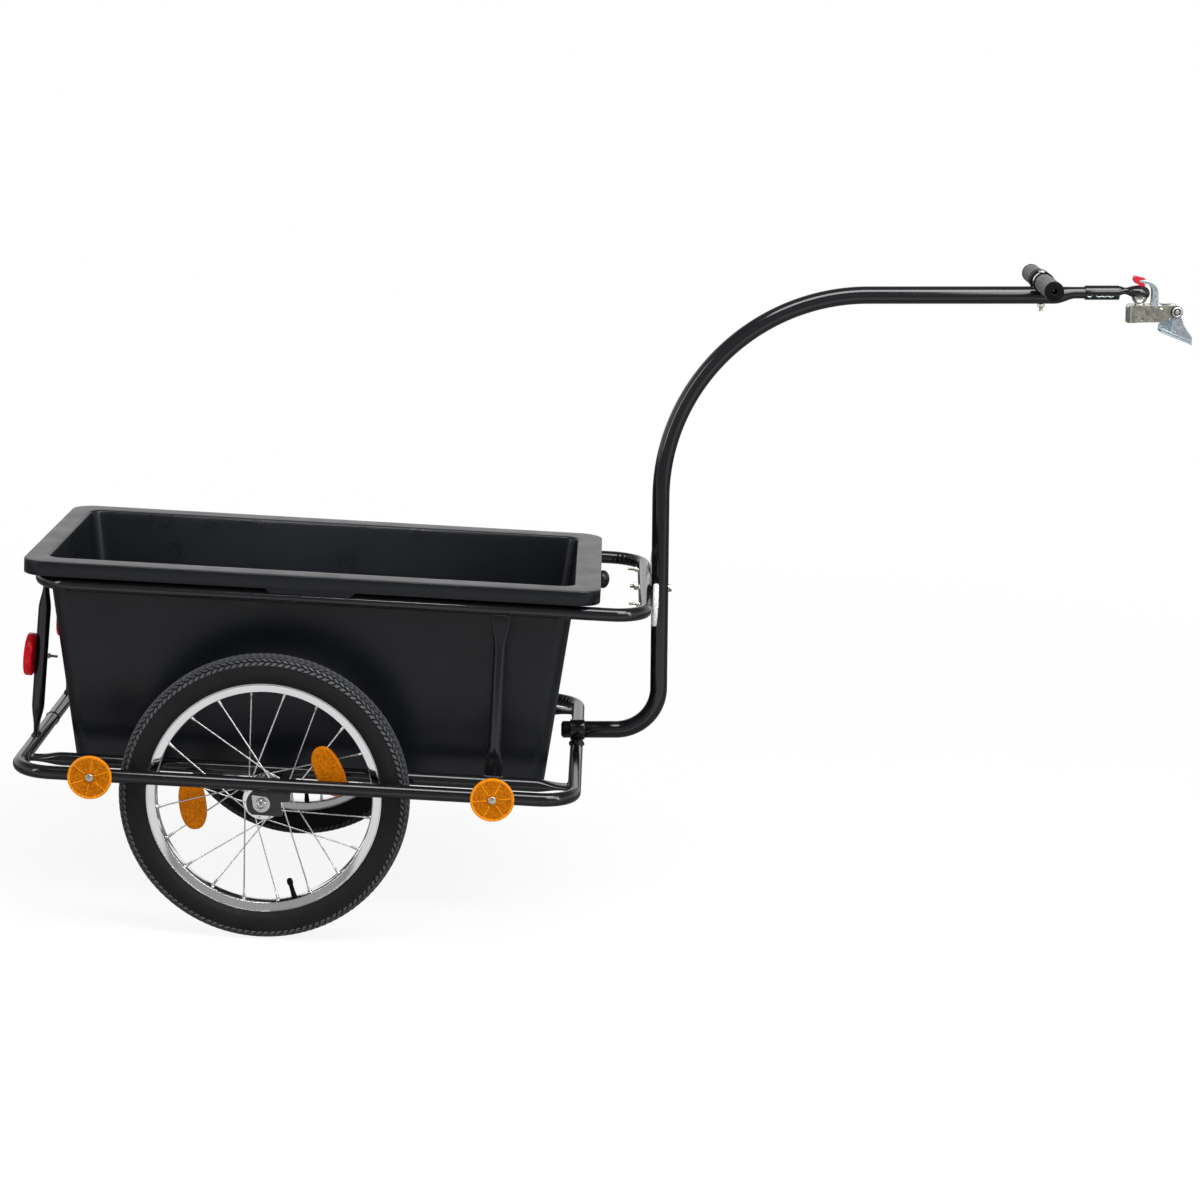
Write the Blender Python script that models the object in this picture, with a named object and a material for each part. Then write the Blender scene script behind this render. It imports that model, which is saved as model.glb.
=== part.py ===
"""Bicycle trailer: a lift-out tub hung in a welded tube frame on two spoked wheels.

A bent drawbar rises from the frame's nose, carries a push handle and ends in a ball
hitch with a hook latch and a clamp jaw.

Metres, +Z up, +X towards the bicycle; the trailer's right side is -Y. All sizes are set
from the axle line: x = 0 and y = 0 at its middle, z = 0 under the tyres. The empty
"trailer" carries every piece and moves the middle of the box to the origin.
"""

from math import atan2, cos, hypot, pi, radians, sin, tan

import bmesh
import bpy
from mathutils import Matrix, Vector

# Gaps
CLEARANCE = 0.0003

# Wheels
WHEEL_RADIUS = 0.2025
WHEEL_Y = 0.2591
WHEEL_SEGMENTS = 32
TYRE_HALF_WIDTH = 0.0225
TYRE_CROWN = 0.0040
TYRE_HEIGHT = 0.0383
RIM_RADIUS = WHEEL_RADIUS - TYRE_HEIGHT
RIM_DEPTH = 0.0142
RIM_HALF_WIDTH = 0.0130
RIM_WALL = 0.0020
VALVE_RADIUS = 0.0040
VALVE_LENGTH = 0.0270
TYRE_INSIDE_SHARE = 0.84
AIR_TUBE_SHARE = 0.7393
AIR_TUBE_SIDES = 5
SPOKE_COUNT = 20
SPOKE_RADIUS = 0.0010
SPOKE_SIDES = 4
SPOKE_CROSS_DEGREES = 72.0
NIPPLE_RADIUS = 0.0021
NIPPLE_LENGTH = 0.0120
NIPPLE_SPREAD = 0.0030
HUB_BODY_RADIUS = 0.0125
HUB_END_RADIUS = 0.0095
HUB_STEP = 0.0040
HUB_SIDES = 14
FLANGE_RADIUS = 0.0280
FLANGE_THICKNESS = 0.0030
FLANGE_SPREAD = 0.0220
HOLE_CIRCLE_RADIUS = 0.0250
VALVE_ANGLES = {"right": -72.0, "left": -85.2}
WHEEL_REFLECTOR_ANGLE = 99.0
WHEEL_REFLECTOR_SHARE = 0.6120
WHEEL_REFLECTOR_LENGTH = 0.0740
WHEEL_REFLECTOR_WIDTH = 0.0380
WHEEL_REFLECTOR_THICKNESS = 0.0090

# Axles and the plates that hold them
AXLE_RADIUS = 0.0050
AXLE_HEX = 0.0140
AXLE_HEAD = 0.0060
AXLE_NUT_HEIGHT = 0.0070
AXLE_TIP = 0.0020
WASHER_THICKNESS = 0.0015
WASHER_RADIUS = 0.0120
PLATE_THICKNESS = 0.0040
PLATE_RADIUS = 0.0210
PLATE_BOTTOM = 0.0175
PLATE_TOE = 0.0304
PLATE_NOTCH = 0.0245
PLATE_FRONT = 0.0392
AXLE_BELOW_RAIL = 0.0271

# Frame tubes
FRAME_TUBE_RADIUS = 0.0095
STRUT_RADIUS = 0.0088
TUBE_SIDES = 10
BEND_STEPS = 5
LOOP_BEND = 0.0500
LOWER_REAR_X = -0.3431
LOWER_FRONT_X = 0.4298
LOWER_HALF_WIDTH = 0.2964
UPPER_REAR_X = -0.3319
UPPER_FRONT_X = 0.5157
UPPER_HALF_WIDTH = 0.2102
LOOP_RISE = 0.2477
REAR_STRUT_Y = 0.1300
FRONT_STRUT_X = 0.3150
SQUASH_FLAT_SHARE = 0.36
SQUASH_WIDE_SHARE = 1.45
SQUASH_LENGTH = 0.0120
SQUASH_TAPER = 0.0380

# Drawbar
DRAWBAR_RADIUS = 0.0125
DRAWBAR_SIDES = 12
ARM_TILT = radians(3.3)
POST_LEAN = radians(2.8)
STUB_LENGTH = 0.0215
POST_RISE = 0.6737
LOWER_BEND = 0.0630
UPPER_BEND = 0.2950
SWAGE_RADIUS = 0.0084
SWAGE_START = 0.1220
SWAGE_LENGTH = 0.0300
COLLAR_RADIUS = 0.0150
COLLAR_LENGTH = 0.0212
COLLAR_LIFT = 0.0035
COLLAR_FOOT_LENGTH_SHARE = 0.8
COLLAR_FOOT_WIDTH_SHARE = 0.6
PLUG_DEPTH = 0.0120
PLUG_HEAD = 0.0025
PLUG_RADIUS = 0.0100
PLUG_HEAD_SHARE = 0.94
PLUG_FACE_SHARE = 0.75
DRAWBAR_BOLT_RADIUS = 0.0030
DRAWBAR_BOLT_HEX = 0.0100
DRAWBAR_BOLT_HEAD = 0.0042
DRAWBAR_NUT_HEIGHT = 0.0055
DRAWBAR_BOLT_TIP = 0.0060

# Push handle
HANDLE_BACK = 0.1405
HANDLE_TWIST = radians(2.5)
HANDLE_BAR_LENGTH = 0.2900
HANDLE_BAR_RADIUS = 0.0095
HANDLE_BAR_WALL = 0.0015
GRIP_RADIUS = 0.0135
GRIP_FLANGE_RADIUS = 0.0155
GRIP_FLANGE = 0.0050
GRIP_LENGTH = 0.1270
GRIP_GAP = 0.0200
GRIP_CAP = 0.0030
GRIP_HOLE_RADIUS = 0.0036
GRIP_END_SHARE = 0.88
HANDLE_BOLT_RADIUS = 0.0030
HANDLE_BOLT_HEX = 0.0100
HANDLE_BOLT_HEAD = 0.0040
HANDLE_BOLT_TIP = 0.0060
DOME_SHARE = 0.7

# Ball hitch; its own axes are tilted with the drawbar's arm, from the ball's centre
BALL_REACH = 0.6802
BALL_DROP = 0.0026
BALL_RADIUS = 0.0110
BALL_SIDES = 14
SOCKET_RADIUS = 0.0142
SOCKET_ROOM = 0.0117
SOCKET_LIP = 0.0030
NECK_RADIUS = 0.0038
NECK_LIFT = 0.0077
SLEEVE_RADIUS = 0.0100
SLEEVE_FRONT = 0.0296
SLEEVE_LENGTH = 0.0487
SLEEVE_LIFT = 0.0059
SHANK_LENGTH = 0.0180
BRACKET_HALF_WIDTH = 0.0180
BRACKET_WALL = 0.0030
BRACKET_TOP = 0.0111
BRACKET_REAR = 0.0213
BRACKET_WEB_FRONT = 0.0150
BRACKET_REAR_DEPTH = 0.0370
BRACKET_DEPTH = 0.0354
BRACKET_STEP_X = 0.0354
BRACKET_CORNER = 0.0050
PIVOT_X = 0.0505
PIVOT_EAR_RADIUS = 0.0087
PIVOT_BOLT_RADIUS = 0.0040
PIVOT_HEAD_RADIUS = 0.0075
PIVOT_HEAD = 0.0060
PIVOT_HEAD_CHAMFER = 0.0006
PIVOT_SOCKET_DEPTH = 0.0030
PIVOT_SOCKET_HEX = 0.0060
PIVOT_NUT_HEX = 0.0130
PIVOT_NUT = 0.0060
STUD_RADIUS = 0.0040
STUD_SHOULDER_RADIUS = 0.0080
STUD_SHOULDER_TOP = 0.0088
STUD_NUT_HEX = 0.0130
STUD_NUT = 0.0050
STUD_TIP = 0.0015
RIVET_X = 0.0280
RIVET_DROP = 0.0170
RIVET_RADIUS = 0.0022
RIVET_HEAD_RADIUS = 0.0038
RIVET_HEAD = 0.0012
HOOK_HALF_WIDTH = 0.0060
HOOK_TIP = -0.0024
HOOK_BASE_RADIUS = 0.0062
HOOK_INSIDE = ((0.0163, -0.0145), (0.0163, -0.0105), (0.0169, 0.0060), (0.0163, 0.0125),
               (0.0140, 0.0168), (0.0100, 0.0187), (0.0050, 0.0193), (HOOK_TIP, 0.0206))
HOOK_OUTSIDE = ((HOOK_TIP, 0.0251), (0.0050, 0.0247), (0.0115, 0.0236), (0.0180, 0.0212),
                (0.0230, 0.0170), (0.0260, 0.0105), (0.0267, 0.0030), (0.0268, -0.0105))
CAP_HALF_WIDTH = 0.0075
CAP_OUTLINE = ((0.0066, 0.0268), (0.0062, 0.0249), (HOOK_TIP - CLEARANCE, 0.0254),
               (HOOK_TIP - CLEARANCE, 0.0203), (0.0060, 0.0188), (0.0062, 0.0142),
               (-0.0004, 0.0160), (-0.0072, 0.0199), (-0.0100, 0.0245), (-0.0098, 0.0276),
               (-0.0080, 0.0303))
JAW_HALF_WIDTH = 0.0142
JAW_WALL = 0.0028
JAW_BOSS_STEP = 0.0012
JAW_TOE = (0.0213, -0.0460)
JAW_HEEL = (-0.0207, -0.0292)
JAW_NOSE = ((0.0138, -0.0226), (0.0245, -0.0372))
JAW_BACK = ((-0.0199, -0.0204), (-0.0152, -0.0161), (-0.0138, -0.0090))
JAW_FLOOR_SHARE = 1.1
JAW_RIDGE_Y = 0.00852
JAW_RIDGE_HALF_WIDTH = 0.0015
JAW_RIDGE_ENDS = (0.0012, 0.0013)

# Reflectors on the frame
REFLECTOR_RADIUS = 0.0305
REFLECTOR_SIDES = 14
REFLECTOR_LIP = 0.0030
REFLECTOR_DEPTH = 0.0080
RED_DEPTH = 0.0120
REFLECTOR_SCREW_RADIUS = 0.0020
REFLECTOR_SCREW_HEAD = 0.0055
REFLECTOR_SCREW_DOME = 0.0018
REFLECTOR_NUT_HEX = 0.0070
REFLECTOR_NUT = 0.0032
SIDE_REFLECTOR_XS = {"rear": -0.2357, "front": 0.3178}
WHITE_REFLECTOR_Y = 0.1260
RED_REFLECTOR_RISE = 0.1261
WHITE_SCREW_TAIL = 0.0110
RED_SCREW_TAIL = 0.0110
SIDE_SCREW_TAIL = 0.0050

# Tub
TUB_POST_ROOM = 0.0646
TUB_SIDE_PLAY = 0.0008
TUB_REAR_PLAY = 0.0086
TUB_WALL = 0.0030
TUB_RIM_ABOVE_TUBE = 0.0232
TUB_SKIRT = 0.0205
TUB_FLANGE_REAR = 0.0280
TUB_FLANGE_FRONT = 0.0335
TUB_FLANGE_SIDE = 0.0335
TUB_DEPTH = 0.3070
TUB_LEAN_REAR = radians(8.2)
TUB_LEAN_FRONT = radians(6.1)
TUB_LEAN_SIDE = radians(5.5)
TUB_RIM_CORNER = 0.0340
TUB_WALL_CORNER = 0.0200
TUB_FLOOR_BEND = 0.0120
TUB_CORNER_STEPS = 4
TUB_CORNER_FADE = 0.4
RIM_PAD_COUNT = 4
RIM_PAD_THICKNESS = 0.0030
RIM_PAD_SPAN = 0.5600
TAB_LENGTH = 0.1240
TAB_DEPTH = 0.0065
KNOB_RADIUS = 0.0132
KNOB_HEAD = 0.0126
KNOB_DOME = 0.0090
KNOB_SHANK_RADIUS = 0.0040

# Places worked out from the sizes above
AXLE_Z = WHEEL_RADIUS
LOWER_Z = AXLE_Z + AXLE_BELOW_RAIL
UPPER_Z = LOWER_Z + LOOP_RISE
RAIL_Y = 2 * WHEEL_Y - LOWER_HALF_WIDTH
HUB_HALF_LENGTH = LOWER_HALF_WIDTH - WHEEL_Y - PLATE_THICKNESS / 2 - CLEARANCE
TUB_TOP = UPPER_Z + FRAME_TUBE_RADIUS + TUB_RIM_ABOVE_TUBE
TUB_REAR = UPPER_REAR_X - FRAME_TUBE_RADIUS - TUB_WALL - TUB_REAR_PLAY
TUB_FRONT = UPPER_FRONT_X - TUB_POST_ROOM
TUB_HALF_WIDTH = UPPER_HALF_WIDTH + FRAME_TUBE_RADIUS + TUB_SIDE_PLAY + TUB_WALL
SIDES = {"right": -1, "left": 1}


def clear_scene():
    """Remove every object of the open file."""
    for item in list(bpy.data.objects):
        bpy.data.objects.remove(item, do_unlink=True)


def material(name, colour, roughness, metallic=0.0):
    """A plain Principled finish."""
    made = bpy.data.materials.new(name)
    made.use_nodes = True
    shader = made.node_tree.nodes["Principled BSDF"]
    shader.inputs["Base Color"].default_value = (*colour, 1.0)
    shader.inputs["Roughness"].default_value = roughness
    shader.inputs["Metallic"].default_value = metallic
    return made


def empty(name, location, parent=None, tilt=0.0):
    """An empty that carries pieces; tilt raises its +X end."""
    made = bpy.data.objects.new(name, None)
    made.location = location
    made.rotation_euler = (0.0, -tilt, 0.0)
    made.parent = parent
    bpy.context.scene.collection.objects.link(made)
    return made


def add(name, bm, finish, parent, place=None, smooth=32.0):
    """Turn a bmesh into a shaded object under its parent."""
    bmesh.ops.recalc_face_normals(bm, faces=bm.faces)
    if place is not None:
        bmesh.ops.transform(bm, matrix=place, verts=bm.verts)
    mesh = bpy.data.meshes.new(name)
    bm.to_mesh(mesh)
    bm.free()
    mesh.shade_smooth()
    mesh.set_sharp_from_angle(angle=radians(smooth))
    if finish is not None:
        mesh.materials.append(finish)
    made = bpy.data.objects.new(name, mesh)
    made.parent = parent
    bpy.context.scene.collection.objects.link(made)
    return made


def helper(name, bm, parent, place=None):
    """A cutter or an added body, kept out of the model."""
    made = add(name, bm, None, parent, place)
    made.hide_render = True
    made.display_type = "WIRE"
    return made


def boolean(target, tool, operation):
    """Keep a live Boolean with another object."""
    modifier = target.modifiers.new(operation.lower(), "BOOLEAN")
    modifier.operation = operation
    modifier.solver = "EXACT"
    modifier.object = tool


def cut(target, *tools):
    """Take the tools' volumes away from the target."""
    for tool in tools:
        boolean(target, tool, "DIFFERENCE")


def weld(target, *tools):
    """Add the tools' volumes to the target."""
    for tool in tools:
        boolean(target, tool, "UNION")


def loft(bm, rings, cyclic=False):
    """Skin a row of rings that have the same number of corners; cap the two ends."""
    made = [[bm.verts.new(point) for point in ring] for ring in rings]
    pairs = list(zip(made, made[1:] + made[:1])) if cyclic else list(zip(made, made[1:]))
    for first, second in pairs:
        count = len(first)
        for i in range(count):
            j = (i + 1) % count
            bm.faces.new((first[i], first[j], second[j], second[i]))
    if not cyclic:
        bm.faces.new(made[0])
        bm.faces.new(made[-1])
    return bm


def circle(radius, sides, width=1.0, height=1.0, lift=0.0):
    """Corners of a round or squashed section, as (side, normal) offsets."""
    angles = [2 * pi * (i + 0.5) / sides for i in range(sides)]
    return [(radius * width * cos(a), radius * height * sin(a) + lift) for a in angles]


def sweep(points, normal, sections, cyclic=False):
    """Carry sections along a flat path; normal stands square to the path's plane."""
    normal = Vector(normal).normalized()
    count = len(points)
    rings = []
    for i, point in enumerate(points):
        before = points[(i - 1) % count] if cyclic or i else point
        after = points[(i + 1) % count] if cyclic or i < count - 1 else point
        along = (after - before).normalized()
        side = along.cross(normal)
        rings.append([point + side * a + normal * b for a, b in sections[i]])
    return loft(bmesh.new(), rings, cyclic)


def turned(profile, sides, closed=False):
    """Turn (radius, height) points round +Z; a closed profile makes a ring."""
    bm = bmesh.new()
    rows = []
    for radius, height in profile:
        if radius < 1e-7:
            rows.append([bm.verts.new((0.0, 0.0, height))])
            continue
        angles = [2 * pi * i / sides for i in range(sides)]
        rows.append([bm.verts.new((radius * cos(a), radius * sin(a), height)) for a in angles])
    pairs = list(zip(rows, rows[1:] + rows[:1])) if closed else list(zip(rows, rows[1:]))
    for first, second in pairs:
        for i in range(sides):
            j = (i + 1) % sides
            corners = [first[i % len(first)], first[j % len(first)],
                       second[j % len(second)], second[i % len(second)]]
            bm.faces.new(list(dict.fromkeys(corners)))
    return bm


def stack(steps):
    """A bolt-like piece along +Z from (height, size, hexagon) steps, twelve corners each."""
    rings = []
    for height, size, hexagon in steps:
        ring = []
        for i in range(12):
            angle = pi * i / 6
            reach = size / 2
            if hexagon and i % 2 == 0:
                reach = size / 2 / cos(pi / 6)
            ring.append((reach * cos(angle), reach * sin(angle), height))
        rings.append(ring)
    return loft(bmesh.new(), rings)


def plate(outline, low, high, holes=()):
    """A sheet cut in the XZ plane, from y = low to y = high, with round holes."""
    bm = bmesh.new()
    loops = [outline]
    for x, z, radius in holes:
        loops.append([(x + radius * cos(2 * pi * i / 10), z + radius * sin(2 * pi * i / 10))
                      for i in range(10)])
    edges = []
    for loop in loops:
        corners = [bm.verts.new((x, low, z)) for x, z in loop]
        edges += [bm.edges.new((corners[i], corners[(i + 1) % len(corners)]))
                  for i in range(len(corners))]
    filled = bmesh.ops.triangle_fill(bm, use_beauty=True, use_dissolve=False, edges=edges)
    faces = [item for item in filled["geom"] if isinstance(item, bmesh.types.BMFace)]
    grown = bmesh.ops.extrude_face_region(bm, geom=faces)
    moved = [item for item in grown["geom"] if isinstance(item, bmesh.types.BMVert)]
    bmesh.ops.translate(bm, verts=moved, vec=(0.0, high - low, 0.0))
    return bm


def arc(centre, radius, start, end, steps):
    """Points round an arc in a plane, angles in degrees."""
    angles = [radians(start + (end - start) * i / steps) for i in range(steps + 1)]
    return [(centre[0] + radius * cos(a), centre[1] + radius * sin(a)) for a in angles]


def rounded_rectangle(x_low, x_high, half_width, corner, steps):
    """Points of a rounded rectangle in the XY plane, centred on y = 0."""
    points = []
    for x, y, start in ((x_high - corner, half_width - corner, 0),
                        (x_low + corner, half_width - corner, 90),
                        (x_low + corner, corner - half_width, 180),
                        (x_high - corner, corner - half_width, 270)):
        points += arc((x, y), corner, start, start + 90, steps)
    return points


def bend(corner, before, after, radius, steps):
    """Points of the arc that rounds a corner between two straight runs."""
    to_start = (before - corner).normalized()
    to_end = (after - corner).normalized()
    half = to_start.angle(to_end) / 2
    centre = corner + (to_start + to_end).normalized() * radius / sin(half)
    start = corner + to_start * radius / tan(half) - centre
    finish = corner + to_end * radius / tan(half) - centre
    return [centre + start.slerp(finish, i / steps).normalized() * start.length
            for i in range(steps + 1)]


def along_y(x, y, z, flip=1):
    """Place a piece made along +Z so that it points along flip * Y."""
    return Matrix.Translation((x, y, z)) @ Matrix.Rotation(-flip * pi / 2, 4, "X")


def along_x(x, y, z, flip=1):
    """Place a piece made along +Z so that it points along flip * X."""
    return Matrix.Translation((x, y, z)) @ Matrix.Rotation(flip * pi / 2, 4, "Y")


def clear_of(radius, sides):
    """Corner radius of a faceted hole whose flats stay clear of a round piece."""
    return (radius + CLEARANCE) / cos(pi / sides)


def rod(radius, low, high, sides=12):
    """A plain cylinder along Z."""
    return loft(bmesh.new(), [[(radius * cos(2 * pi * i / sides), radius * sin(2 * pi * i / sides), z)
                               for i in range(sides)] for z in (low, high)])


def block(x_low, x_high, y_low, y_high, z_low, z_high, bm=None):
    """A box between two corners, in a new bmesh or added to one."""
    bm = bm or bmesh.new()
    rings = [[(x_low, y_low, z), (x_high, y_low, z), (x_high, y_high, z), (x_low, y_high, z)]
             for z in (z_low, z_high)]
    return loft(bm, rings)


def merged(*parts):
    """Put several bmeshes into one, as separate bodies."""
    whole = bmesh.new()
    for part in parts:
        holder = bpy.data.meshes.new("holder")
        bmesh.ops.recalc_face_normals(part, faces=part.faces)
        part.to_mesh(holder)
        part.free()
        whole.from_mesh(holder)
        bpy.data.meshes.remove(holder)
    return whole


# Frame

def loop_tube(x_low, x_high, half_width, z, radius):
    """A rounded-rectangle tube lying flat."""
    flat = rounded_rectangle(x_low, x_high, half_width, LOOP_BEND, BEND_STEPS)
    points = [Vector((x, y, z)) for x, y in flat]
    return sweep(points, (0, 0, 1), [circle(radius, TUBE_SIDES)] * len(points), cyclic=True)


def squashed_tube(start, end, radius, wide):
    """A straight tube whose two ends are pressed flat, wide along the given direction."""
    start, end, wide = Vector(start), Vector(end), Vector(wide)
    along = (end - start).normalized()
    length = (end - start).length
    normal = along.cross(wide).normalized()
    flat = circle(radius, TUBE_SIDES, SQUASH_WIDE_SHARE, SQUASH_FLAT_SHARE)
    half = circle(radius, TUBE_SIDES, (1 + SQUASH_WIDE_SHARE) / 2, (1 + SQUASH_FLAT_SHARE) / 2)
    full = circle(radius, TUBE_SIDES)
    stations = [(0.0, flat), (SQUASH_LENGTH, flat), (SQUASH_LENGTH + SQUASH_TAPER / 2, half),
                (SQUASH_LENGTH + SQUASH_TAPER, full)]
    stations += [(length - place, section) for place, section in reversed(stations)]
    points = [start + along * place for place, section in stations]
    return sweep(points, normal, [section for place, section in stations])


def frame_loops(root, paint):
    """The lower loop round the wheels and the upper loop that the tub hangs in."""
    lower = (LOWER_REAR_X, LOWER_FRONT_X, LOWER_HALF_WIDTH, LOWER_Z)
    upper = (UPPER_REAR_X, UPPER_FRONT_X, UPPER_HALF_WIDTH, UPPER_Z)
    room = FRAME_TUBE_RADIUS + CLEARANCE
    made = {"lower": add("lower_loop", loop_tube(*lower, FRAME_TUBE_RADIUS), paint, root),
            "upper": add("upper_loop", loop_tube(*upper, FRAME_TUBE_RADIUS), paint, root),
            "lower_room": helper("room_lower_loop", loop_tube(*lower, room), root),
            "upper_room": helper("room_upper_loop", loop_tube(*upper, room), root)}
    return made


def inner_rails(root, paint, loops):
    """Rails inboard of the wheels, with squashed ends welded to the lower cross tubes."""
    made = {}
    for side, sign in SIDES.items():
        start = (LOWER_REAR_X, sign * RAIL_Y, LOWER_Z)
        end = (LOWER_FRONT_X, sign * RAIL_Y, LOWER_Z)
        rail = add("inner_rail_" + side, squashed_tube(start, end, FRAME_TUBE_RADIUS, (0, 1, 0)),
                   paint, root)
        cut(rail, loops["lower_room"])
        room = squashed_tube(start, end, FRAME_TUBE_RADIUS + CLEARANCE, (0, 1, 0))
        made[side] = helper("room_inner_rail_" + side, room, root)
    return made


def struts(root, paint, loops, rail_rooms):
    """Two upright struts at the back and two at the front."""
    made = {}
    for side, sign in SIDES.items():
        rear = squashed_tube((UPPER_REAR_X, sign * REAR_STRUT_Y, UPPER_Z),
                             (LOWER_REAR_X, sign * REAR_STRUT_Y, LOWER_Z), STRUT_RADIUS, (0, 1, 0))
        made["rear_" + side] = add("rear_strut_" + side, rear, paint, root)
        cut(made["rear_" + side], loops["upper_room"], loops["lower_room"])
        front = squashed_tube((FRONT_STRUT_X, sign * UPPER_HALF_WIDTH, UPPER_Z),
                              (FRONT_STRUT_X, sign * RAIL_Y, LOWER_Z), STRUT_RADIUS, (1, 0, 0))
        made["front_" + side] = add("front_strut_" + side, front, paint, root)
        cut(made["front_" + side], loops["upper_room"], rail_rooms[side])
    return made


def axle_plate_outline():
    """Outline of an axle plate about its axle: round at the back, a notch at the front."""
    back = arc((0.0, 0.0), PLATE_RADIUS, 232, 128, 8)
    return back + [(-PLATE_RADIUS * 0.6, AXLE_BELOW_RAIL), (PLATE_FRONT, AXLE_BELOW_RAIL),
                   (PLATE_FRONT, AXLE_RADIUS), (PLATE_NOTCH, AXLE_RADIUS / 2),
                   (PLATE_TOE, -PLATE_BOTTOM)]


def washer_outline():
    """Teardrop of a tab washer, its tab up and back."""
    return arc((0.0, 0.0), WASHER_RADIUS, 200, 420, 12) + [(-WASHER_RADIUS * 1.15, WASHER_RADIUS)]


def axle_plates(root, paint, zinc, loops, rail_rooms):
    """Plates under the rails, with the axle bolt, its nut and its tab washer."""
    hole = AXLE_RADIUS + CLEARANCE
    half = PLATE_THICKNESS / 2
    for side, sign in SIDES.items():
        for rank, y, room in (("outer", LOWER_HALF_WIDTH, loops["lower_room"]),
                              ("inner", RAIL_Y, rail_rooms[side])):
            bm = plate(axle_plate_outline(), sign * y - half, sign * y + half, [(0, 0, hole)])
            place = Matrix.Translation((0, 0, AXLE_Z))
            cut(add("axle_plate_%s_%s" % (rank, side), bm, paint, root, place), room)
        outer = LOWER_HALF_WIDTH + half + CLEARANCE
        inner = RAIL_Y - half - CLEARANCE
        seat = outer + WASHER_THICKNESS + CLEARANCE
        tip = seat + AXLE_NUT_HEIGHT + AXLE_TIP
        bolt = stack([(inner - AXLE_HEAD, AXLE_HEX, True), (inner, AXLE_HEX, True),
                      (inner, 2 * AXLE_RADIUS, False), (tip, 2 * AXLE_RADIUS, False)])
        add("axle_bolt_" + side, bolt, zinc, root, along_y(0, 0, AXLE_Z, sign))
        low, high = sorted((sign * outer, sign * (outer + WASHER_THICKNESS)))
        washer = plate(washer_outline(), low, high, [(0, 0, hole)])
        add("tab_washer_" + side, washer, zinc, root, Matrix.Translation((0, 0, AXLE_Z)))
        nut = stack([(seat, AXLE_HEX, True), (seat + AXLE_NUT_HEIGHT, AXLE_HEX, True)])
        made = add("axle_nut_" + side, nut, zinc, root, along_y(0, 0, AXLE_Z, sign))
        cut(made, helper("room_axle_" + side, rod(hole, seat - 0.01, tip + 0.01),
                         root, along_y(0, 0, AXLE_Z, sign)))


# Drawbar and handle

def drawbar_corners():
    """The corner points of the drawbar's centreline before it is bent, and its ball."""
    stub_slope, lean = tan(ARM_TILT), tan(POST_LEAN)
    collar_x = LOWER_FRONT_X
    collar_z = LOWER_Z + FRAME_TUBE_RADIUS + COLLAR_LIFT + COLLAR_RADIUS
    post_x = UPPER_FRONT_X + FRAME_TUBE_RADIUS + (DRAWBAR_RADIUS + CLEARANCE) / cos(POST_LEAN)
    foot_x = post_x
    for _ in range(4):
        foot_z = collar_z + (foot_x - collar_x) * stub_slope
        foot_x = post_x + (UPPER_Z - foot_z) * lean
    head_z = LOWER_Z + POST_RISE
    foot = Vector((foot_x, 0, foot_z))
    head = Vector((post_x - (head_z - UPPER_Z) * lean, 0, head_z))
    arm = Vector((cos(ARM_TILT), 0, sin(ARM_TILT)))
    up = Vector((-sin(ARM_TILT), 0, cos(ARM_TILT)))
    collar = Vector((collar_x, 0, collar_z))
    ball = head + arm * BALL_REACH - up * BALL_DROP
    return {"collar": collar, "foot": foot, "head": head, "ball": ball, "arm": arm, "up": up,
            "stub": collar - arm * STUB_LENGTH}


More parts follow.
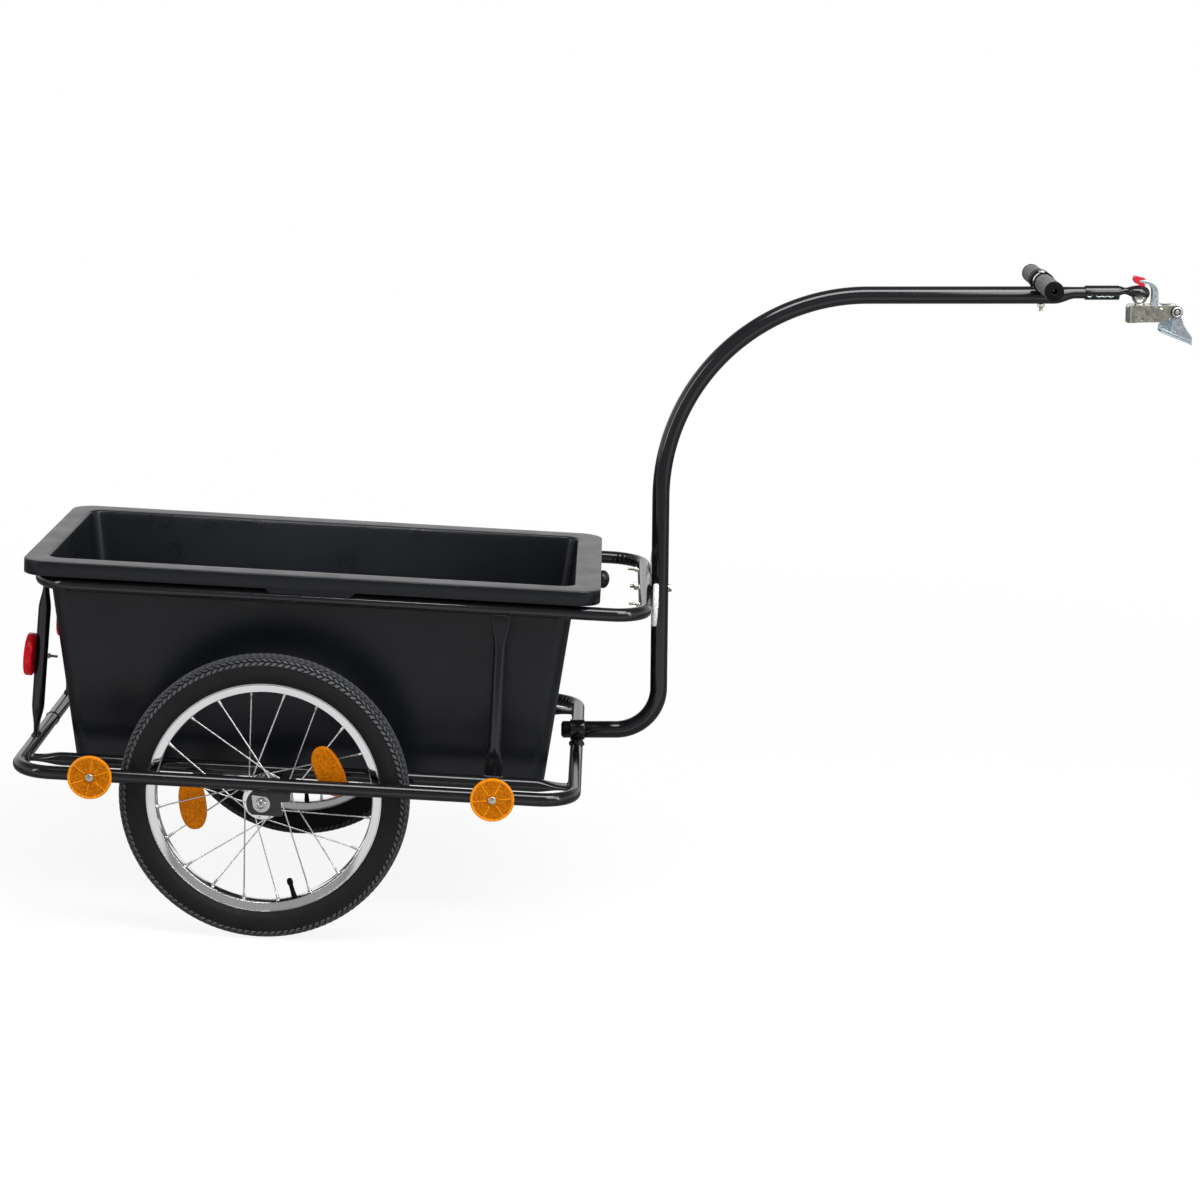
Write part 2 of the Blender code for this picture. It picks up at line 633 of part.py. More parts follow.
def drawbar(root, paint, rubber, zinc, loops, line):
    """The bent tube, its collar, its end plug and the bolt through its post."""
    arm, up = line["arm"], line["up"]
    sleeve_end = line["ball"] - arm * (SLEEVE_FRONT + SHANK_LENGTH + CLEARANCE) - line["head"]
    end = line["head"] + arm * sleeve_end.dot(arm)
    taper = line["head"] + arm * (BALL_REACH - SWAGE_START)
    swaged = taper + arm * SWAGE_LENGTH
    points = [line["stub"]]
    points += bend(line["foot"], line["stub"], line["head"], LOWER_BEND, 6)
    points += bend(line["head"], line["foot"], end, UPPER_BEND, 9)
    sections = [circle(DRAWBAR_RADIUS, DRAWBAR_SIDES)] * len(points)
    points += [taper, (taper + swaged) / 2, swaged, end]
    middle = (DRAWBAR_RADIUS + SWAGE_RADIUS) / 2
    sections += [circle(radius, DRAWBAR_SIDES)
                 for radius in (DRAWBAR_RADIUS, middle, SWAGE_RADIUS, SWAGE_RADIUS)]
    lift = SLEEVE_LIFT - BALL_DROP
    points[-3] = points[-3] + up * lift / 2
    points[-2] = points[-2] + up * lift
    points[-1] = points[-1] + up * lift
    tube = add("drawbar_tube", sweep(points, (0, 1, 0), sections), paint, root)

    tilt = Matrix.Translation(line["stub"]) @ Matrix.Rotation(pi / 2 - ARM_TILT, 4, "Y")
    plug_hole = rod(clear_of(PLUG_RADIUS, 12), -PLUG_DEPTH, PLUG_DEPTH + CLEARANCE)
    plug_room = helper("room_drawbar_plug", plug_hole, root, tilt)
    head, face = DRAWBAR_RADIUS * PLUG_HEAD_SHARE, DRAWBAR_RADIUS * PLUG_FACE_SHARE
    plug = turned([(0, -PLUG_HEAD - CLEARANCE), (face, -PLUG_HEAD - CLEARANCE), (head, -CLEARANCE),
                   (PLUG_RADIUS, -CLEARANCE), (PLUG_RADIUS, PLUG_DEPTH), (0, PLUG_DEPTH)], 16)
    add("drawbar_plug", plug, rubber, root, tilt)

    rear = UPPER_FRONT_X - FRAME_TUBE_RADIUS - CLEARANCE
    front = UPPER_FRONT_X + FRAME_TUBE_RADIUS + 2 * DRAWBAR_RADIUS + 3 * CLEARANCE
    back = rear - DRAWBAR_NUT_HEIGHT
    bolt = stack([(back - DRAWBAR_BOLT_TIP, 2 * DRAWBAR_BOLT_RADIUS, False),
                  (front, 2 * DRAWBAR_BOLT_RADIUS, False), (front, DRAWBAR_BOLT_HEX, True),
                  (front + DRAWBAR_BOLT_HEAD, DRAWBAR_BOLT_HEX, True)])
    add("drawbar_bolt", bolt, zinc, root, along_x(0, 0, UPPER_Z))
    bolt_hole = rod(DRAWBAR_BOLT_RADIUS + CLEARANCE, back - 2 * DRAWBAR_BOLT_TIP, front + CLEARANCE)
    bolt_room = helper("room_drawbar_bolt", bolt_hole, root, along_x(0, 0, UPPER_Z))
    nut = stack([(back, DRAWBAR_BOLT_HEX, True), (rear, DRAWBAR_BOLT_HEX, True)])
    cut(add("drawbar_nut", nut, zinc, root, along_x(0, 0, UPPER_Z)), bolt_room)
    cut(loops["upper"], bolt_room)
    cut(tube, bolt_room, plug_room)

    flat = Matrix.Translation(line["collar"]) @ Matrix.Rotation(pi / 2 - ARM_TILT, 4, "Y")
    half = COLLAR_LENGTH / 2
    collar = add("drawbar_collar", rod(COLLAR_RADIUS, -half, half, 16), paint, root, flat)
    reach = half * COLLAR_FOOT_LENGTH_SHARE
    width = COLLAR_RADIUS * COLLAR_FOOT_WIDTH_SHARE
    foot = block(LOWER_FRONT_X - reach, LOWER_FRONT_X + reach, -width, width, LOWER_Z,
                 line["collar"].z)
    weld(collar, helper("collar_weld", foot, root))
    bore = rod(clear_of(DRAWBAR_RADIUS, DRAWBAR_SIDES), -COLLAR_LENGTH, COLLAR_LENGTH, DRAWBAR_SIDES)
    cut(collar, helper("room_drawbar", bore, root, flat), loops["lower_room"])
    return tube


def handle(root, zinc, foam, line, tube):
    """The push handle: a bar across the arm, two grips and one bolt down through it."""
    lift = DRAWBAR_RADIUS + HANDLE_BAR_RADIUS + CLEARANCE
    centre = line["head"] + line["arm"] * (BALL_REACH - HANDLE_BACK) + line["up"] * lift
    turn = Matrix.Rotation(-HANDLE_TWIST, 4, "Z")
    across = Matrix.Translation(centre) @ turn @ Matrix.Rotation(-pi / 2, 4, "X")
    half = HANDLE_BAR_LENGTH / 2
    inside = HANDLE_BAR_RADIUS - HANDLE_BAR_WALL
    ring = turned([(inside, -half), (HANDLE_BAR_RADIUS, -half), (HANDLE_BAR_RADIUS, half),
                   (inside, half)], 16, closed=True)
    bar = add("handle_bar", ring, zinc, root, across)

    upright = Matrix.Translation(centre) @ Matrix.Rotation(-ARM_TILT, 4, "Y")
    top = HANDLE_BAR_RADIUS + CLEARANCE
    under = -HANDLE_BAR_RADIUS - 2 * DRAWBAR_RADIUS - 2 * CLEARANCE
    shank = 2 * HANDLE_BOLT_RADIUS
    bolt = stack([(under - HANDLE_BOLT_HEAD - HANDLE_BOLT_TIP, shank, False),
                  (under - HANDLE_BOLT_HEAD, shank, False),
                  (under - HANDLE_BOLT_HEAD, HANDLE_BOLT_HEX, True),
                  (under, HANDLE_BOLT_HEX, True), (under, shank, False), (top, shank, False),
                  (top, HANDLE_BOLT_HEX, False),
                  (top + HANDLE_BOLT_HEAD, HANDLE_BOLT_HEX * DOME_SHARE, False)])
    add("handle_bolt", bolt, zinc, root, upright)
    hole = rod(HANDLE_BOLT_RADIUS + CLEARANCE, under - CLEARANCE, top + CLEARANCE)
    room = helper("room_handle_bolt", hole, root, upright)
    cut(bar, room)
    cut(tube, room)

    bore = HANDLE_BAR_RADIUS + CLEARANCE
    for side, sign in SIDES.items():
        inner, outer = GRIP_GAP, GRIP_GAP + GRIP_LENGTH
        cap = half + CLEARANCE
        profile = [(bore, inner), (GRIP_FLANGE_RADIUS, inner),
                   (GRIP_FLANGE_RADIUS, inner + GRIP_FLANGE), (GRIP_RADIUS, inner + GRIP_FLANGE),
                   (GRIP_RADIUS, outer), (GRIP_RADIUS * GRIP_END_SHARE, outer + GRIP_CAP),
                   (GRIP_HOLE_RADIUS, outer + GRIP_CAP), (GRIP_HOLE_RADIUS, cap), (bore, cap)]
        grip = turned(profile, 14, closed=True)
        reverse = Matrix.Identity(4) if sign > 0 else Matrix.Rotation(pi, 4, "X")
        add("handle_grip_" + side, grip, foam, root, across @ reverse)


# Reflectors on the frame

def add_reflector(name, finish, root, place, depth, through, tail, tube):
    """Bolt a round reflector through a tube; its nut sits behind the tube."""
    screw = REFLECTOR_SCREW_RADIUS
    seat = -through - CLEARANCE
    nut = REFLECTOR_NUT_HEX / 2
    back = seat - REFLECTOR_NUT
    edge = REFLECTOR_LIP / 2
    profile = [(0, back - tail), (screw, back - tail), (screw, back), (nut, back), (nut, seat),
               (screw, seat), (screw, CLEARANCE), (REFLECTOR_RADIUS - REFLECTOR_LIP, CLEARANCE),
               (REFLECTOR_RADIUS, CLEARANCE + REFLECTOR_LIP), (REFLECTOR_RADIUS, depth - edge),
               (REFLECTOR_RADIUS - edge, depth), (REFLECTOR_SCREW_HEAD, depth),
               (REFLECTOR_SCREW_HEAD * 0.6, depth + REFLECTOR_SCREW_DOME),
               (0, depth + REFLECTOR_SCREW_DOME)]
    add(name, turned(profile, REFLECTOR_SIDES), finish, root, place)
    hole = rod(clear_of(screw, 8), seat - REFLECTOR_NUT / 2, REFLECTOR_NUT / 2, 8)
    cut(tube, helper("room_" + name, hole, root, place))


def reflectors(root, finishes, loops, strut):
    """Amber on the sides, red behind, white in front."""
    through = 2 * FRAME_TUBE_RADIUS
    for side, sign in SIDES.items():
        y = sign * (LOWER_HALF_WIDTH + FRAME_TUBE_RADIUS)
        for end, x in SIDE_REFLECTOR_XS.items():
            add_reflector("side_reflector_%s_%s" % (end, side), finishes["amber"], root,
                          along_y(x, y, LOWER_Z, sign), REFLECTOR_DEPTH, through,
                          SIDE_SCREW_TAIL, loops["lower"])
        add_reflector("front_reflector_" + side, finishes["clear"], root,
                      along_x(UPPER_FRONT_X + FRAME_TUBE_RADIUS, sign * WHITE_REFLECTOR_Y, UPPER_Z),
                      REFLECTOR_DEPTH, through, WHITE_SCREW_TAIL, loops["upper"])
        slope = (UPPER_REAR_X - LOWER_REAR_X) / LOOP_RISE
        x = LOWER_REAR_X + slope * RED_REFLECTOR_RISE - STRUT_RADIUS * hypot(1.0, slope)
        place = along_x(x, sign * REAR_STRUT_Y, LOWER_Z + RED_REFLECTOR_RISE, -1)
        place = place @ Matrix.Rotation(atan2(slope, 1.0), 4, "Y")
        add_reflector("rear_reflector_" + side, finishes["red"], root, place, RED_DEPTH,
                      2 * STRUT_RADIUS, RED_SCREW_TAIL, strut["rear_" + side])


# Wheels, made round their own centre with the axle along Y

def ring_about_y(profile):
    """Turn a closed (radius, y) profile round the axle."""
    bm = turned(profile, WHEEL_SEGMENTS, closed=True)
    bmesh.ops.transform(bm, matrix=Matrix.Rotation(-pi / 2, 4, "X"), verts=bm.verts)
    return bm


def tyre_mesh():
    """A tyre: beads inside the rim's edges, round shoulders and an open inside."""
    bead, seat = RIM_RADIUS - 0.0065, RIM_HALF_WIDTH - RIM_WALL - 2 * CLEARANCE
    middle = (RIM_RADIUS + WHEEL_RADIUS) / 2
    rise = WHEEL_RADIUS - RIM_RADIUS
    outside = [(bead, seat), (RIM_RADIUS + 2 * CLEARANCE, seat), (middle, TYRE_HALF_WIDTH),
               (WHEEL_RADIUS - rise * 0.17, TYRE_HALF_WIDTH * 0.76), (WHEEL_RADIUS, 0.0)]
    inside = [(WHEEL_RADIUS - TYRE_CROWN, 0.0), (middle, TYRE_HALF_WIDTH * TYRE_INSIDE_SHARE),
              (bead, seat - 2 * RIM_WALL)]
    outer = outside + [(radius, -y) for radius, y in reversed(outside[:-1])]
    inner = [(radius, -y) for radius, y in reversed(inside[1:])] + inside
    return ring_about_y(outer + inner)


def rim_mesh():
    """A rim of channel section, flat-sided, open towards the tyre."""
    floor = RIM_RADIUS - RIM_DEPTH
    outside = [(floor, RIM_HALF_WIDTH * 0.6), (floor + RIM_WALL * 1.6, RIM_HALF_WIDTH),
               (RIM_RADIUS, RIM_HALF_WIDTH), (RIM_RADIUS, RIM_HALF_WIDTH - RIM_WALL),
               (floor + RIM_WALL * 2, RIM_HALF_WIDTH - RIM_WALL)]
    far = [(radius, -y) for radius, y in reversed(outside)]
    return ring_about_y(outside + far)


def polar(radius, degrees, y):
    """A point in the wheel's plane: angle from +X towards +Z."""
    return Vector((radius * cos(radians(degrees)), y, radius * sin(radians(degrees))))


def spoke_seat():
    """Radius at which the nipples end, just inside the rim's facets."""
    return (RIM_RADIUS - RIM_DEPTH) * cos(pi / WHEEL_SEGMENTS) - CLEARANCE - NIPPLE_RADIUS / 4


def spoke_height(radius, layer):
    """How far a spoke stands from the wheel's middle plane where it crosses a radius."""
    start = Vector((HOLE_CIRCLE_RADIUS * cos(radians(SPOKE_CROSS_DEGREES)),
                    HOLE_CIRCLE_RADIUS * sin(radians(SPOKE_CROSS_DEGREES))))
    run = Vector((spoke_seat(), 0.0)) - start
    half = start.dot(run)
    rest = start.dot(start) - radius * radius
    share = ((half * half - run.dot(run) * rest) ** 0.5 - half) / run.dot(run)
    return (FLANGE_SPREAD + layer) * (1 - share) + NIPPLE_SPREAD * share


def spoke_mesh(index, phase):
    """One spoke and its nipple, from its flange hole to the rim."""
    rim_angle = phase + (index + 0.5) * 360 / SPOKE_COUNT
    flange = -1 if index % 2 == 0 else 1
    leading = index % 4 < 2
    hub_angle = rim_angle + (SPOKE_CROSS_DEGREES if leading else -SPOKE_CROSS_DEGREES)
    layer = FLANGE_THICKNESS / 2 if leading else -FLANGE_THICKNESS / 2
    start = polar(HOLE_CIRCLE_RADIUS, hub_angle, flange * (FLANGE_SPREAD + layer))
    end = polar(spoke_seat(), rim_angle, flange * NIPPLE_SPREAD)
    along = (end - start).normalized()
    neck = end - along * NIPPLE_LENGTH
    thin, thick = circle(SPOKE_RADIUS, SPOKE_SIDES), circle(NIPPLE_RADIUS, SPOKE_SIDES)
    side = along.cross(Vector((0, 1, 0))).normalized()
    points = [start, neck, neck + along * NIPPLE_RADIUS / 2, end]
    sections = [thin, thin, thick, thick]
    rings = [[p + side * a + along.cross(side) * b for a, b in s] for p, s in zip(points, sections)]
    return loft(bmesh.new(), rings)


def hub_mesh():
    """The hub shell: two flanges on a waisted barrel, bored for the axle."""
    bore = AXLE_RADIUS + CLEARANCE
    near, far = FLANGE_SPREAD - FLANGE_THICKNESS / 2, FLANGE_SPREAD + FLANGE_THICKNESS / 2
    half = [(bore, HUB_HALF_LENGTH), (HUB_END_RADIUS, HUB_HALF_LENGTH),
            (HUB_END_RADIUS, far + HUB_STEP), (HUB_BODY_RADIUS + HUB_STEP, far),
            (FLANGE_RADIUS, far), (FLANGE_RADIUS, near), (HUB_BODY_RADIUS, near - HUB_STEP)]
    bm = turned(half + [(radius, -y) for radius, y in reversed(half)], HUB_SIDES, closed=True)
    bmesh.ops.transform(bm, matrix=Matrix.Rotation(-pi / 2, 4, "X"), verts=bm.verts)
    return bm


def inner_tube(side, centre, rubber, valve_degrees):
    """The air tube inside the tyre with its valve stem; returns the stem's hole and its turn."""
    reach = (RIM_RADIUS + WHEEL_RADIUS) / 2
    room = min((WHEEL_RADIUS - RIM_RADIUS) / 2 - TYRE_CROWN, TYRE_HALF_WIDTH * TYRE_INSIDE_SHARE)
    radius = room * AIR_TUBE_SHARE
    angles = [2 * pi * i / AIR_TUBE_SIDES for i in range(AIR_TUBE_SIDES)]
    section = [(reach - radius * cos(a), radius * sin(a)) for a in angles]
    tube = add("inner_tube_" + side, ring_about_y(section), rubber, centre)
    point = Matrix.Rotation(radians(90 - valve_degrees), 4, "Y")
    tip = RIM_RADIUS - RIM_DEPTH - VALVE_LENGTH
    weld(tube, helper("stem_" + side, rod(VALVE_RADIUS, tip, reach, 10), centre, point))
    return rod(clear_of(VALVE_RADIUS, 10), tip, RIM_RADIUS, 10), point


def oval(length, width, steps=16):
    """Points of a long rounded outline: blunt ends and bowed sides."""
    points = []
    for i in range(steps):
        angle = 2 * pi * i / steps
        c, s = cos(angle), sin(angle)
        points.append((width / 2 * abs(c) ** 0.85 * (1 if c > 0 else -1),
                       length / 2 * abs(s) ** 0.85 * (1 if s > 0 else -1)))
    return points


def wheel_reflectors(side, centre, finish, phase):
    """Two amber ovals on the spokes: one outside the outer set, one just inside it."""
    layer = FLANGE_THICKNESS / 2
    edge = WHEEL_REFLECTOR_WIDTH / 2
    radius = RIM_RADIUS * WHEEL_REFLECTOR_SHARE
    outer_face = spoke_height(radius - edge, layer) + SPOKE_RADIUS
    inner_face = spoke_height(radius + edge, -layer) - SPOKE_RADIUS
    spans = {"outer": (outer_face + CLEARANCE, outer_face + WHEEL_REFLECTOR_THICKNESS),
             "inner": (inner_face - WHEEL_REFLECTOR_THICKNESS / 2, inner_face - CLEARANCE)}
    out = SIDES[side]
    for rank, turn in (("outer", WHEEL_REFLECTOR_ANGLE), ("inner", -WHEEL_REFLECTOR_ANGLE)):
        low, high = sorted(out * y for y in spans[rank])
        outline = [(x + radius, z)
                   for x, z in oval(WHEEL_REFLECTOR_LENGTH, WHEEL_REFLECTOR_WIDTH)]
        turned_to = Matrix.Rotation(-radians(phase + turn), 4, "Y")
        lens = plate(outline, low, high)
        add("wheel_reflector_%s_%s" % (rank, side), lens, finish, centre, turned_to)


def wheels(root, finishes):
    """Both wheels: tyre, inner tube, rim, laced hub and two reflectors each."""
    for side, sign in SIDES.items():
        centre = empty("wheel_%s_axis" % side, (0, sign * WHEEL_Y, AXLE_Z), root)
        phase = VALVE_ANGLES[side]
        add("tyre_" + side, tyre_mesh(), finishes["tyre"], centre)
        rim = add("rim_" + side, rim_mesh(), finishes["chrome"], centre)
        room, point = inner_tube(side, centre, finishes["rubber"], phase)
        cut(rim, helper("room_valve_" + side, room, centre, point))
        hub = add("spoked_hub_" + side, hub_mesh(), finishes["chrome"], centre)
        spokes = merged(*[spoke_mesh(i, phase) for i in range(SPOKE_COUNT)])
        weld(hub, helper("spokes_" + side, spokes, centre))
        wheel_reflectors(side, centre, finishes["amber"], phase)


# Tub

def tub_ring(rear, front, side, z, corner):
    """One level of the tub as a rounded rectangle, inset from the rim's ends and sides."""
    low, high = TUB_REAR + rear, TUB_FRONT - front
    flat = rounded_rectangle(low, high, TUB_HALF_WIDTH - side, corner, TUB_CORNER_STEPS)
    return [(x, y, z) for x, y in flat]


def rim_ring(inset, z, corner):
    """A level of the rim and its skirt, inset by the same amount all round."""
    return tub_ring(inset, inset, inset, z, corner)


def wall_ring(depth, outwards, corner):
    """A level of the tub's wall at a depth below the rim, moved outwards."""
    rear, front, side = [flange + TUB_WALL - outwards + depth * tan(lean) for flange, lean in
                         ((TUB_FLANGE_REAR, TUB_LEAN_REAR), (TUB_FLANGE_FRONT, TUB_LEAN_FRONT),
                          (TUB_FLANGE_SIDE, TUB_LEAN_SIDE))]
    return tub_ring(rear, front, side, TUB_TOP - depth, corner)


def tub(root, plastic):
    """The tub: one moulded shell with a turned-down rim, rim pads and two grip tabs."""
    carrier = empty("tub_carrier", (0, 0, 0), root)
    skirt = TUB_TOP - TUB_SKIRT
    bend_in, wall, corner = TUB_FLOOR_BEND, TUB_WALL, TUB_WALL_CORNER
    fade = bend_in * TUB_CORNER_FADE
    floor = TUB_DEPTH - wall
    rings = []
    for i in range(4):
        angle = radians(90 - 30 * i)
        depth = floor - bend_in * (1 - sin(angle))
        inset = -bend_in * (1 - cos(angle))
        rings.append(wall_ring(depth, inset, corner - fade * sin(angle)))
    rings.append(wall_ring(2 * wall, 0.0, corner))
    rings.append(wall_ring(wall / 3, wall, corner + wall))
    rings.append(wall_ring(0.0, 2 * wall, corner + 2 * wall))
    rings.append(rim_ring(wall, TUB_TOP, TUB_RIM_CORNER - wall))
    rings.append(rim_ring(0.0, TUB_TOP - wall, TUB_RIM_CORNER))
    rings.append(rim_ring(0.0, skirt, TUB_RIM_CORNER))
    rings.append(rim_ring(wall, skirt, TUB_RIM_CORNER - wall))
    rings.append(rim_ring(wall, TUB_TOP - 1.3 * wall, TUB_RIM_CORNER - wall))
    rings.append(wall_ring(1.3 * wall, wall, corner + wall))
    for i in range(4):
        angle = radians(30 * i)
        depth = TUB_DEPTH - bend_in * (1 - sin(angle))
        inset = wall - bend_in * (1 - cos(angle))
        rings.append(wall_ring(depth, inset, corner + wall - fade * sin(angle)))
    shell = add("tub", loft(bmesh.new(), rings), plastic, carrier)

    pads = bmesh.new()
    tabs = bmesh.new()
    middle = (TUB_REAR + TUB_FRONT) / 2
    seat = UPPER_Z + FRAME_TUBE_RADIUS + CLEARANCE
    wall_y = TUB_HALF_WIDTH - TUB_FLANGE_SIDE - TUB_WALL / 2
    for sign in SIDES.values():
        low, high = sorted((sign * wall_y, sign * UPPER_HALF_WIDTH))
        for i in range(RIM_PAD_COUNT):
            x = middle - RIM_PAD_SPAN / 2 + RIM_PAD_SPAN * i / (RIM_PAD_COUNT - 1)
            block(x - RIM_PAD_THICKNESS / 2, x + RIM_PAD_THICKNESS / 2, low, high,
                  seat, TUB_TOP - TUB_WALL, pads)
        near, far = sorted((sign * TUB_HALF_WIDTH, sign * (TUB_HALF_WIDTH - TUB_WALL)))
        half, slant = TAB_LENGTH / 2, TAB_DEPTH
        outline = [(middle - half, skirt + wall), (middle - half, skirt),
                   (middle - half + slant, skirt - slant), (middle + half - slant, skirt - slant),
                   (middle + half, skirt), (middle + half, skirt + wall)]
        rings = [[(x, y, z) for x, z in outline] for y in (near, far)]
        loft(tabs, rings)
    weld(shell, helper("rim_pads", pads, carrier), helper("grip_tabs", tabs, carrier))

    drop = TUB_SKIRT + KNOB_SHANK_RADIUS + 2 * CLEARANCE
    wall_x = TUB_FRONT - TUB_FLANGE_FRONT - (drop - KNOB_SHANK_RADIUS) * tan(TUB_LEAN_FRONT)
    back = TUB_FRONT + CLEARANCE
    tip = back + KNOB_HEAD
    shank = KNOB_SHANK_RADIUS
    dome = [(KNOB_RADIUS * cos(radians(angle)), tip - KNOB_DOME * (1 - sin(radians(angle))))
            for angle in (0, 25, 50, 75)]
    knob = turned([(0, wall_x + CLEARANCE), (shank, wall_x + CLEARANCE), (shank, back),
                   (KNOB_RADIUS * 0.9, back)] + dome + [(0, tip)], 12)
    add("tub_knob", knob, plastic, carrier, along_x(0, 0, TUB_TOP - drop))


# Ball hitch, in its own axes

def coupling(root, paint, line):
    """The sleeve on the drawbar's end and the forged head with its ball socket."""
    local = empty("coupling_axes", line["ball"], root, ARM_TILT)
    bore = SWAGE_RADIUS + CLEARANCE
    rear = -SLEEVE_FRONT - SLEEVE_LENGTH
    ring = turned([(bore, rear), (SLEEVE_RADIUS, rear), (SLEEVE_RADIUS, -SLEEVE_FRONT),
                   (bore, -SLEEVE_FRONT)], DRAWBAR_SIDES, closed=True)
    place = along_x(0, 0, SLEEVE_LIFT)
    add("coupling_sleeve", ring, paint, local, place)

    def bulb(radius, lip):
        start = -lip / radius
        angles = [start + (pi / 2 - start) * i / 6 for i in range(6)]
        side = [(radius * cos(a), radius * sin(a)) for a in angles]
        return turned([(0, -lip)] + side + [(0, radius)], BALL_SIDES)

    head = add("coupling_head", bulb(SOCKET_RADIUS, SOCKET_LIP), paint, local)
    shank = -SLEEVE_FRONT - SHANK_LENGTH
    stations = [(shank, SWAGE_RADIUS, SLEEVE_LIFT), (-SLEEVE_FRONT + 0.0005, SWAGE_RADIUS, SLEEVE_LIFT),
                (-SLEEVE_FRONT + 0.0035, SLEEVE_RADIUS * 0.72, NECK_LIFT * 0.85),
                (-0.0205, NECK_RADIUS, NECK_LIFT), (-0.0170, NECK_RADIUS * 1.15, NECK_LIFT * 0.92),
                (-0.0110, SOCKET_RADIUS * 0.52, NECK_LIFT * 0.72),
                (-0.0030, SOCKET_RADIUS * 0.6, NECK_LIFT * 0.6)]
    points = [Vector((x, 0, z)) for x, radius, z in stations]
    sections = [circle(radius, 12) for x, radius, z in stations]
    rings = [[Vector((p.x, a, p.z + b)) for a, b in s] for p, s in zip(points, sections)]
    weld(head, helper("coupling_neck", loft(bmesh.new(), rings), local))
    cut(head, helper("room_ball", sphere(SOCKET_ROOM, BALL_SIDES, 8), local))


def sphere(radius, sides, rows):
    """A ball about the origin."""
    angles = [-pi / 2 + pi * i / rows for i in range(rows + 1)]
    middle = [(radius * cos(a), radius * sin(a)) for a in angles[1:-1]]
    return turned([(0, -radius)] + middle + [(0, radius)], sides)


def bracket_outline():
    """Side view of the hitch bracket about the ball's centre."""
    ear = (PIVOT_X, -BRACKET_TOP - PIVOT_EAR_RADIUS)
    rear_corner = (-BRACKET_REAR + BRACKET_CORNER, -BRACKET_TOP - BRACKET_CORNER)
    return ([(-BRACKET_REAR, -BRACKET_REAR_DEPTH)] + arc(rear_corner, BRACKET_CORNER, 180, 90, 3)
            + arc(ear, PIVOT_EAR_RADIUS, 90, -90, 8)
            + [(BRACKET_STEP_X + 0.0020, ear[1] - PIVOT_EAR_RADIUS - 0.0006),
               (BRACKET_STEP_X - 0.0020, -BRACKET_DEPTH), (0.0, -BRACKET_DEPTH - 0.0003)])


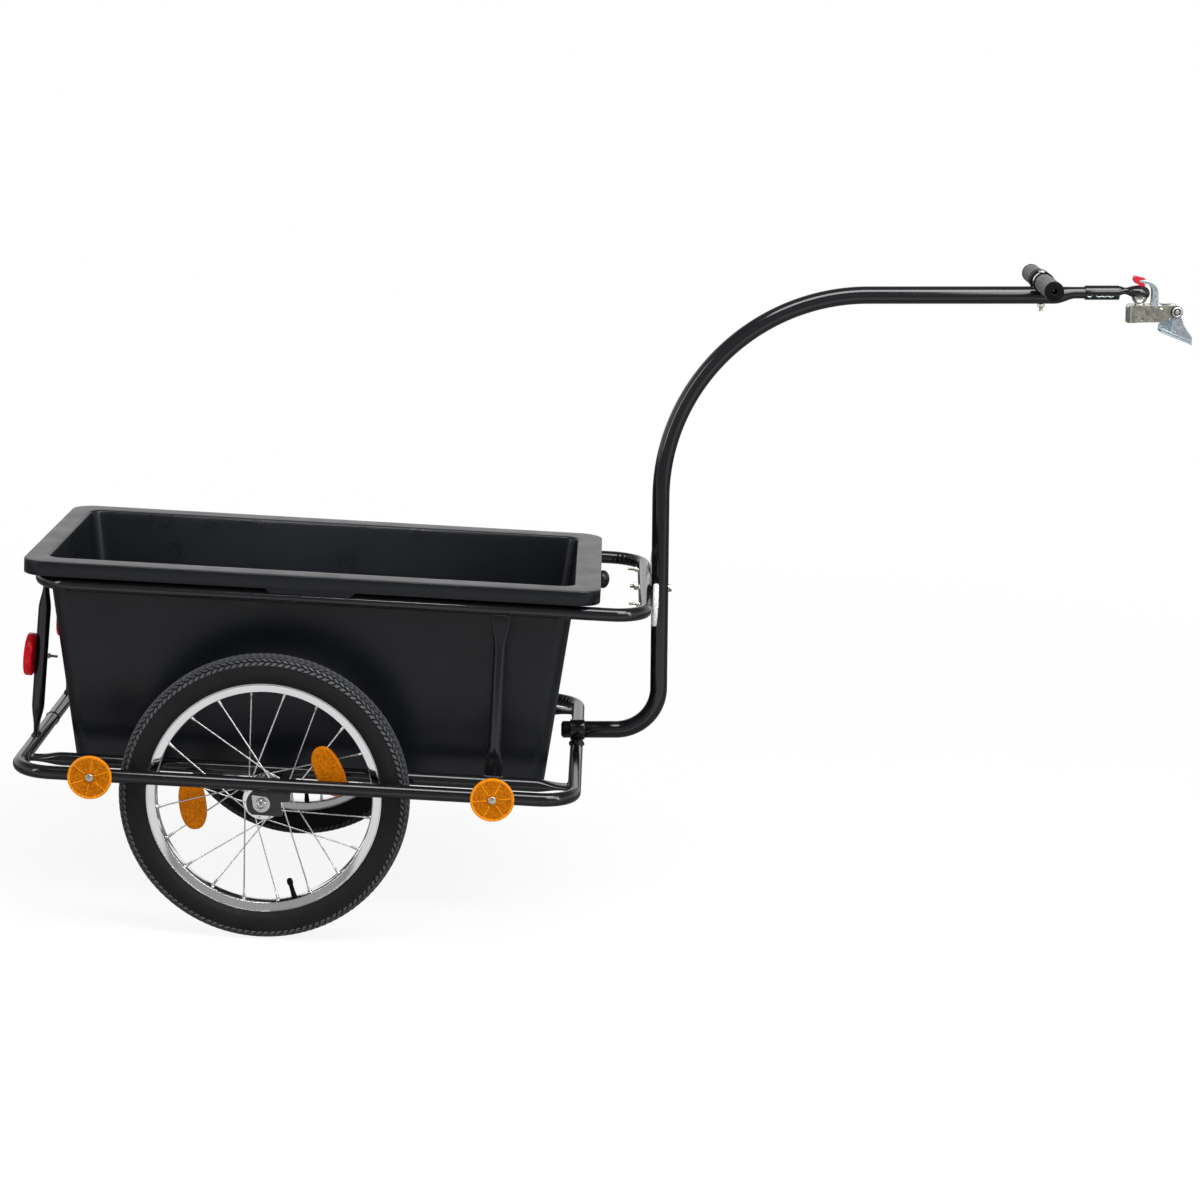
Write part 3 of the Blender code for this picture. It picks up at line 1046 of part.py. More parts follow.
def hitch(root, finishes, line):
    """The ball, and the bracket with its stud, bolt, rivet, hook latch and clamp jaw."""
    ball_axes = empty("hitch_ball_axes", line["ball"], root, ARM_TILT)
    local = empty("hitch_axes", line["ball"], root, ARM_TILT)
    add("hitch_ball", sphere(BALL_RADIUS, BALL_SIDES, 8), finishes["chrome"], ball_axes)
    half, wall, top = BRACKET_HALF_WIDTH, BRACKET_WALL, BRACKET_TOP
    pivot_z = -BRACKET_TOP - PIVOT_EAR_RADIUS

    blank = plate(bracket_outline(), -2 * half, 2 * half)
    bracket = add("hitch_bracket", blank, finishes["zinc"], local)
    beyond = PIVOT_X + 2 * PIVOT_EAR_RADIUS
    flat = rounded_rectangle(-BRACKET_REAR, beyond, half, BRACKET_CORNER, 3)
    sheet = [[(x, y, z) for x, y in flat] for z in (-2 * BRACKET_REAR_DEPTH, 0)]
    boolean(bracket, helper("bracket_plan", loft(bmesh.new(), sheet), local), "INTERSECT")
    inside = [(-BRACKET_REAR + wall, -3 * BRACKET_DEPTH), (-BRACKET_REAR + wall, -top - wall),
              (BRACKET_WEB_FRONT, -top - wall), (BRACKET_WEB_FRONT, top), (2 * beyond, top),
              (2 * beyond, -3 * BRACKET_DEPTH)]
    across = 2 * half
    pivot_hole = rod(clear_of(PIVOT_BOLT_RADIUS, 12), -across, across, 12)
    pivot_room = helper("room_pivot", pivot_hole, local, along_y(PIVOT_X, 0, pivot_z))
    rivet_hole = rod(clear_of(RIVET_RADIUS, 8), -across, across, 8)
    rivet_room = helper("room_rivet", rivet_hole, local, along_y(RIVET_X, 0, -RIVET_DROP))
    cut(bracket, helper("room_channel", plate(inside, -half + wall, half - wall), local),
        helper("room_stud", rod(clear_of(STUD_RADIUS, 12), -top - 2 * wall, 0, 12), local),
        pivot_room, rivet_room)

    seat = BALL_RADIUS + CLEARANCE
    shoulder = -top + CLEARANCE
    under = -top - wall - CLEARANCE
    cup = [(seat * sin(a), -seat * cos(a)) for a in (0.0, 0.32, 0.62)]
    nut_end = under - STUD_NUT
    tip = nut_end - STUD_TIP
    stud = turned(cup + [(STUD_SHOULDER_RADIUS, -STUD_SHOULDER_TOP), (STUD_SHOULDER_RADIUS, shoulder),
                         (STUD_RADIUS, shoulder), (STUD_RADIUS, under), (STUD_NUT_HEX / 2, under),
                         (STUD_NUT_HEX / 2, nut_end), (STUD_RADIUS, nut_end), (STUD_RADIUS, tip),
                         (0, tip)], 12)
    add("ball_stud", stud, finishes["chrome"], local)

    face = half + CLEARANCE
    head, shank = 2 * PIVOT_HEAD_RADIUS, 2 * PIVOT_BOLT_RADIUS
    end = -face - PIVOT_HEAD
    bolt = stack([(end + PIVOT_SOCKET_DEPTH, PIVOT_SOCKET_HEX, True), (end, PIVOT_SOCKET_HEX, True),
                  (end, head - 2 * PIVOT_HEAD_CHAMFER, False), (end + PIVOT_HEAD_CHAMFER, head, False),
                  (-face, head, False), (-face, shank, False), (face, shank, False),
                  (face, PIVOT_NUT_HEX, True), (face + PIVOT_NUT, PIVOT_NUT_HEX, True)])
    add("pivot_bolt", bolt, finishes["chrome"], local, along_y(PIVOT_X, 0, pivot_z))

    dome = RIVET_HEAD_RADIUS * DOME_SHARE
    rivet = turned([(0, -face - RIVET_HEAD), (dome, -face - RIVET_HEAD), (RIVET_HEAD_RADIUS, -face),
                    (RIVET_RADIUS, -face), (RIVET_RADIUS, face), (RIVET_HEAD_RADIUS, face),
                    (dome, face + RIVET_HEAD), (0, face + RIVET_HEAD)], 10)
    add("latch_rivet", rivet, finishes["zinc"], local, along_y(RIVET_X, 0, -RIVET_DROP))
    latch(root, finishes, line, rivet_room)
    jaw(root, finishes, line, pivot_z, pivot_room)


def latch(root, finishes, line, rivet_room):
    """The hook that bends over the socket, and its red cap."""
    centre = line["ball"] + line["arm"] * RIVET_X - line["up"] * RIVET_DROP
    local = empty("latch_axes", centre, root, ARM_TILT)
    to_rivet = Matrix.Translation((-RIVET_X, 0, RIVET_DROP))
    base = arc((RIVET_X, -RIVET_DROP), HOOK_BASE_RADIUS, 75, -165, 8)
    arm = plate([*HOOK_INSIDE, *HOOK_OUTSIDE, *base], -HOOK_HALF_WIDTH, HOOK_HALF_WIDTH)
    cut(add("latch_hook", arm, finishes["steel"], local, to_rivet), rivet_room)
    cap = plate(list(CAP_OUTLINE), -CAP_HALF_WIDTH, CAP_HALF_WIDTH)
    add("latch_cap", cap, finishes["cap"], local, to_rivet)


def jaw(root, finishes, line, pivot_z, pivot_room):
    """The clamp jaw that hangs open from the pivot bolt: two cheeks and a gripping face."""
    centre = line["ball"] + line["arm"] * PIVOT_X + line["up"] * pivot_z
    local = empty("jaw_axes", centre, root, ARM_TILT)
    boss = arc((0, 0), PIVOT_EAR_RADIUS - JAW_BOSS_STEP, 200, -35, 8)
    outline = [*boss, *JAW_NOSE, JAW_TOE, JAW_HEEL, *JAW_BACK]
    shell = add("clamp_jaw", plate(outline, -JAW_HALF_WIDTH, JAW_HALF_WIDTH), finishes["steel"], local)
    slope = (JAW_TOE[1] - JAW_HEEL[1]) / (JAW_TOE[0] - JAW_HEEL[0])
    reach = 2 * JAW_HALF_WIDTH
    low, high = JAW_HEEL[0] - reach, JAW_TOE[0] + reach
    lift = JAW_WALL * JAW_FLOOR_SHARE
    inside = [(low, JAW_HEEL[1] - slope * reach + lift), (high, JAW_TOE[1] + slope * reach + lift),
              (high, reach), (low, reach)]
    width = JAW_HALF_WIDTH - JAW_WALL
    cut(shell, helper("room_jaw", plate(inside, -width, width), local), pivot_room)
    ridges = bmesh.new()
    spread, drop = JAW_RIDGE_HALF_WIDTH, JAW_WALL / 2
    ends = (JAW_HEEL[0] + JAW_RIDGE_ENDS[0], JAW_TOE[0] - JAW_RIDGE_ENDS[1])
    for y in (-JAW_RIDGE_Y, JAW_RIDGE_Y):
        rings = []
        for x in ends:
            z = JAW_HEEL[1] + slope * (x - JAW_HEEL[0])
            rings.append([(x, y - spread, z + drop), (x, y + spread, z + drop),
                          (x, y + spread / 2, z - drop), (x, y - spread / 2, z - drop)])
        loft(ridges, rings)
    weld(shell, helper("jaw_ridges", ridges, local))


def even_shading():
    """Let the large faces lead the smooth shading of every piece."""
    for item in bpy.data.objects:
        if item.type == "MESH" and not item.hide_render:
            modifier = item.modifiers.new("even shading", "WEIGHTED_NORMAL")
            modifier.keep_sharp = True


def centre_box(root):
    """Move the whole trailer along X so that its box is centred on the origin."""
    bpy.context.view_layer.update()
    depsgraph = bpy.context.evaluated_depsgraph_get()
    reach = []
    for item in bpy.data.objects:
        if item.type == "MESH" and not item.hide_render:
            solid = item.evaluated_get(depsgraph)
            reach += [(solid.matrix_world @ Vector(corner)).x for corner in solid.bound_box]
    root.location.x -= (min(reach) + max(reach)) / 2


def main():
    """Build the trailer and centre its box on the origin."""
    clear_scene()
    finishes = {
        "paint": material("frame_paint", (0.018, 0.018, 0.020), 0.35),
        "tub": material("tub_plastic", (0.030, 0.032, 0.036), 0.50),
        "tyre": material("tyre_rubber", (0.025, 0.025, 0.026), 0.75),
        "rubber": material("black_rubber", (0.020, 0.020, 0.021), 0.65),
        "foam": material("grip_foam", (0.130, 0.130, 0.130), 0.90),
        "chrome": material("chrome", (0.720, 0.720, 0.730), 0.15, 1.0),
        "zinc": material("yellow_zinc", (0.520, 0.490, 0.420), 0.35, 1.0),
        "steel": material("blue_zinc", (0.480, 0.520, 0.560), 0.35, 1.0),
        "amber": material("amber_lens", (0.850, 0.330, 0.010), 0.20),
        "red": material("red_lens", (0.600, 0.010, 0.020), 0.20),
        "clear": material("clear_lens", (0.800, 0.810, 0.820), 0.15),
        "cap": material("red_cap", (0.750, 0.020, 0.030), 0.30),
    }
    line = drawbar_corners()
    root = empty("trailer", (0, 0, 0))
    loops = frame_loops(root, finishes["paint"])
    rail_rooms = inner_rails(root, finishes["paint"], loops)
    strut = struts(root, finishes["paint"], loops, rail_rooms)
    axle_plates(root, finishes["paint"], finishes["zinc"], loops, rail_rooms)
    tube = drawbar(root, finishes["paint"], finishes["rubber"], finishes["zinc"], loops, line)
    handle(root, finishes["zinc"], finishes["foam"], line, tube)
    reflectors(root, finishes, loops, strut)
    wheels(root, finishes)
    tub(root, finishes["tub"])
    coupling(root, finishes["paint"], line)
    hitch(root, finishes, line)
    even_shading()
    centre_box(root)


main()
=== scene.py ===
"""Looks of the bicycle trailer: its fine meshes, its finishes, the studio and the camera.

Metres, +Z up, +X towards the bicycle; the trailer's right side is -Y. Sizes are real ones.
Places are counted from the axle line: x = 0 and y = 0 at its middle, z = 0 under the tyres.
"""

import logging
from dataclasses import dataclass, field
from enum import Enum
from math import atan2, cos, hypot, pi, radians, sin, tan
from typing import Iterable, Sequence

import bmesh
import bpy
from bmesh.types import BMesh, BMFace, BMVert
from bpy.types import Material, Mesh, Node, NodeSocket, NodeTree
from mathutils import Matrix, Vector


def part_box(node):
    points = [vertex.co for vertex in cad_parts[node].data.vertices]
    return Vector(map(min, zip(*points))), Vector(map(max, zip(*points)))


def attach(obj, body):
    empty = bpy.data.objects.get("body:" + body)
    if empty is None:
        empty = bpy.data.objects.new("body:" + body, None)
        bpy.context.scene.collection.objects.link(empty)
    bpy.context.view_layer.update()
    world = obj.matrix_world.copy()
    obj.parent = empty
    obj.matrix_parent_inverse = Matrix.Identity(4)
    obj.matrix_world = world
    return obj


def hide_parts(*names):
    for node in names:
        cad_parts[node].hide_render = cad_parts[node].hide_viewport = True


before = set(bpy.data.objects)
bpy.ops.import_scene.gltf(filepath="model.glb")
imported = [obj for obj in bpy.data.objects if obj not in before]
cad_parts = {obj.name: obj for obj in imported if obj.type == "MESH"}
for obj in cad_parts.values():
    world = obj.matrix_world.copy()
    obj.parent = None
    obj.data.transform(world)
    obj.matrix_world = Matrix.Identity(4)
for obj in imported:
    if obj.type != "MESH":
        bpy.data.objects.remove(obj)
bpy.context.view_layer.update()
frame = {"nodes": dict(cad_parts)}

Outline = Sequence[tuple[float, float]]
Colour = tuple[float, float, float]

LOG = logging.getLogger("trailer")
GAP = 0.0003  # room between pieces that fit over each other
WHITE = (1.0, 1.0, 1.0, 1.0)
AHEAD, ACROSS, UP = Vector((1, 0, 0)), Vector((0, 1, 0)), Vector((0, 0, 1))


class Slot(Enum):
    """The record's material slots."""

    PAINT = "frame_paint"
    TUB = "tub_plastic"
    TYRE = "tyre_rubber"
    RUBBER = "black_rubber"
    FOAM = "grip_foam"
    CHROME = "chrome"
    ZINC = "yellow_zinc"
    STEEL = "blue_zinc"
    AMBER = "amber_lens"
    RED = "red_lens"
    CLEAR = "clear_lens"
    CAP = "red_cap"


class Body(Enum):
    """The bodies that pieces ride on."""

    CHASSIS = "chassis"
    WHEEL_RIGHT = "wheel_right"
    WHEEL_LEFT = "wheel_left"
    TUB = "tub"
    BALL = "ball"
    HITCH = "hitch"
    LATCH = "latch"
    JAW = "jaw"


class Look(Enum):
    """Finishes of single pieces that differ from the plain one of their slot."""

    TREAD = "tyre_rubber_tread"
    WIRE = "chrome_spoke_wire"
    RIB = "reflector_ribs"
    BRIGHT = "bright_plated_steel"


class Side(Enum):
    """The trailer's two sides, with the sign of their Y."""

    RIGHT = -1
    LEFT = 1

    @property
    def label(self) -> str:
        """The side's word in a piece's name."""
        return self.name.lower()

    @property
    def wheel(self) -> Body:
        """The body of this side's wheel."""
        return Body.WHEEL_RIGHT if self is Side.RIGHT else Body.WHEEL_LEFT


# Outlines

def turns(start: float, end: float, steps: int) -> list[float]:
    """Evenly spaced angles from one to another, in radians."""
    return [start + (end - start) * i / steps for i in range(steps + 1)]


def arc(centre: tuple[float, float], radius: float, start: float, end: float,
        steps: int) -> Outline:
    """Points round an arc in a plane, its two angles in degrees."""
    return [(centre[0] + radius * cos(radians(a)), centre[1] + radius * sin(radians(a)))
            for a in turns(start, end, steps)]


def oval(width: float, height: float, sides: int, squareness: float = 1.0) -> Outline:
    """Corners of a round, flat or squarish section.

    Args:
        width: Half of its first size.
        height: Half of its second size.
        sides: Number of corners.
        squareness: 1 for an ellipse, below 1 for fuller corners.

    Returns:
        (side, normal) offsets.
    """
    points = []
    for angle in turns(0.0, 2 * pi, sides)[:-1]:
        c, s = cos(angle), sin(angle)
        points.append((width * abs(c) ** squareness * (1 if c > 0 else -1),
                       height * abs(s) ** squareness * (1 if s > 0 else -1)))
    return points


def circle(radius: float, sides: int) -> Outline:
    """Corners of a circle."""
    return oval(radius, radius, sides)


def rounded(corners: Outline, radius: float, steps: int = 4, closed: bool = True) -> Outline:
    """Round the corners of an outline.

    Args:
        corners: Points of the outline.
        radius: Radius of every corner, less where its sides are short.
        steps: Steps of each arc.
        closed: Whether the outline closes; open ends stay sharp.

    Returns:
        Points of the rounded outline.
    """
    made = []
    for i, corner in enumerate(corners):
        here = Vector((*corner, 0.0))
        before = Vector((*corners[i - 1], 0.0)) - here
        after = Vector((*corners[(i + 1) % len(corners)], 0.0)) - here
        half = before.angle(after) / 2
        if half > radians(86) or not closed and i in (0, len(corners) - 1):
            made.append(tuple(corner))
            continue
        run = min(radius / tan(half), before.length * 0.48, after.length * 0.48)
        start, end = here + before.normalized() * run, here + after.normalized() * run
        for t in [j / steps for j in range(steps + 1)]:
            point = start * (1 - t) ** 2 + here * 2 * t * (1 - t) + end * t ** 2
            made.append((point.x, point.y))
    return made


def rounded_rectangle(x_low: float, x_high: float, half_width: float, corner: float,
                      steps: int) -> Outline:
    """A rounded rectangle in the XY plane, centred on y = 0.

    Args:
        x_low: Its lower x.
        x_high: Its upper x.
        half_width: Half of its size along Y.
        corner: Radius of its corners.
        steps: Steps of each corner.

    Returns:
        Its points, from the middle of the x_high side round by +Y.
    """
    points = []
    for x, y, start in ((x_high - corner, half_width - corner, 0),
                        (x_low + corner, half_width - corner, 90),
                        (x_low + corner, corner - half_width, 180),
                        (x_high - corner, corner - half_width, 270)):
        points += arc((x, y), corner, start, start + 90, steps)
    return points


def bend(corner: Vector, before: Vector, after: Vector, radius: float,
         steps: int) -> list[Vector]:
    """Round the corner between two straight runs.

    Args:
        corner: Where the runs would meet.
        before: A point on the first run.
        after: A point on the second run.
        radius: Radius of the bend.
        steps: Its steps.

    Returns:
        Points of its arc.
    """
    to_start = (before - corner).normalized()
    to_end = (after - corner).normalized()
    half = to_start.angle(to_end) / 2
    centre = corner + (to_start + to_end).normalized() * radius / sin(half)
    start = corner + to_start * radius / tan(half) - centre
    finish = corner + to_end * radius / tan(half) - centre
    return [centre + start.slerp(finish, i / steps).normalized() * radius
            for i in range(steps + 1)]


def reflected(profile: Outline) -> Outline:
    """The same (radius, y) profile on the other side of y = 0, run backwards."""
    return [(radius, -y) for radius, y in reversed(profile)]


def smoothstep(share: float) -> float:
    """An eased share between 0 and 1."""
    share = max(0.0, min(1.0, share))
    return share * share * (3 - 2 * share)


# Meshes

def loft(rings: Sequence[Sequence], cyclic: bool = False) -> BMesh:
    """Skin a row of rings that have the same number of corners.

    Args:
        rings: Rows of corner points.
        cyclic: Whether the last ring meets the first; otherwise both ends are closed.

    Returns:
        The skin.
    """
    bm = bmesh.new()
    made = [[bm.verts.new(point) for point in ring] for ring in rings]
    for first, second in zip(made, made[1:] + made[:cyclic]):
        for i in range(len(first)):
            j = (i + 1) % len(first)
            bm.faces.new((first[i], first[j], second[j], second[i]))
    if not cyclic:
        bm.faces.new(made[0])
        bm.faces.new(made[-1])
    return bm


def carried(points: Sequence[Vector], normal: Vector, sections: Sequence[Outline]) -> BMesh:
    """Carry sections along an open path.

    Args:
        points: Stations of the centreline.
        normal: Direction that stands square to the path at its start.
        sections: One section for each station.

    Returns:
        The closed sweep.
    """
    up = normal.normalized()
    rings = []
    for i, (point, section) in enumerate(zip(points, sections)):
        along = (points[min(i + 1, len(points) - 1)] - points[max(i - 1, 0)]).normalized()
        up = (up - along * up.dot(along)).normalized()
        side = along.cross(up)
        rings.append([point + side * a + up * b for a, b in section])
    return loft(rings)


def turned(profile: Outline, sides: int, closed: bool = False) -> BMesh:
    """Turn (radius, height) points round +Z.

    Args:
        profile: The points; a radius of 0 is a pole.
        sides: Number of sides.
        closed: Whether the profile closes and makes a ring.

    Returns:
        The turned mesh.
    """
    bm = bmesh.new()
    rows = []
    for radius, height in profile:
        corners = circle(radius, sides) if radius > 0.0 else [(0.0, 0.0)]
        rows.append([bm.verts.new((x, y, height)) for x, y in corners])
    for first, second in zip(rows, rows[1:] + rows[:closed]):
        for i in range(sides):
            j = (i + 1) % sides
            corners = [first[i % len(first)], first[j % len(first)],
                       second[j % len(second)], second[i % len(second)]]
            bm.faces.new(list(dict.fromkeys(corners)))
    return bm


def pin(radius: float, low: float, high: float, sides: int = 28) -> BMesh:
    """A plain cylinder along +Z."""
    return turned([(0.0, low), (radius, low), (radius, high), (0.0, high)], sides)


def band(inner: float, outer: float, low: float, high: float, sides: int,
         bevel: float = 0.0, steps: int = 3) -> BMesh:
    """A washer or a sleeve along +Z.

    Args:
        inner: Radius of its hole.
        outer: Its outer radius.
        low: Its lower end.
        high: Its upper end.
        sides: Number of sides.
        bevel: Radius of its rounded edges; 0 leaves them sharp.
        steps: Steps of each edge.

    Returns:
        The closed ring.
    """
    corners = [(inner, low), (outer, low), (outer, high), (inner, high)]
    return turned(rounded(corners, bevel, steps) if bevel else corners, sides, closed=True)


def prism(outline: Outline, low: float, high: float,
          holes: Iterable[tuple[float, float, float]] = ()) -> BMesh:
    """A sheet cut in the XZ plane.

    Args:
        outline: (x, z) points of its edge.
        low: Its lower y.
        high: Its upper y.
        holes: (x, z, radius) of each round hole.

    Returns:
        The closed sheet.
    """
    bm = bmesh.new()
    edges = []
    for loop in [outline] + [[(x + a, z + b) for a, b in circle(radius, 24)]
                             for x, z, radius in holes]:
        corners = [bm.verts.new((x, low, z)) for x, z in loop]
        edges += [bm.edges.new(pair) for pair in zip(corners, corners[1:] + corners[:1])]
    if len(edges) == len(outline):
        faces = [bm.faces.new(list(bm.verts))]
    else:
        filled = bmesh.ops.triangle_fill(bm, use_beauty=True, use_dissolve=False, edges=edges)
        faces = [item for item in filled["geom"] if isinstance(item, BMFace)]
    grown = bmesh.ops.extrude_face_region(bm, geom=faces)
    moved = [item for item in grown["geom"] if isinstance(item, BMVert)]
    bmesh.ops.translate(bm, verts=moved, vec=(0.0, high - low, 0.0))
    return bm


def plain_mesh(bm: BMesh) -> Mesh:
    """Turn a bmesh into a mesh as it is.

    Args:
        bm: The bmesh, which is freed.

    Returns:
        The mesh.
    """
    mesh = bpy.data.meshes.new("made")
    bm.to_mesh(mesh)
    bm.free()
    return mesh


def opened(mesh: Mesh) -> BMesh:
    """Turn a mesh back into a bmesh.

    Args:
        mesh: The mesh.

    Returns:
        The bmesh.
    """
    bm = bmesh.new()
    bm.from_mesh(mesh)
    return bm


def shaded_mesh(bm: BMesh, smooth: float = 35.0) -> Mesh:
    """Turn a bmesh into a shaded mesh that faces outwards.

    Args:
        bm: The bmesh, which is freed.
        smooth: Angle in degrees past which an edge is sharp.

    Returns:
        The mesh.
    """
    bmesh.ops.recalc_face_normals(bm, faces=bm.faces)
    mesh = plain_mesh(bm)
    mesh.shade_smooth()
    mesh.set_sharp_from_angle(angle=radians(smooth))
    return mesh


def joined(*parts: BMesh) -> BMesh:
    """Put several meshes into one.

    Args:
        *parts: The meshes, which are freed.

    Returns:
        One mesh whose parts face outwards.
    """
    whole = bmesh.new()
    for part in parts:
        bmesh.ops.recalc_face_normals(part, faces=part.faces)
        holder = plain_mesh(part)
        whole.from_mesh(holder)
        bpy.data.meshes.remove(holder)
    return whole


def placed(bm: BMesh, place: Matrix) -> BMesh:
    """Move a mesh by a matrix."""
    bmesh.ops.transform(bm, matrix=place, verts=bm.verts)
    return bm


def along_y(x: float, y: float, z: float, flip: int = 1) -> Matrix:
    """Place of a piece made along +Z so that it points along flip * Y."""
    return Matrix.Translation((x, y, z)) @ Matrix.Rotation(-flip * pi / 2, 4, "X")


def along_x(x: float, y: float, z: float, flip: int = 1) -> Matrix:
    """Place of a piece made along +Z so that it points along flip * X."""
    return Matrix.Translation((x, y, z)) @ Matrix.Rotation(flip * pi / 2, 4, "Y")


def drill(x: float, z: float, radius: float, sides: int = 28) -> BMesh:
    """A long pin along Y that cuts a round hole."""
    return placed(pin(radius, -0.05, 0.05, sides), along_y(x, 0.0, z))


# Fasteners, made along +Z

def hexagon(size: float, low: float, high: float, bore: float = 0.0) -> BMesh:
    """A hexagon head or nut with turned corners.

    Args:
        size: Width across its flats.
        low: Height of its lower face.
        high: Height of its upper face.
        bore: Radius of its hole; 0 leaves it whole.

    Returns:
        The closed mesh.
    """
    sides, trim, flat, point = 36, size * 0.035, 0.5, 0.568
    rings = []
    for height, most in ((low, flat), (low + trim, point), (high - trim, point), (high, flat)):
        ring = []
        for angle in turns(0.0, 2 * pi, sides)[:-1]:
            near = (angle + pi / 6) % (pi / 3) - pi / 6
            reach = size * min(flat / cos(near), most)
            ring.append((reach * cos(angle), reach * sin(angle), height))
        rings.append(ring)
    if bore > 0.0:
        rings += [[(x, y, z) for x, y in circle(bore, sides)] for z in (high, low)]
    return loft(rings, cyclic=bore > 0.0)


def thread(radius: float, low: float, high: float, pitch: float = 0.001,
           down: bool = False) -> BMesh:
    """A screw thread with a small chamfer at its free end.

    Args:
        radius: Its outer radius.
        low: Its lower end.
        high: Its upper end.
        pitch: Rise of one turn.
        down: Whether the free end is the lower one.

    Returns:
        The closed mesh.
    """
    if down:
        return placed(thread(radius, -high, -low, pitch), Matrix.Rotation(pi, 4, "X"))
    sides, steps, depth = 16, 4, pitch * 0.45
    count = max(4, int((high - low) / pitch * steps))
    rings = []
    for row in range(count + 1):
        height = low + (high - low) * row / count
        chamfer = (1 - min(1.0, (high - height) / pitch)) * depth
        ring = []
        for i, angle in enumerate(turns(0.0, 2 * pi, sides)[:-1]):
            turn = (row / steps - i / sides) % 1.0
            reach = radius - depth * abs(2 * turn - 1) - chamfer
            ring.append((reach * cos(angle), reach * sin(angle), height))
        rings.append(ring)
    return loft(rings)


def round_head(radius: float, height: float, dome: float, low: float) -> BMesh:
    """A pan head: a short rim under a shallow dome.

    Args:
        radius: Its radius.
        height: Its whole height.
        dome: Height of its dome.
        low: Its seat.

    Returns:
        The closed mesh.
    """
    rim = height - dome
    profile = [(0.0, low), (radius * 0.97, low), (radius, low + rim * 0.3), (radius, low + rim)]
    profile += [(radius * cos(a), low + rim + dome * sin(a)) for a in turns(0.0, pi / 2, 6)[1:-1]]
    return turned(profile + [(0.0, low + height)], 36)


# Node trees

class Graph:
    """A tree of nodes under construction."""

    def __init__(self, tree: NodeTree) -> None:
        """Take up a tree's nodes and links."""
        self.nodes, self.links = tree.nodes, tree.links

    def fill(self, node: Node, inputs: dict[str | int, object]) -> Node:
        """Set a node's inputs.

        Args:
            node: The node.
            inputs: Values or sockets for its inputs, by name or number.

        Returns:
            The same node.
        """
        for key, value in inputs.items():
            if isinstance(value, NodeSocket):
                self.links.new(value, node.inputs[key])
            else:
                node.inputs[key].default_value = value
        return node

    def node(self, kind: str, inputs: dict | None = None, **settings: object) -> Node:
        """Add a node.

        Args:
            kind: The node's type.
            inputs: Values or sockets for its inputs, by name or number.
            **settings: The node's own options.

        Returns:
            The new node.
        """
        made = self.nodes.new(kind)
        for name, value in settings.items():
            setattr(made, name, value)
        return self.fill(made, inputs or {})

    def first(self, kind: str, inputs: dict | None = None, **settings: object) -> NodeSocket:
        """Add a node and take its first output."""
        return self.node(kind, inputs, **settings).outputs[0]

    def math(self, operation: str, one: object, two: object = 0.0) -> NodeSocket:
        """A number worked out from two others."""
        return self.first("ShaderNodeMath", {0: one, 1: two}, operation=operation)


class Tree(Graph):
    """A Geometry Nodes tree with named inputs, which ends in Realize Instances and Set Material."""

    KINDS = {int: "NodeSocketInt", float: "NodeSocketFloat"}

    def __init__(self, name: str, sizes: dict[str, int | float]) -> None:
        """Start the tree.

        Args:
            name: The tree's name.
            sizes: Its named inputs and their defaults.
        """
        self.group = bpy.data.node_groups.new(name, "GeometryNodeTree")
        super().__init__(self.group)
        sockets = self.group.interface
        sockets.new_socket("Geometry", in_out="INPUT", socket_type="NodeSocketGeometry")
        for label, value in sizes.items():
            made = sockets.new_socket(label, in_out="INPUT", socket_type=self.KINDS[type(value)])
            made.default_value = value
        sockets.new_socket("Finish", in_out="INPUT", socket_type="NodeSocketMaterial")
        sockets.new_socket("Geometry", in_out="OUTPUT", socket_type="NodeSocketGeometry")
        self.size = self.node("NodeGroupInput").outputs

    def close(self, geometry: NodeSocket) -> "Tree":
        """End the tree with this geometry.

        Args:
            geometry: What the tree makes.

        Returns:
            The tree.
        """
        real = self.first("GeometryNodeRealizeInstances", {"Geometry": geometry})
        painted = self.first("GeometryNodeSetMaterial",
                             {"Geometry": real, "Material": self.size["Finish"]})
        self.node("NodeGroupOutput", {0: painted})
        return self

    def grow(self, seed: Mesh, finish: Material, sizes: dict[str, int | float]) -> Mesh:
        """Run the tree on a mesh.

        Args:
            seed: Mesh that goes in.
            finish: Material of the result.
            sizes: Values of the named inputs.

        Returns:
            The result as a plain mesh.
        """
        holder = bpy.data.objects.new("seed", seed)
        bpy.context.scene.collection.objects.link(holder)
        modifier = holder.modifiers.new("grow", "NODES")
        modifier.node_group = self.group
        values = {**sizes, "Finish": finish}
        for item in self.group.interface.items_tree:
            if item.in_out == "INPUT" and item.name in values:
                modifier[item.identifier] = values[item.name]
        mesh = evaluated(holder)
        holder.modifiers.remove(modifier)
        bpy.data.objects.remove(holder, do_unlink=True)
        return mesh


def evaluated(made: bpy.types.Object) -> Mesh:
    """The mesh of an object after its modifiers."""
    graph = bpy.context.evaluated_depsgraph_get()
    return bpy.data.meshes.new_from_object(made.evaluated_get(graph), depsgraph=graph)


def ring_tree() -> Tree:
    """Copies of a mesh, turned round the Y axis: tread, spokes and nipples.

    Returns:
        The tree, with the inputs Count and Step.
    """
    tree = Tree("Ring of copies", {"Count": 10, "Step": 0.1})
    points = tree.first("GeometryNodePoints", {"Count": tree.size["Count"]})
    turn = tree.math("MULTIPLY", tree.first("GeometryNodeInputIndex"), tree.size["Step"])
    angles = tree.first("ShaderNodeCombineXYZ", {"Y": turn})
    rotation = tree.first("FunctionNodeEulerToRotation", {0: angles})
    return tree.close(tree.first("GeometryNodeInstanceOnPoints",
                                 {"Points": points, "Instance": tree.size["Geometry"],
                                  "Rotation": rotation}))


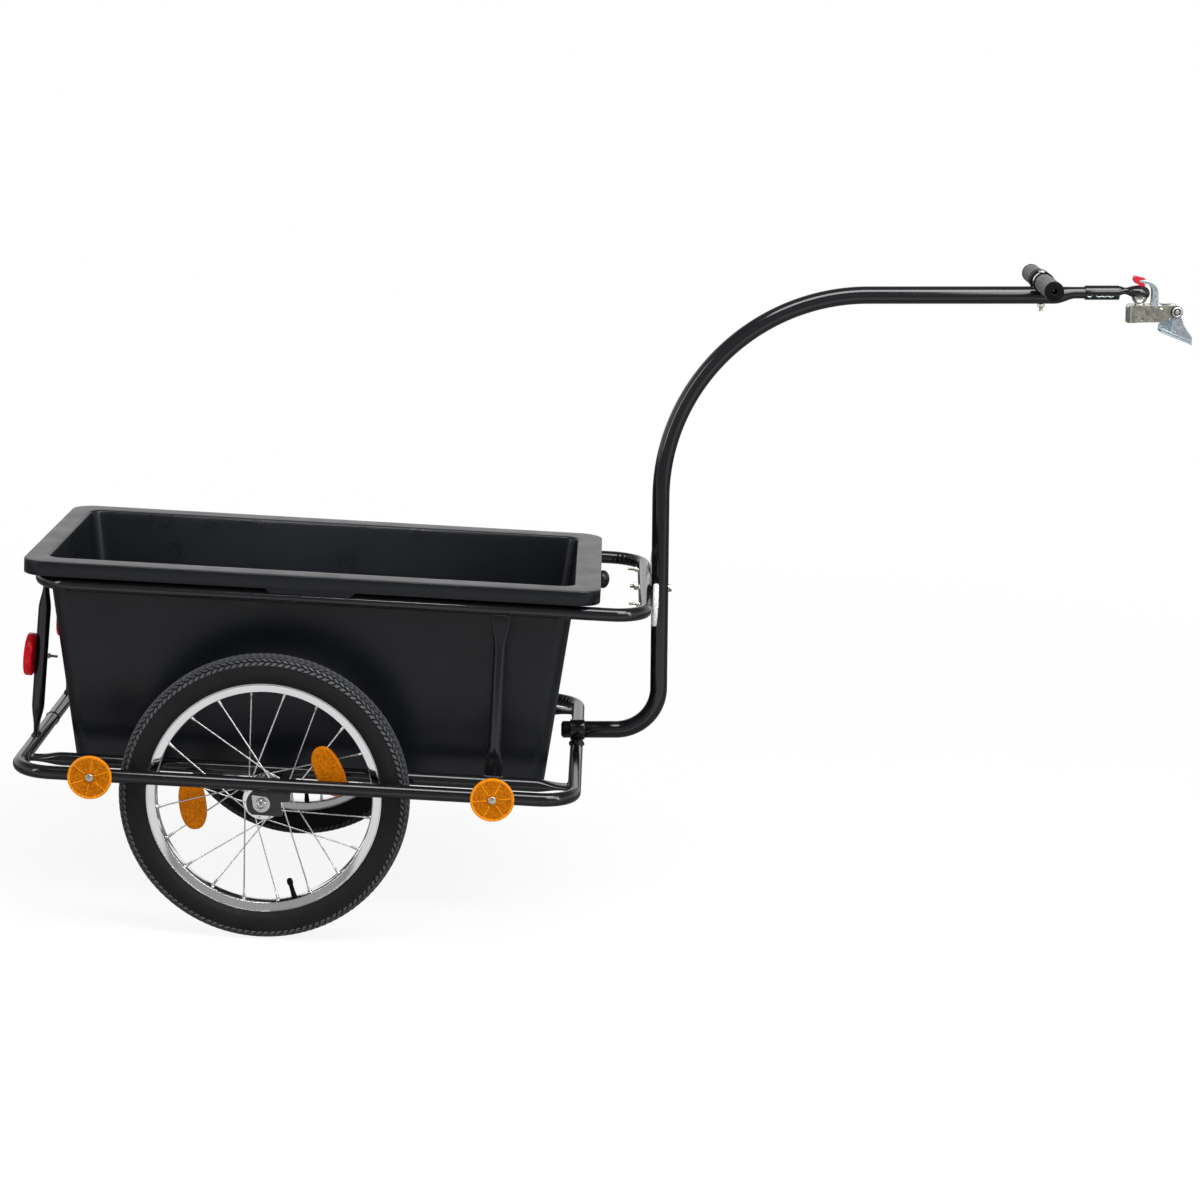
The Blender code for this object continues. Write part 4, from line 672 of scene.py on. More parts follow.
def bent_tube_tree() -> Tree:
    """A round tube along a closed line, wrinkled on the inside of its bends.

    The line's points carry two attributes: inward, which points to the centre of the
    bend, and wrinkle, the height of the ripple there.

    Returns:
        The tree, with the inputs Radius and Sides.
    """
    tree = Tree("Bent tube", {"Radius": 0.0095, "Sides": 32})
    line = tree.first("GeometryNodeMeshToCurve", {"Mesh": tree.size["Geometry"]})
    ring = tree.first("GeometryNodeCurvePrimitiveCircle",
                      {"Resolution": tree.size["Sides"], "Radius": tree.size["Radius"]})
    tube = tree.first("GeometryNodeCurveToMesh", {"Curve": line, "Profile Curve": ring})
    inward = tree.first("GeometryNodeInputNamedAttribute", {"Name": "inward"},
                        data_type="FLOAT_VECTOR")
    height = tree.first("GeometryNodeInputNamedAttribute", {"Name": "wrinkle"},
                        data_type="FLOAT")
    normal = tree.first("GeometryNodeInputNormal")
    facing = tree.node("ShaderNodeVectorMath", {0: normal, 1: inward}, operation="DOT_PRODUCT")
    share = tree.math("POWER", tree.math("MAXIMUM", facing.outputs["Value"]), 1.5)
    lift = tree.math("MULTIPLY", share, height)
    offset = tree.first("ShaderNodeVectorMath", {0: normal, 3: lift}, operation="SCALE")
    rippled = tree.first("GeometryNodeSetPosition", {"Geometry": tube, "Offset": offset})
    return tree.close(tree.first("GeometryNodeSetShadeSmooth", {"Geometry": rippled}))


def bead_tree() -> Tree:
    """A weld bead: overlapping flat drops along lines, each a little different.

    Returns:
        The tree, with the inputs Pitch, Width and Seed.
    """
    tree = Tree("Weld bead", {"Pitch": 0.0016, "Width": 0.0022, "Seed": 4})
    line = tree.first("GeometryNodeMeshToCurve", {"Mesh": tree.size["Geometry"]})
    spaced = tree.first("GeometryNodeResampleCurve",
                        {"Curve": line, "Length": tree.size["Pitch"]}, mode="LENGTH")
    facing = tree.first("FunctionNodeAlignRotationToVector",
                        {"Vector": tree.first("GeometryNodeInputTangent")}, axis="Z")
    drop = tree.first("GeometryNodeMeshUVSphere",
                      {"Segments": 10, "Rings": 6, "Radius": tree.size["Width"]})
    spread = tree.node("FunctionNodeRandomValue", {2: 0.75, 3: 1.15, "Seed": tree.size["Seed"]},
                       data_type="FLOAT").outputs[1]
    scale = tree.first("ShaderNodeCombineXYZ", {"X": spread, "Y": spread, "Z": 0.62})
    drops = tree.first("GeometryNodeInstanceOnPoints",
                       {"Points": spaced, "Instance": drop, "Rotation": facing, "Scale": scale})
    return tree.close(tree.first("GeometryNodeSetShadeSmooth", {"Geometry": drops}))


class Shading(Graph):
    """A shader's tree, with its coordinates."""

    def __init__(self, tree: NodeTree) -> None:
        """Take up a material's or a world's tree."""
        super().__init__(tree)
        self.coordinates = self.node("ShaderNodeTexCoord").outputs

    def drift(self, value: NodeSocket, span: tuple[float, float],
              levels: tuple[object, object] = (0.0, 1.0), kind: str = "LINEAR") -> NodeSocket:
        """A level that follows a value.

        Args:
            value: What it follows.
            span: The two values between which it changes.
            levels: Its two levels, numbers or sockets.
            kind: How it goes from one to the other.

        Returns:
            The level.
        """
        return self.first("ShaderNodeMapRange",
                          {"Value": value, "From Min": span[0], "From Max": span[1],
                           "To Min": levels[0], "To Max": levels[1]}, interpolation_type=kind)

    def blend(self, share: NodeSocket, one: object, two: Colour) -> NodeSocket:
        """A colour between two others.

        Args:
            share: Share of the second colour.
            one: The first colour, or a socket with it.
            two: The second colour.

        Returns:
            The colour between them.
        """
        colour = one if isinstance(one, NodeSocket) else (*one, 1.0)
        return self.node("ShaderNodeMix", {0: share, 6: colour, 7: (*two, 1.0)},
                         data_type="RGBA").outputs[2]

    def noise(self, scale: float, detail: float) -> NodeSocket:
        """Noise on the object's own coordinates."""
        return self.node("ShaderNodeTexNoise", {"Vector": self.coordinates["Object"],
                                                "Scale": scale, "Detail": detail}).outputs["Fac"]


# Finishes

@dataclass(frozen=True)
class Finish:
    """A procedural finish on Object coordinates.

    Attributes:
        slot: The record's material slot.
        colour: Base colour.
        shade: Colour that it drifts to in broad soft patches.
        roughness: Lowest and highest roughness.
        metallic: Metallic value.
        ior: Index of refraction.
        gloss: Specular level.
        coat: Weight of a clear coat.
        patch: Patches across a metre.
        grain: Grains across a metre, for the bump.
        depth: Height of the grain, in metres.
        look: Set where only single pieces of the slot have it.
    """

    slot: Slot
    colour: Colour
    shade: Colour
    roughness: tuple[float, float]
    metallic: float = 0.0
    ior: float = 1.45
    gloss: float = 0.5
    coat: float = 0.0
    patch: float = 14.0
    grain: float = 900.0
    depth: float = 0.00006
    look: Look | None = None

    def build(self) -> Material:
        """Make the material.

        Returns:
            The material, named for its look or its slot.
        """
        made = bpy.data.materials.new((self.look or self.slot).value)
        made.use_nodes = True
        graph = Shading(made.node_tree)
        broad = graph.blend(graph.noise(self.patch, 3.0), self.colour, self.shade)
        wear = graph.noise(self.patch * 3.3, 4.0)
        grain = {"Distance": self.depth, "Height": self.relief(graph)}
        graph.fill(graph.nodes["Principled BSDF"], {
            "Base Color": self.tinted(graph, broad), "Metallic": self.metallic, "IOR": self.ior,
            "Roughness": graph.drift(wear, (0.3, 0.7), self.roughness),
            "Specular IOR Level": self.gloss, "Coat Weight": self.coat, "Coat Roughness": 0.08,
            "Normal": graph.first("ShaderNodeBump", grain)})
        return made

    def tinted(self, graph: Shading, colour: NodeSocket) -> NodeSocket:
        """The base colour after this finish's own pattern."""
        return colour

    def relief(self, graph: Shading) -> NodeSocket:
        """Height of the surface's fine grain."""
        return graph.noise(self.grain, 2.0)


@dataclass(frozen=True)
class Lens(Finish):
    """Moulded reflector plastic: small hexagonal prisms in its bump, with their sparkle painted in
    as prisms darkened at random.
    """

    prism: float = 520.0
    # Darkest colour of the painted sparkle.
    painted_sparkle: Colour = (0.40, 0.10, 0.0)

    def cells(self, graph: Shading, output: str) -> NodeSocket:
        """The cells of the prisms.

        Args:
            graph: The shader's tree.
            output: What is asked of them: Distance or Color.

        Returns:
            The cells by that output.
        """
        return graph.node("ShaderNodeTexVoronoi",
                          {"Vector": graph.coordinates["Object"], "Scale": self.prism,
                           "Randomness": 0.35}).outputs[output]

    def tinted(self, graph: Shading, colour: NodeSocket) -> NodeSocket:
        """Painted sparkle: darken some of the prisms at random, in place of the light that they
        catch and lose.
        """
        grey = graph.first("ShaderNodeSeparateColor", {0: self.cells(graph, "Color")})
        return graph.blend(graph.drift(grey, (0.2, 1.0), (0.0, 0.75)), colour, self.painted_sparkle)

    def relief(self, graph: Shading) -> NodeSocket:
        """Height of the prisms."""
        return self.cells(graph, "Distance")


@dataclass(frozen=True)
class Foam(Finish):
    """Closed-cell grip foam: pale specks on grey, and small pores."""

    speck: Colour = (0.34, 0.34, 0.34)

    def tinted(self, graph: Shading, colour: NodeSocket) -> NodeSocket:
        """Scatter the specks."""
        return graph.blend(graph.drift(graph.noise(self.grain, 3.0), (0.48, 0.72)), colour,
                           self.speck)


FINISHES: tuple[Finish, ...] = (
    Finish(Slot.PAINT, (0.0040, 0.0043, 0.0055), (0.0060, 0.0063, 0.0076), (0.10, 0.14),
           gloss=0.60, grain=1500.0, depth=0.00001),
    Finish(Slot.TUB, (0.0034, 0.0040, 0.0060), (0.0050, 0.0058, 0.0084), (0.26, 0.34),
           gloss=0.34, patch=6.0, grain=2600.0, depth=0.00002),
    Finish(Slot.TYRE, (0.0080, 0.0080, 0.0090), (0.0120, 0.0120, 0.0130), (0.50, 0.62),
           gloss=0.12, patch=40.0, grain=1400.0, depth=0.00008),
    # Tread: a lighter copy of the tyre rubber, painted light on the block tops against the darker
    # casing in the gaps.
    Finish(Slot.TYRE, (0.0400, 0.0410, 0.0450), (0.0600, 0.0620, 0.0670), (0.34, 0.50),
           gloss=0.40, patch=60.0, grain=1400.0, depth=0.00010, look=Look.TREAD),
    Finish(Slot.CHROME, (0.80, 0.80, 0.81), (0.66, 0.66, 0.68), (0.24, 0.34), metallic=1.0,
           patch=30.0, grain=600.0, depth=0.00001, look=Look.WIRE),
    Finish(Slot.STEEL, (0.66, 0.67, 0.65), (0.44, 0.45, 0.44), (0.16, 0.28), metallic=1.0,
           patch=90.0, grain=1500.0, depth=0.00004, look=Look.BRIGHT),
    Finish(Slot.RUBBER, (0.0035, 0.0035, 0.0040), (0.0055, 0.0055, 0.0062), (0.48, 0.60),
           gloss=0.04, grain=1800.0, depth=0.00004),
    Foam(Slot.FOAM, (0.040, 0.040, 0.041), (0.078, 0.078, 0.080), (0.80, 0.95), ior=1.35,
         patch=45.0, grain=1100.0, depth=0.00035),
    Finish(Slot.CHROME, (0.86, 0.86, 0.87), (0.76, 0.76, 0.78), (0.05, 0.10), metallic=1.0,
           patch=30.0, grain=600.0, depth=0.00002),
    # Yellow zinc: its broad dark patches are painted reflection, standing in for the surroundings
    # mirrored in its faces.
    Finish(Slot.ZINC, (0.86, 0.84, 0.75), (0.27, 0.262, 0.215), (0.18, 0.36), metallic=1.0,
           patch=48.0, grain=1500.0, depth=0.00006),
    Finish(Slot.STEEL, (0.70, 0.77, 0.81), (0.46, 0.53, 0.57), (0.26, 0.40), metallic=1.0,
           patch=80.0, grain=1500.0, depth=0.00006),
    Lens(Slot.AMBER, (0.50, 0.152, 0.0), (0.40, 0.112, 0.0), (0.10, 0.20), gloss=0.08,
         depth=0.00025, painted_sparkle=(0.20, 0.042, 0.0)),
    # Ribs and rim of the round amber reflectors: a lighter copy of the same amber plastic, painted
    # light.
    Lens(Slot.AMBER, (0.78, 0.270, 0.006), (0.62, 0.200, 0.003), (0.10, 0.20), gloss=0.15,
         depth=0.00010, painted_sparkle=(0.50, 0.140, 0.0), look=Look.RIB),
    Lens(Slot.RED, (0.62, 0.006, 0.014), (0.50, 0.004, 0.010), (0.10, 0.20), gloss=0.25,
         depth=0.00025, painted_sparkle=(0.26, 0.002, 0.005)),
    Lens(Slot.CLEAR, (0.78, 0.79, 0.80), (0.62, 0.63, 0.66), (0.08, 0.16), coat=0.4,
         depth=0.00025, painted_sparkle=(0.36, 0.37, 0.39)),
    Finish(Slot.CAP, (0.46, 0.008, 0.020), (0.34, 0.005, 0.014), (0.24, 0.36), patch=90.0,
           grain=1200.0, depth=0.00005),
)


@dataclass
class Shop:
    """Where every piece is finished and hung on its body.

    Attributes:
        finishes: The materials, by look or slot.
        ring, tube, bead: The Geometry Nodes trees.
    """

    finishes: dict[Slot | Look, Material] = field(
        default_factory=lambda: {item.look or item.slot: item.build() for item in FINISHES})
    ring: Tree = field(default_factory=ring_tree)
    tube: Tree = field(default_factory=bent_tube_tree)
    bead: Tree = field(default_factory=bead_tree)

    def piece(self, name: str, shape: BMesh | Mesh, nodes: Sequence[str] = (),
              slot: Slot = Slot.PAINT, body: Body = Body.CHASSIS, place: Matrix | None = None,
              smooth: float = 35.0, edge: float = 0.0, look: Look | None = None) -> None:
        """Finish a shape and hang it on its body.

        Args:
            name: The piece's name.
            shape: Its bmesh, or its shaded mesh.
            nodes: CAD nodes that it stands for.
            slot: Its finish.
            body: The body that it rides on.
            place: Where it goes; None leaves it where it is.
            smooth: Angle in degrees past which an edge of a bmesh is sharp.
            edge: Width of the rounded edges; 0 leaves them.
            look: A finish of its own, in place of its slot's.
        """
        if isinstance(shape, BMesh):
            shape = shaded_mesh(shape if place is None else placed(shape, place), smooth)
        elif place is not None:
            shape.transform(place)
        shape.name = name
        shape.materials.clear()
        shape.materials.append(self.finishes[look or slot])
        made = bpy.data.objects.new(name, shape)
        bpy.context.scene.collection.objects.link(made)
        if edge > 0.0:
            round_off = made.modifiers.new("rounded edges", "BEVEL")
            round_off.width = edge
            round_off.segments = 3
            round_off.limit_method = "ANGLE"
            round_off.angle_limit = radians(32)
            round_off.harden_normals = False
            made.modifiers.new("even shading", "WEIGHTED_NORMAL").keep_sharp = True
        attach(made, body.value)
        if nodes:
            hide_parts(*nodes)
        LOG.info("%s: %d faces on %s", name, len(shape.polygons), body.value)

    def cut(self, target: BMesh, tools: Sequence[BMesh], operation: str = "DIFFERENCE") -> Mesh:
        """Cut one mesh with others.

        Args:
            target: Mesh that is cut.
            tools: Meshes that cut it, one after another.
            operation: DIFFERENCE or INTERSECT.

        Returns:
            The cut and shaded mesh.
        """
        body, *helpers = [bpy.data.objects.new("block", shaded_mesh(bm)) for bm in (target, *tools)]
        for item in (body, *helpers):
            bpy.context.scene.collection.objects.link(item)
        for helper in helpers:
            modifier = body.modifiers.new("cut", "BOOLEAN")
            modifier.operation = operation
            modifier.object = helper
        result = evaluated(body)
        for item in (body, *helpers):
            bpy.data.objects.remove(item, do_unlink=True)
        result.shade_smooth()
        result.set_sharp_from_angle(angle=radians(35.0))
        return result

    def beads(self, name: str, lines: Sequence[Sequence[Vector]], width: float = 0.0022,
              slot: Slot = Slot.PAINT) -> None:
        """Lay weld beads on the chassis.

        Args:
            name: The piece's name.
            lines: Points of each bead.
            width: Radius of the drops.
            slot: Their finish.
        """
        bm = bmesh.new()
        for line in lines:
            corners = [bm.verts.new(point) for point in line]
            for pair in zip(corners, corners[1:]):
                bm.edges.new(pair)
        self.piece(name, self.bead.grow(plain_mesh(bm), self.finishes[slot],
                                        {"Pitch": width * 0.72, "Width": width,
                                         "Seed": len(lines)}), slot=slot)


@dataclass
class Assembly:
    """A part of the trailer, whose pieces hang in one shop."""

    shop: Shop


# Studio

@dataclass(frozen=True)
class Lamp:
    """A rectangular soft lamp that faces its target, gridded where its fan is narrow."""

    place: tuple[float, float, float]
    target: tuple[float, float, float]
    size: tuple[float, float]
    power: float
    fan: float = pi

    def light(self, number: int) -> None:
        """Set the lamp up.

        Args:
            number: Its number.
        """
        data = bpy.data.lights.new("softbox_%d" % number, "AREA")
        data.shape = "RECTANGLE"
        data.size, data.size_y = self.size
        data.energy = self.power
        data.spread = self.fan
        made = bpy.data.objects.new(data.name, data)
        made.location = self.place
        made.rotation_mode = "QUATERNION"
        ahead = Vector(self.target) - Vector(self.place)
        made.rotation_quaternion = ahead.to_track_quat("-Z", "Y")
        bpy.context.scene.collection.objects.link(made)


@dataclass
class Studio:
    """Pale floor, white surround, soft lamps and the photograph's camera.

    Attributes:
        origin: The axle line's point on the floor.
        eye: Camera position, from the origin.
        yaw, pitch, roll: Its turn in radians; pitch is downwards.
        lens: Focal length in millimetres on the sensor's width.
        surround: Level of the surround as a light.
        ceiling: Its level overhead, as reflections see it.
        ceiling_span: Upward share of a ray over which it falls to that.
        room: Level of the dim room in front of the trailer, as reflections see it.
        room_span: Forward share of a ray over which it brightens to the surround.
        floor_grey: The paper's own grey.
        near_white: How white the camera sees the paper at the trailer.
        white_span: Distances over which it becomes fully white.
        shade: Painted shadow: the paper's level near the trailer as reflections see it, darker
            where the trailer would shade it.
        bright: Its level farther out.
        shaded: Distances in front over which the painted shadow goes from one level to the other.
        paper: Distances in front over which the paper ends.
    """

    origin: Vector
    eye: Vector = field(default_factory=lambda: Vector((0.4234, -4.3290, 1.3556)))
    yaw: float = 0.0066
    pitch: float = 0.2054
    roll: float = 0.0578
    lens: float = 90.89
    sensor: float = 36.0
    floor_size: float = 40.0
    floor_grey: float = 0.86
    surround: float = 0.46
    ceiling: float = 0.20
    ceiling_span: tuple[float, float] = (0.25, 0.70)
    room: float = 0.35
    room_span: tuple[float, float] = (-0.75, -0.35)
    near_white: float = 0.90
    white_span: tuple[float, float] = (0.6, 3.0)
    shade: float = 0.15
    bright: float = 0.75
    shaded: tuple[float, float] = (0.36, 0.62)
    paper: tuple[float, float] = (1.7, 2.8)
    lamps: tuple[Lamp, ...] = (
        Lamp((0.2, -1.1, 3.0), (0.0, 0.0, 0.4), (2.6, 1.1), 80.0),
        Lamp((1.25, -1.25, 1.95), (0.85, 0.0, 0.9), (1.3, 1.2), 29.0),
        Lamp((-3.0, -2.0, 1.7), (0.0, 0.0, 0.35), (0.45, 2.0), 20.0),
        Lamp((3.1, -2.2, 1.7), (0.1, 0.0, 0.4), (0.45, 2.0), 22.0),
        Lamp((-0.48, -1.60, 1.25), (-0.48, 0.25, 0.45), (0.46, 0.14), 0.16, 0.24),
    )

    def build(self) -> None:
        """Set up the whole studio."""
        self.world()
        self.floor()
        for number, lamp in enumerate(self.lamps):
            lamp.light(number)
        self.camera()
        bpy.context.scene.view_settings.view_transform = "Standard"

    def seen_white(self, graph: Shading) -> NodeSocket:
        """Tell the rays that see the white surround.

        Args:
            graph: The shader's tree.

        Returns:
            1 for camera, glossy and transmission rays, 0 for others.
        """
        rays = graph.node("ShaderNodeLightPath").outputs
        sharp = graph.math("MAXIMUM", rays["Is Camera Ray"], rays["Is Glossy Ray"])
        return graph.math("MAXIMUM", sharp, rays["Is Transmission Ray"])

    def mirrored(self, graph: Shading, value: NodeSocket, span: tuple[float, float],
                 levels: tuple[float, float]) -> NodeSocket:
        """A level that only reflections see, which drifts from one end of a span to the other.

        Args:
            graph: The shader's tree.
            value: What the span is measured on.
            span: Its two ends.
            levels: The levels at its ends.

        Returns:
            The level; 1 for every other ray.
        """
        glossy = graph.node("ShaderNodeLightPath").outputs["Is Glossy Ray"]
        level = graph.drift(value, span, levels, "SMOOTHSTEP")
        return graph.drift(glossy, (0.0, 1.0), (1.0, level))

    def world(self) -> None:
        """White to the camera and in reflections, softer as a light."""
        world = bpy.data.worlds.new("surround")
        bpy.context.scene.world = world
        world.use_nodes = True
        graph = Shading(world.node_tree)
        way = graph.node("ShaderNodeSeparateXYZ", {0: graph.coordinates["Generated"]}).outputs
        fall = graph.drift(way[2], self.ceiling_span, (1.0, self.ceiling), "SMOOTHSTEP")
        level = graph.drift(self.seen_white(graph), (0.0, 1.0), (self.surround, fall))
        front = self.mirrored(graph, way[1], self.room_span, (self.room, 1.0))
        graph.fill(graph.nodes["Background"],
                   {"Color": WHITE, "Strength": graph.math("MULTIPLY", level, front)})

    def floor(self) -> None:
        """A wide pale floor that keeps a light shadow."""
        half = self.floor_size / 2
        bm = bmesh.new()
        bm.faces.new([bm.verts.new((x, y, 0.0))
                      for x, y in ((-half, -half), (half, -half), (half, half), (-half, half))])
        mesh = plain_mesh(bm)
        mesh.materials.append(self.white_paper())
        floor = bpy.data.objects.new("floor", mesh)
        bpy.context.scene.collection.objects.link(floor)

    def white_paper(self) -> Material:
        """The floor's paper: matt as it is lit, white to the camera, and white in reflections but
        for a painted shadow near the trailer.

        Returns:
            The material.
        """
        paper = bpy.data.materials.new("white_paper")
        paper.use_nodes = True
        graph = Shading(paper.node_tree)
        graph.nodes.remove(graph.nodes["Principled BSDF"])
        place = graph.coordinates["Object"]
        y = graph.node("ShaderNodeSeparateXYZ", {0: place}).outputs[1]
        forwards = graph.math("MULTIPLY", y, -1.0)
        # Painted shadow: reflections see the paper darker near the trailer, in place of the shade
        # that the trailer casts on it.
        near = self.mirrored(graph, forwards, self.shaded, (self.shade, self.bright))
        far = self.mirrored(graph, forwards, self.paper, (1.0, self.room))
        away = graph.node("ShaderNodeVectorMath", {0: place}, operation="LENGTH").outputs["Value"]
        whiter = graph.drift(away, self.white_span, (self.near_white, 1.0), "SMOOTHSTEP")
        matt = graph.first("ShaderNodeBsdfDiffuse", {"Color": (*[self.floor_grey] * 3, 1.0)})
        glow = graph.first("ShaderNodeEmission",
                           {"Color": WHITE, "Strength": graph.math("MULTIPLY", near, far)})
        share = graph.math("MULTIPLY", self.seen_white(graph), whiter)
        mix = graph.first("ShaderNodeMixShader", {0: share, 1: matt, 2: glow})
        graph.fill(graph.nodes["Material Output"], {"Surface": mix})
        return paper

    def camera(self) -> None:
        """The camera at the photograph's viewpoint."""
        ahead = Vector((sin(self.yaw) * cos(self.pitch), cos(self.yaw) * cos(self.pitch),
                        -sin(self.pitch)))
        right = Vector((cos(self.yaw), -sin(self.yaw), 0.0))
        up = right.cross(ahead)
        across = right * cos(self.roll) + up * sin(self.roll)
        above = up * cos(self.roll) - right * sin(self.roll)
        turn = Matrix((across, above, -ahead)).transposed()
        data = bpy.data.cameras.new("camera")
        data.lens = self.lens
        data.sensor_width = self.sensor
        made = bpy.data.objects.new("camera", data)
        made.matrix_world = Matrix.Translation(self.origin + self.eye) @ turn.to_4x4()
        bpy.context.scene.collection.objects.link(made)
        bpy.context.scene.camera = made


# Frame

@dataclass
class Frame(Assembly):
    """The welded tube frame; places are counted from the axle line.

    Attributes:
        origin: The axle line's point on the floor.
        axle_z: Height of the axles.
        tube, strut: Radius of the loops and rails, and of the struts.
        rail_rise: Height of the rails above the axles.
        loop_rise: Height of the upper loop above the lower one.
        flat_width, flat_thickness: Sizes of a pressed end, as shares of the tube's.
        wrinkle, ripples, bend_steps: Height and number of a bend's wrinkles, and its steps.
        bite: How far a weld line lies inside the tube's surface.
        plate_*: The axle plates' outline.
    """

    origin: Vector
    axle_z: float
    tube: float = 0.0095
    strut: float = 0.0088
    rail_rise: float = 0.0271
    loop_rise: float = 0.2477
    loop_bend: float = 0.0500
    lower_rear: float = -0.3431
    lower_front: float = 0.4298
    lower_half: float = 0.2964
    upper_rear: float = -0.3319
    upper_front: float = 0.5157
    upper_half: float = 0.2102
    rail_y: float = 0.2218
    rear_strut_y: float = 0.1300
    front_strut_x: float = 0.3150
    flat_thickness: float = 0.36
    flat_width: float = 1.45
    flat_length: float = 0.0120
    flat_taper: float = 0.0380
    wrinkle: float = 0.0011
    ripples: int = 9
    bend_steps: int = 44
    bite: float = 0.0004
    seam_bite: float = 0.0007
    bead_lift: float = 0.0006
    plate_half: float = 0.0020
    plate_radius: float = 0.0210
    plate_bottom: float = 0.0175
    plate_toe: float = 0.0304
    plate_notch: float = 0.0245
    plate_front: float = 0.0392
    plate_corner: float = 0.0035
    plate_edge: float = 0.0007
    axle_hole: float = 0.0053

    @property
    def lower_z(self) -> float:
        """Height of the lower loop's centreline."""
        return self.axle_z + self.rail_rise

    @property
    def upper_z(self) -> float:
        """Height of the upper loop's centreline."""
        return self.lower_z + self.loop_rise

    def point(self, x: float, y: float, z: float) -> Vector:
        """A point counted from the axle line."""
        return self.origin + Vector((x, y, z))

    def build(self) -> None:
        """Make every piece of the frame."""
        self.loop("lower_loop", self.lower_rear, self.lower_front, self.lower_half, self.lower_z)
        self.loop("upper_loop", self.upper_rear, self.upper_front, self.upper_half, self.upper_z)
        lines = self.seams()
        for side in Side:
            lines += self.braces(side) + self.plates(side)
        self.shop.beads("frame_welds", lines)

    def loop(self, node: str, rear: float, front: float, half: float, height: float) -> None:
        """One bent tube, wrinkled inside its bends.

        Args:
            node: CAD node that it stands for.
            rear: Rear end of its centreline.
            front: Front end of its centreline.
            half: Half of its centreline's width.
            height: Height of its centreline.
        """
        steps = self.bend_steps
        bm = bmesh.new()
        inward = bm.verts.layers.float_vector.new("inward")
        wrinkle = bm.verts.layers.float.new("wrinkle")
        corners = []
        for i, (x, y) in enumerate(rounded_rectangle(rear, front, half, self.loop_bend, steps)):
            share = i % (steps + 1) / steps
            angle = radians(90 * (i // (steps + 1)) + 90 * share)
            vert = bm.verts.new(self.point(x, y, height))
            vert[inward] = Vector((-cos(angle), -sin(angle), 0.0))
            fade = self.wrinkle * sin(pi * share) ** 1.5
            vert[wrinkle] = fade * (sin(2 * pi * self.ripples * share) - 0.35)
            corners.append(vert)
        for pair in zip(corners, corners[1:] + corners[:1]):
            bm.edges.new(pair)
        mesh = self.shop.tube.grow(plain_mesh(bm), self.shop.finishes[Slot.PAINT],
                                   {"Radius": self.tube, "Sides": 32})
        self.shop.piece(node + "_tube", mesh, [node])

    def seams(self) -> list[list[Vector]]:
        """Butt seams where each loop's two tube ends meet, at the middle of its back.

        Returns:
            A closed line for each loop.
        """
        ring = circle(self.tube - self.seam_bite, 24)
        return [[self.point(x + a, 0.0, z + b) for a, b in ring + ring[:1]]
                for x, z in ((self.lower_rear, self.lower_z), (self.upper_rear, self.upper_z))]

    def squashed(self, start: Vector, end: Vector, radius: float, wide: Vector) -> BMesh:
        """A straight tube whose two ends are pressed flat.

        Args:
            start: Start of its centreline.
            end: End of its centreline.
            radius: Radius of its round middle.
            wide: Direction in which its flat ends are wide.

        Returns:
            The tube's mesh.
        """
        along = end - start
        length = along.length
        half = [0.0, self.flat_length * 0.5, self.flat_length]
        half += [self.flat_length + self.flat_taper * i / 10 for i in range(1, 11)]
        points, sections = [], []
        for place in half + [length - place for place in reversed(half)]:
            near = min(place, length - place) - self.flat_length
            share = smoothstep(near / self.flat_taper)
            width = radius * (self.flat_width + (1 - self.flat_width) * share)
            height = radius * (self.flat_thickness + (1 - self.flat_thickness) * share)
            points.append(start + along * (place / length))
            sections.append(oval(width, height, 32, 1 - 0.28 * (1 - share)))
        return carried(points, along.cross(wide), sections)

    def flat_ring(self, centre: Vector, wide: Vector, thick: Vector, radius: float,
                  run_out: Vector | None) -> list[Vector]:
        """The weld line round a flat end where it meets another tube.

        Args:
            centre: The end's middle on the other tube's surface.
            wide: Direction of its width.
            thick: Direction of its thickness.
            radius: Radius of the pressed tube.
            run_out: Direction in which the other tube falls away over the thickness, if it does.

        Returns:
            Points of the line.
        """
        made = []
        high = radius * self.flat_thickness + self.bead_lift
        for a, b in oval(radius * self.flat_width, high, 24, 0.75):
            point = centre + wide * a + thick * b
            if run_out is not None:
                point += run_out * (self.tube - (self.tube ** 2 - b ** 2) ** 0.5)
            made.append(point)
        return made + made[:1]

    def braces(self, side: Side) -> list[list[Vector]]:
        """The rail and the two struts of one side.

        Args:
            side: The side.

        Returns:
            Their weld lines.
        """
        rail_y, strut_y = side.value * self.rail_y, side.value * self.rear_strut_y
        low, high = self.lower_z, self.upper_z
        lines = []
        for stem, radius, way, wide, thick, start, end in (
                ("inner_rail", self.tube, AHEAD, ACROSS, UP,
                 (self.lower_rear, rail_y, low), (self.lower_front, rail_y, low)),
                ("rear_strut", self.strut, -UP, ACROSS, AHEAD,
                 (self.upper_rear, strut_y, high), (self.lower_rear, strut_y, low)),
                ("front_strut", self.strut, -UP, AHEAD, ACROSS,
                 (self.front_strut_x, side.value * self.upper_half, high),
                 (self.front_strut_x, rail_y, low))):
            start, end = self.point(*start), self.point(*end)
            inside, surface = way * self.tube * 0.5, way * (self.tube - self.bite)
            tube = self.squashed(start + inside, end - inside, radius, wide)
            self.shop.piece("%s_tube_%s" % (stem, side.label), tube,
                            ["%s_%s" % (stem, side.label)], smooth=60)
            for centre, out in ((start + surface, -way), (end - surface, way)):
                lines.append(self.flat_ring(centre, wide, thick, radius,
                                            out if way is AHEAD else None))
        return lines

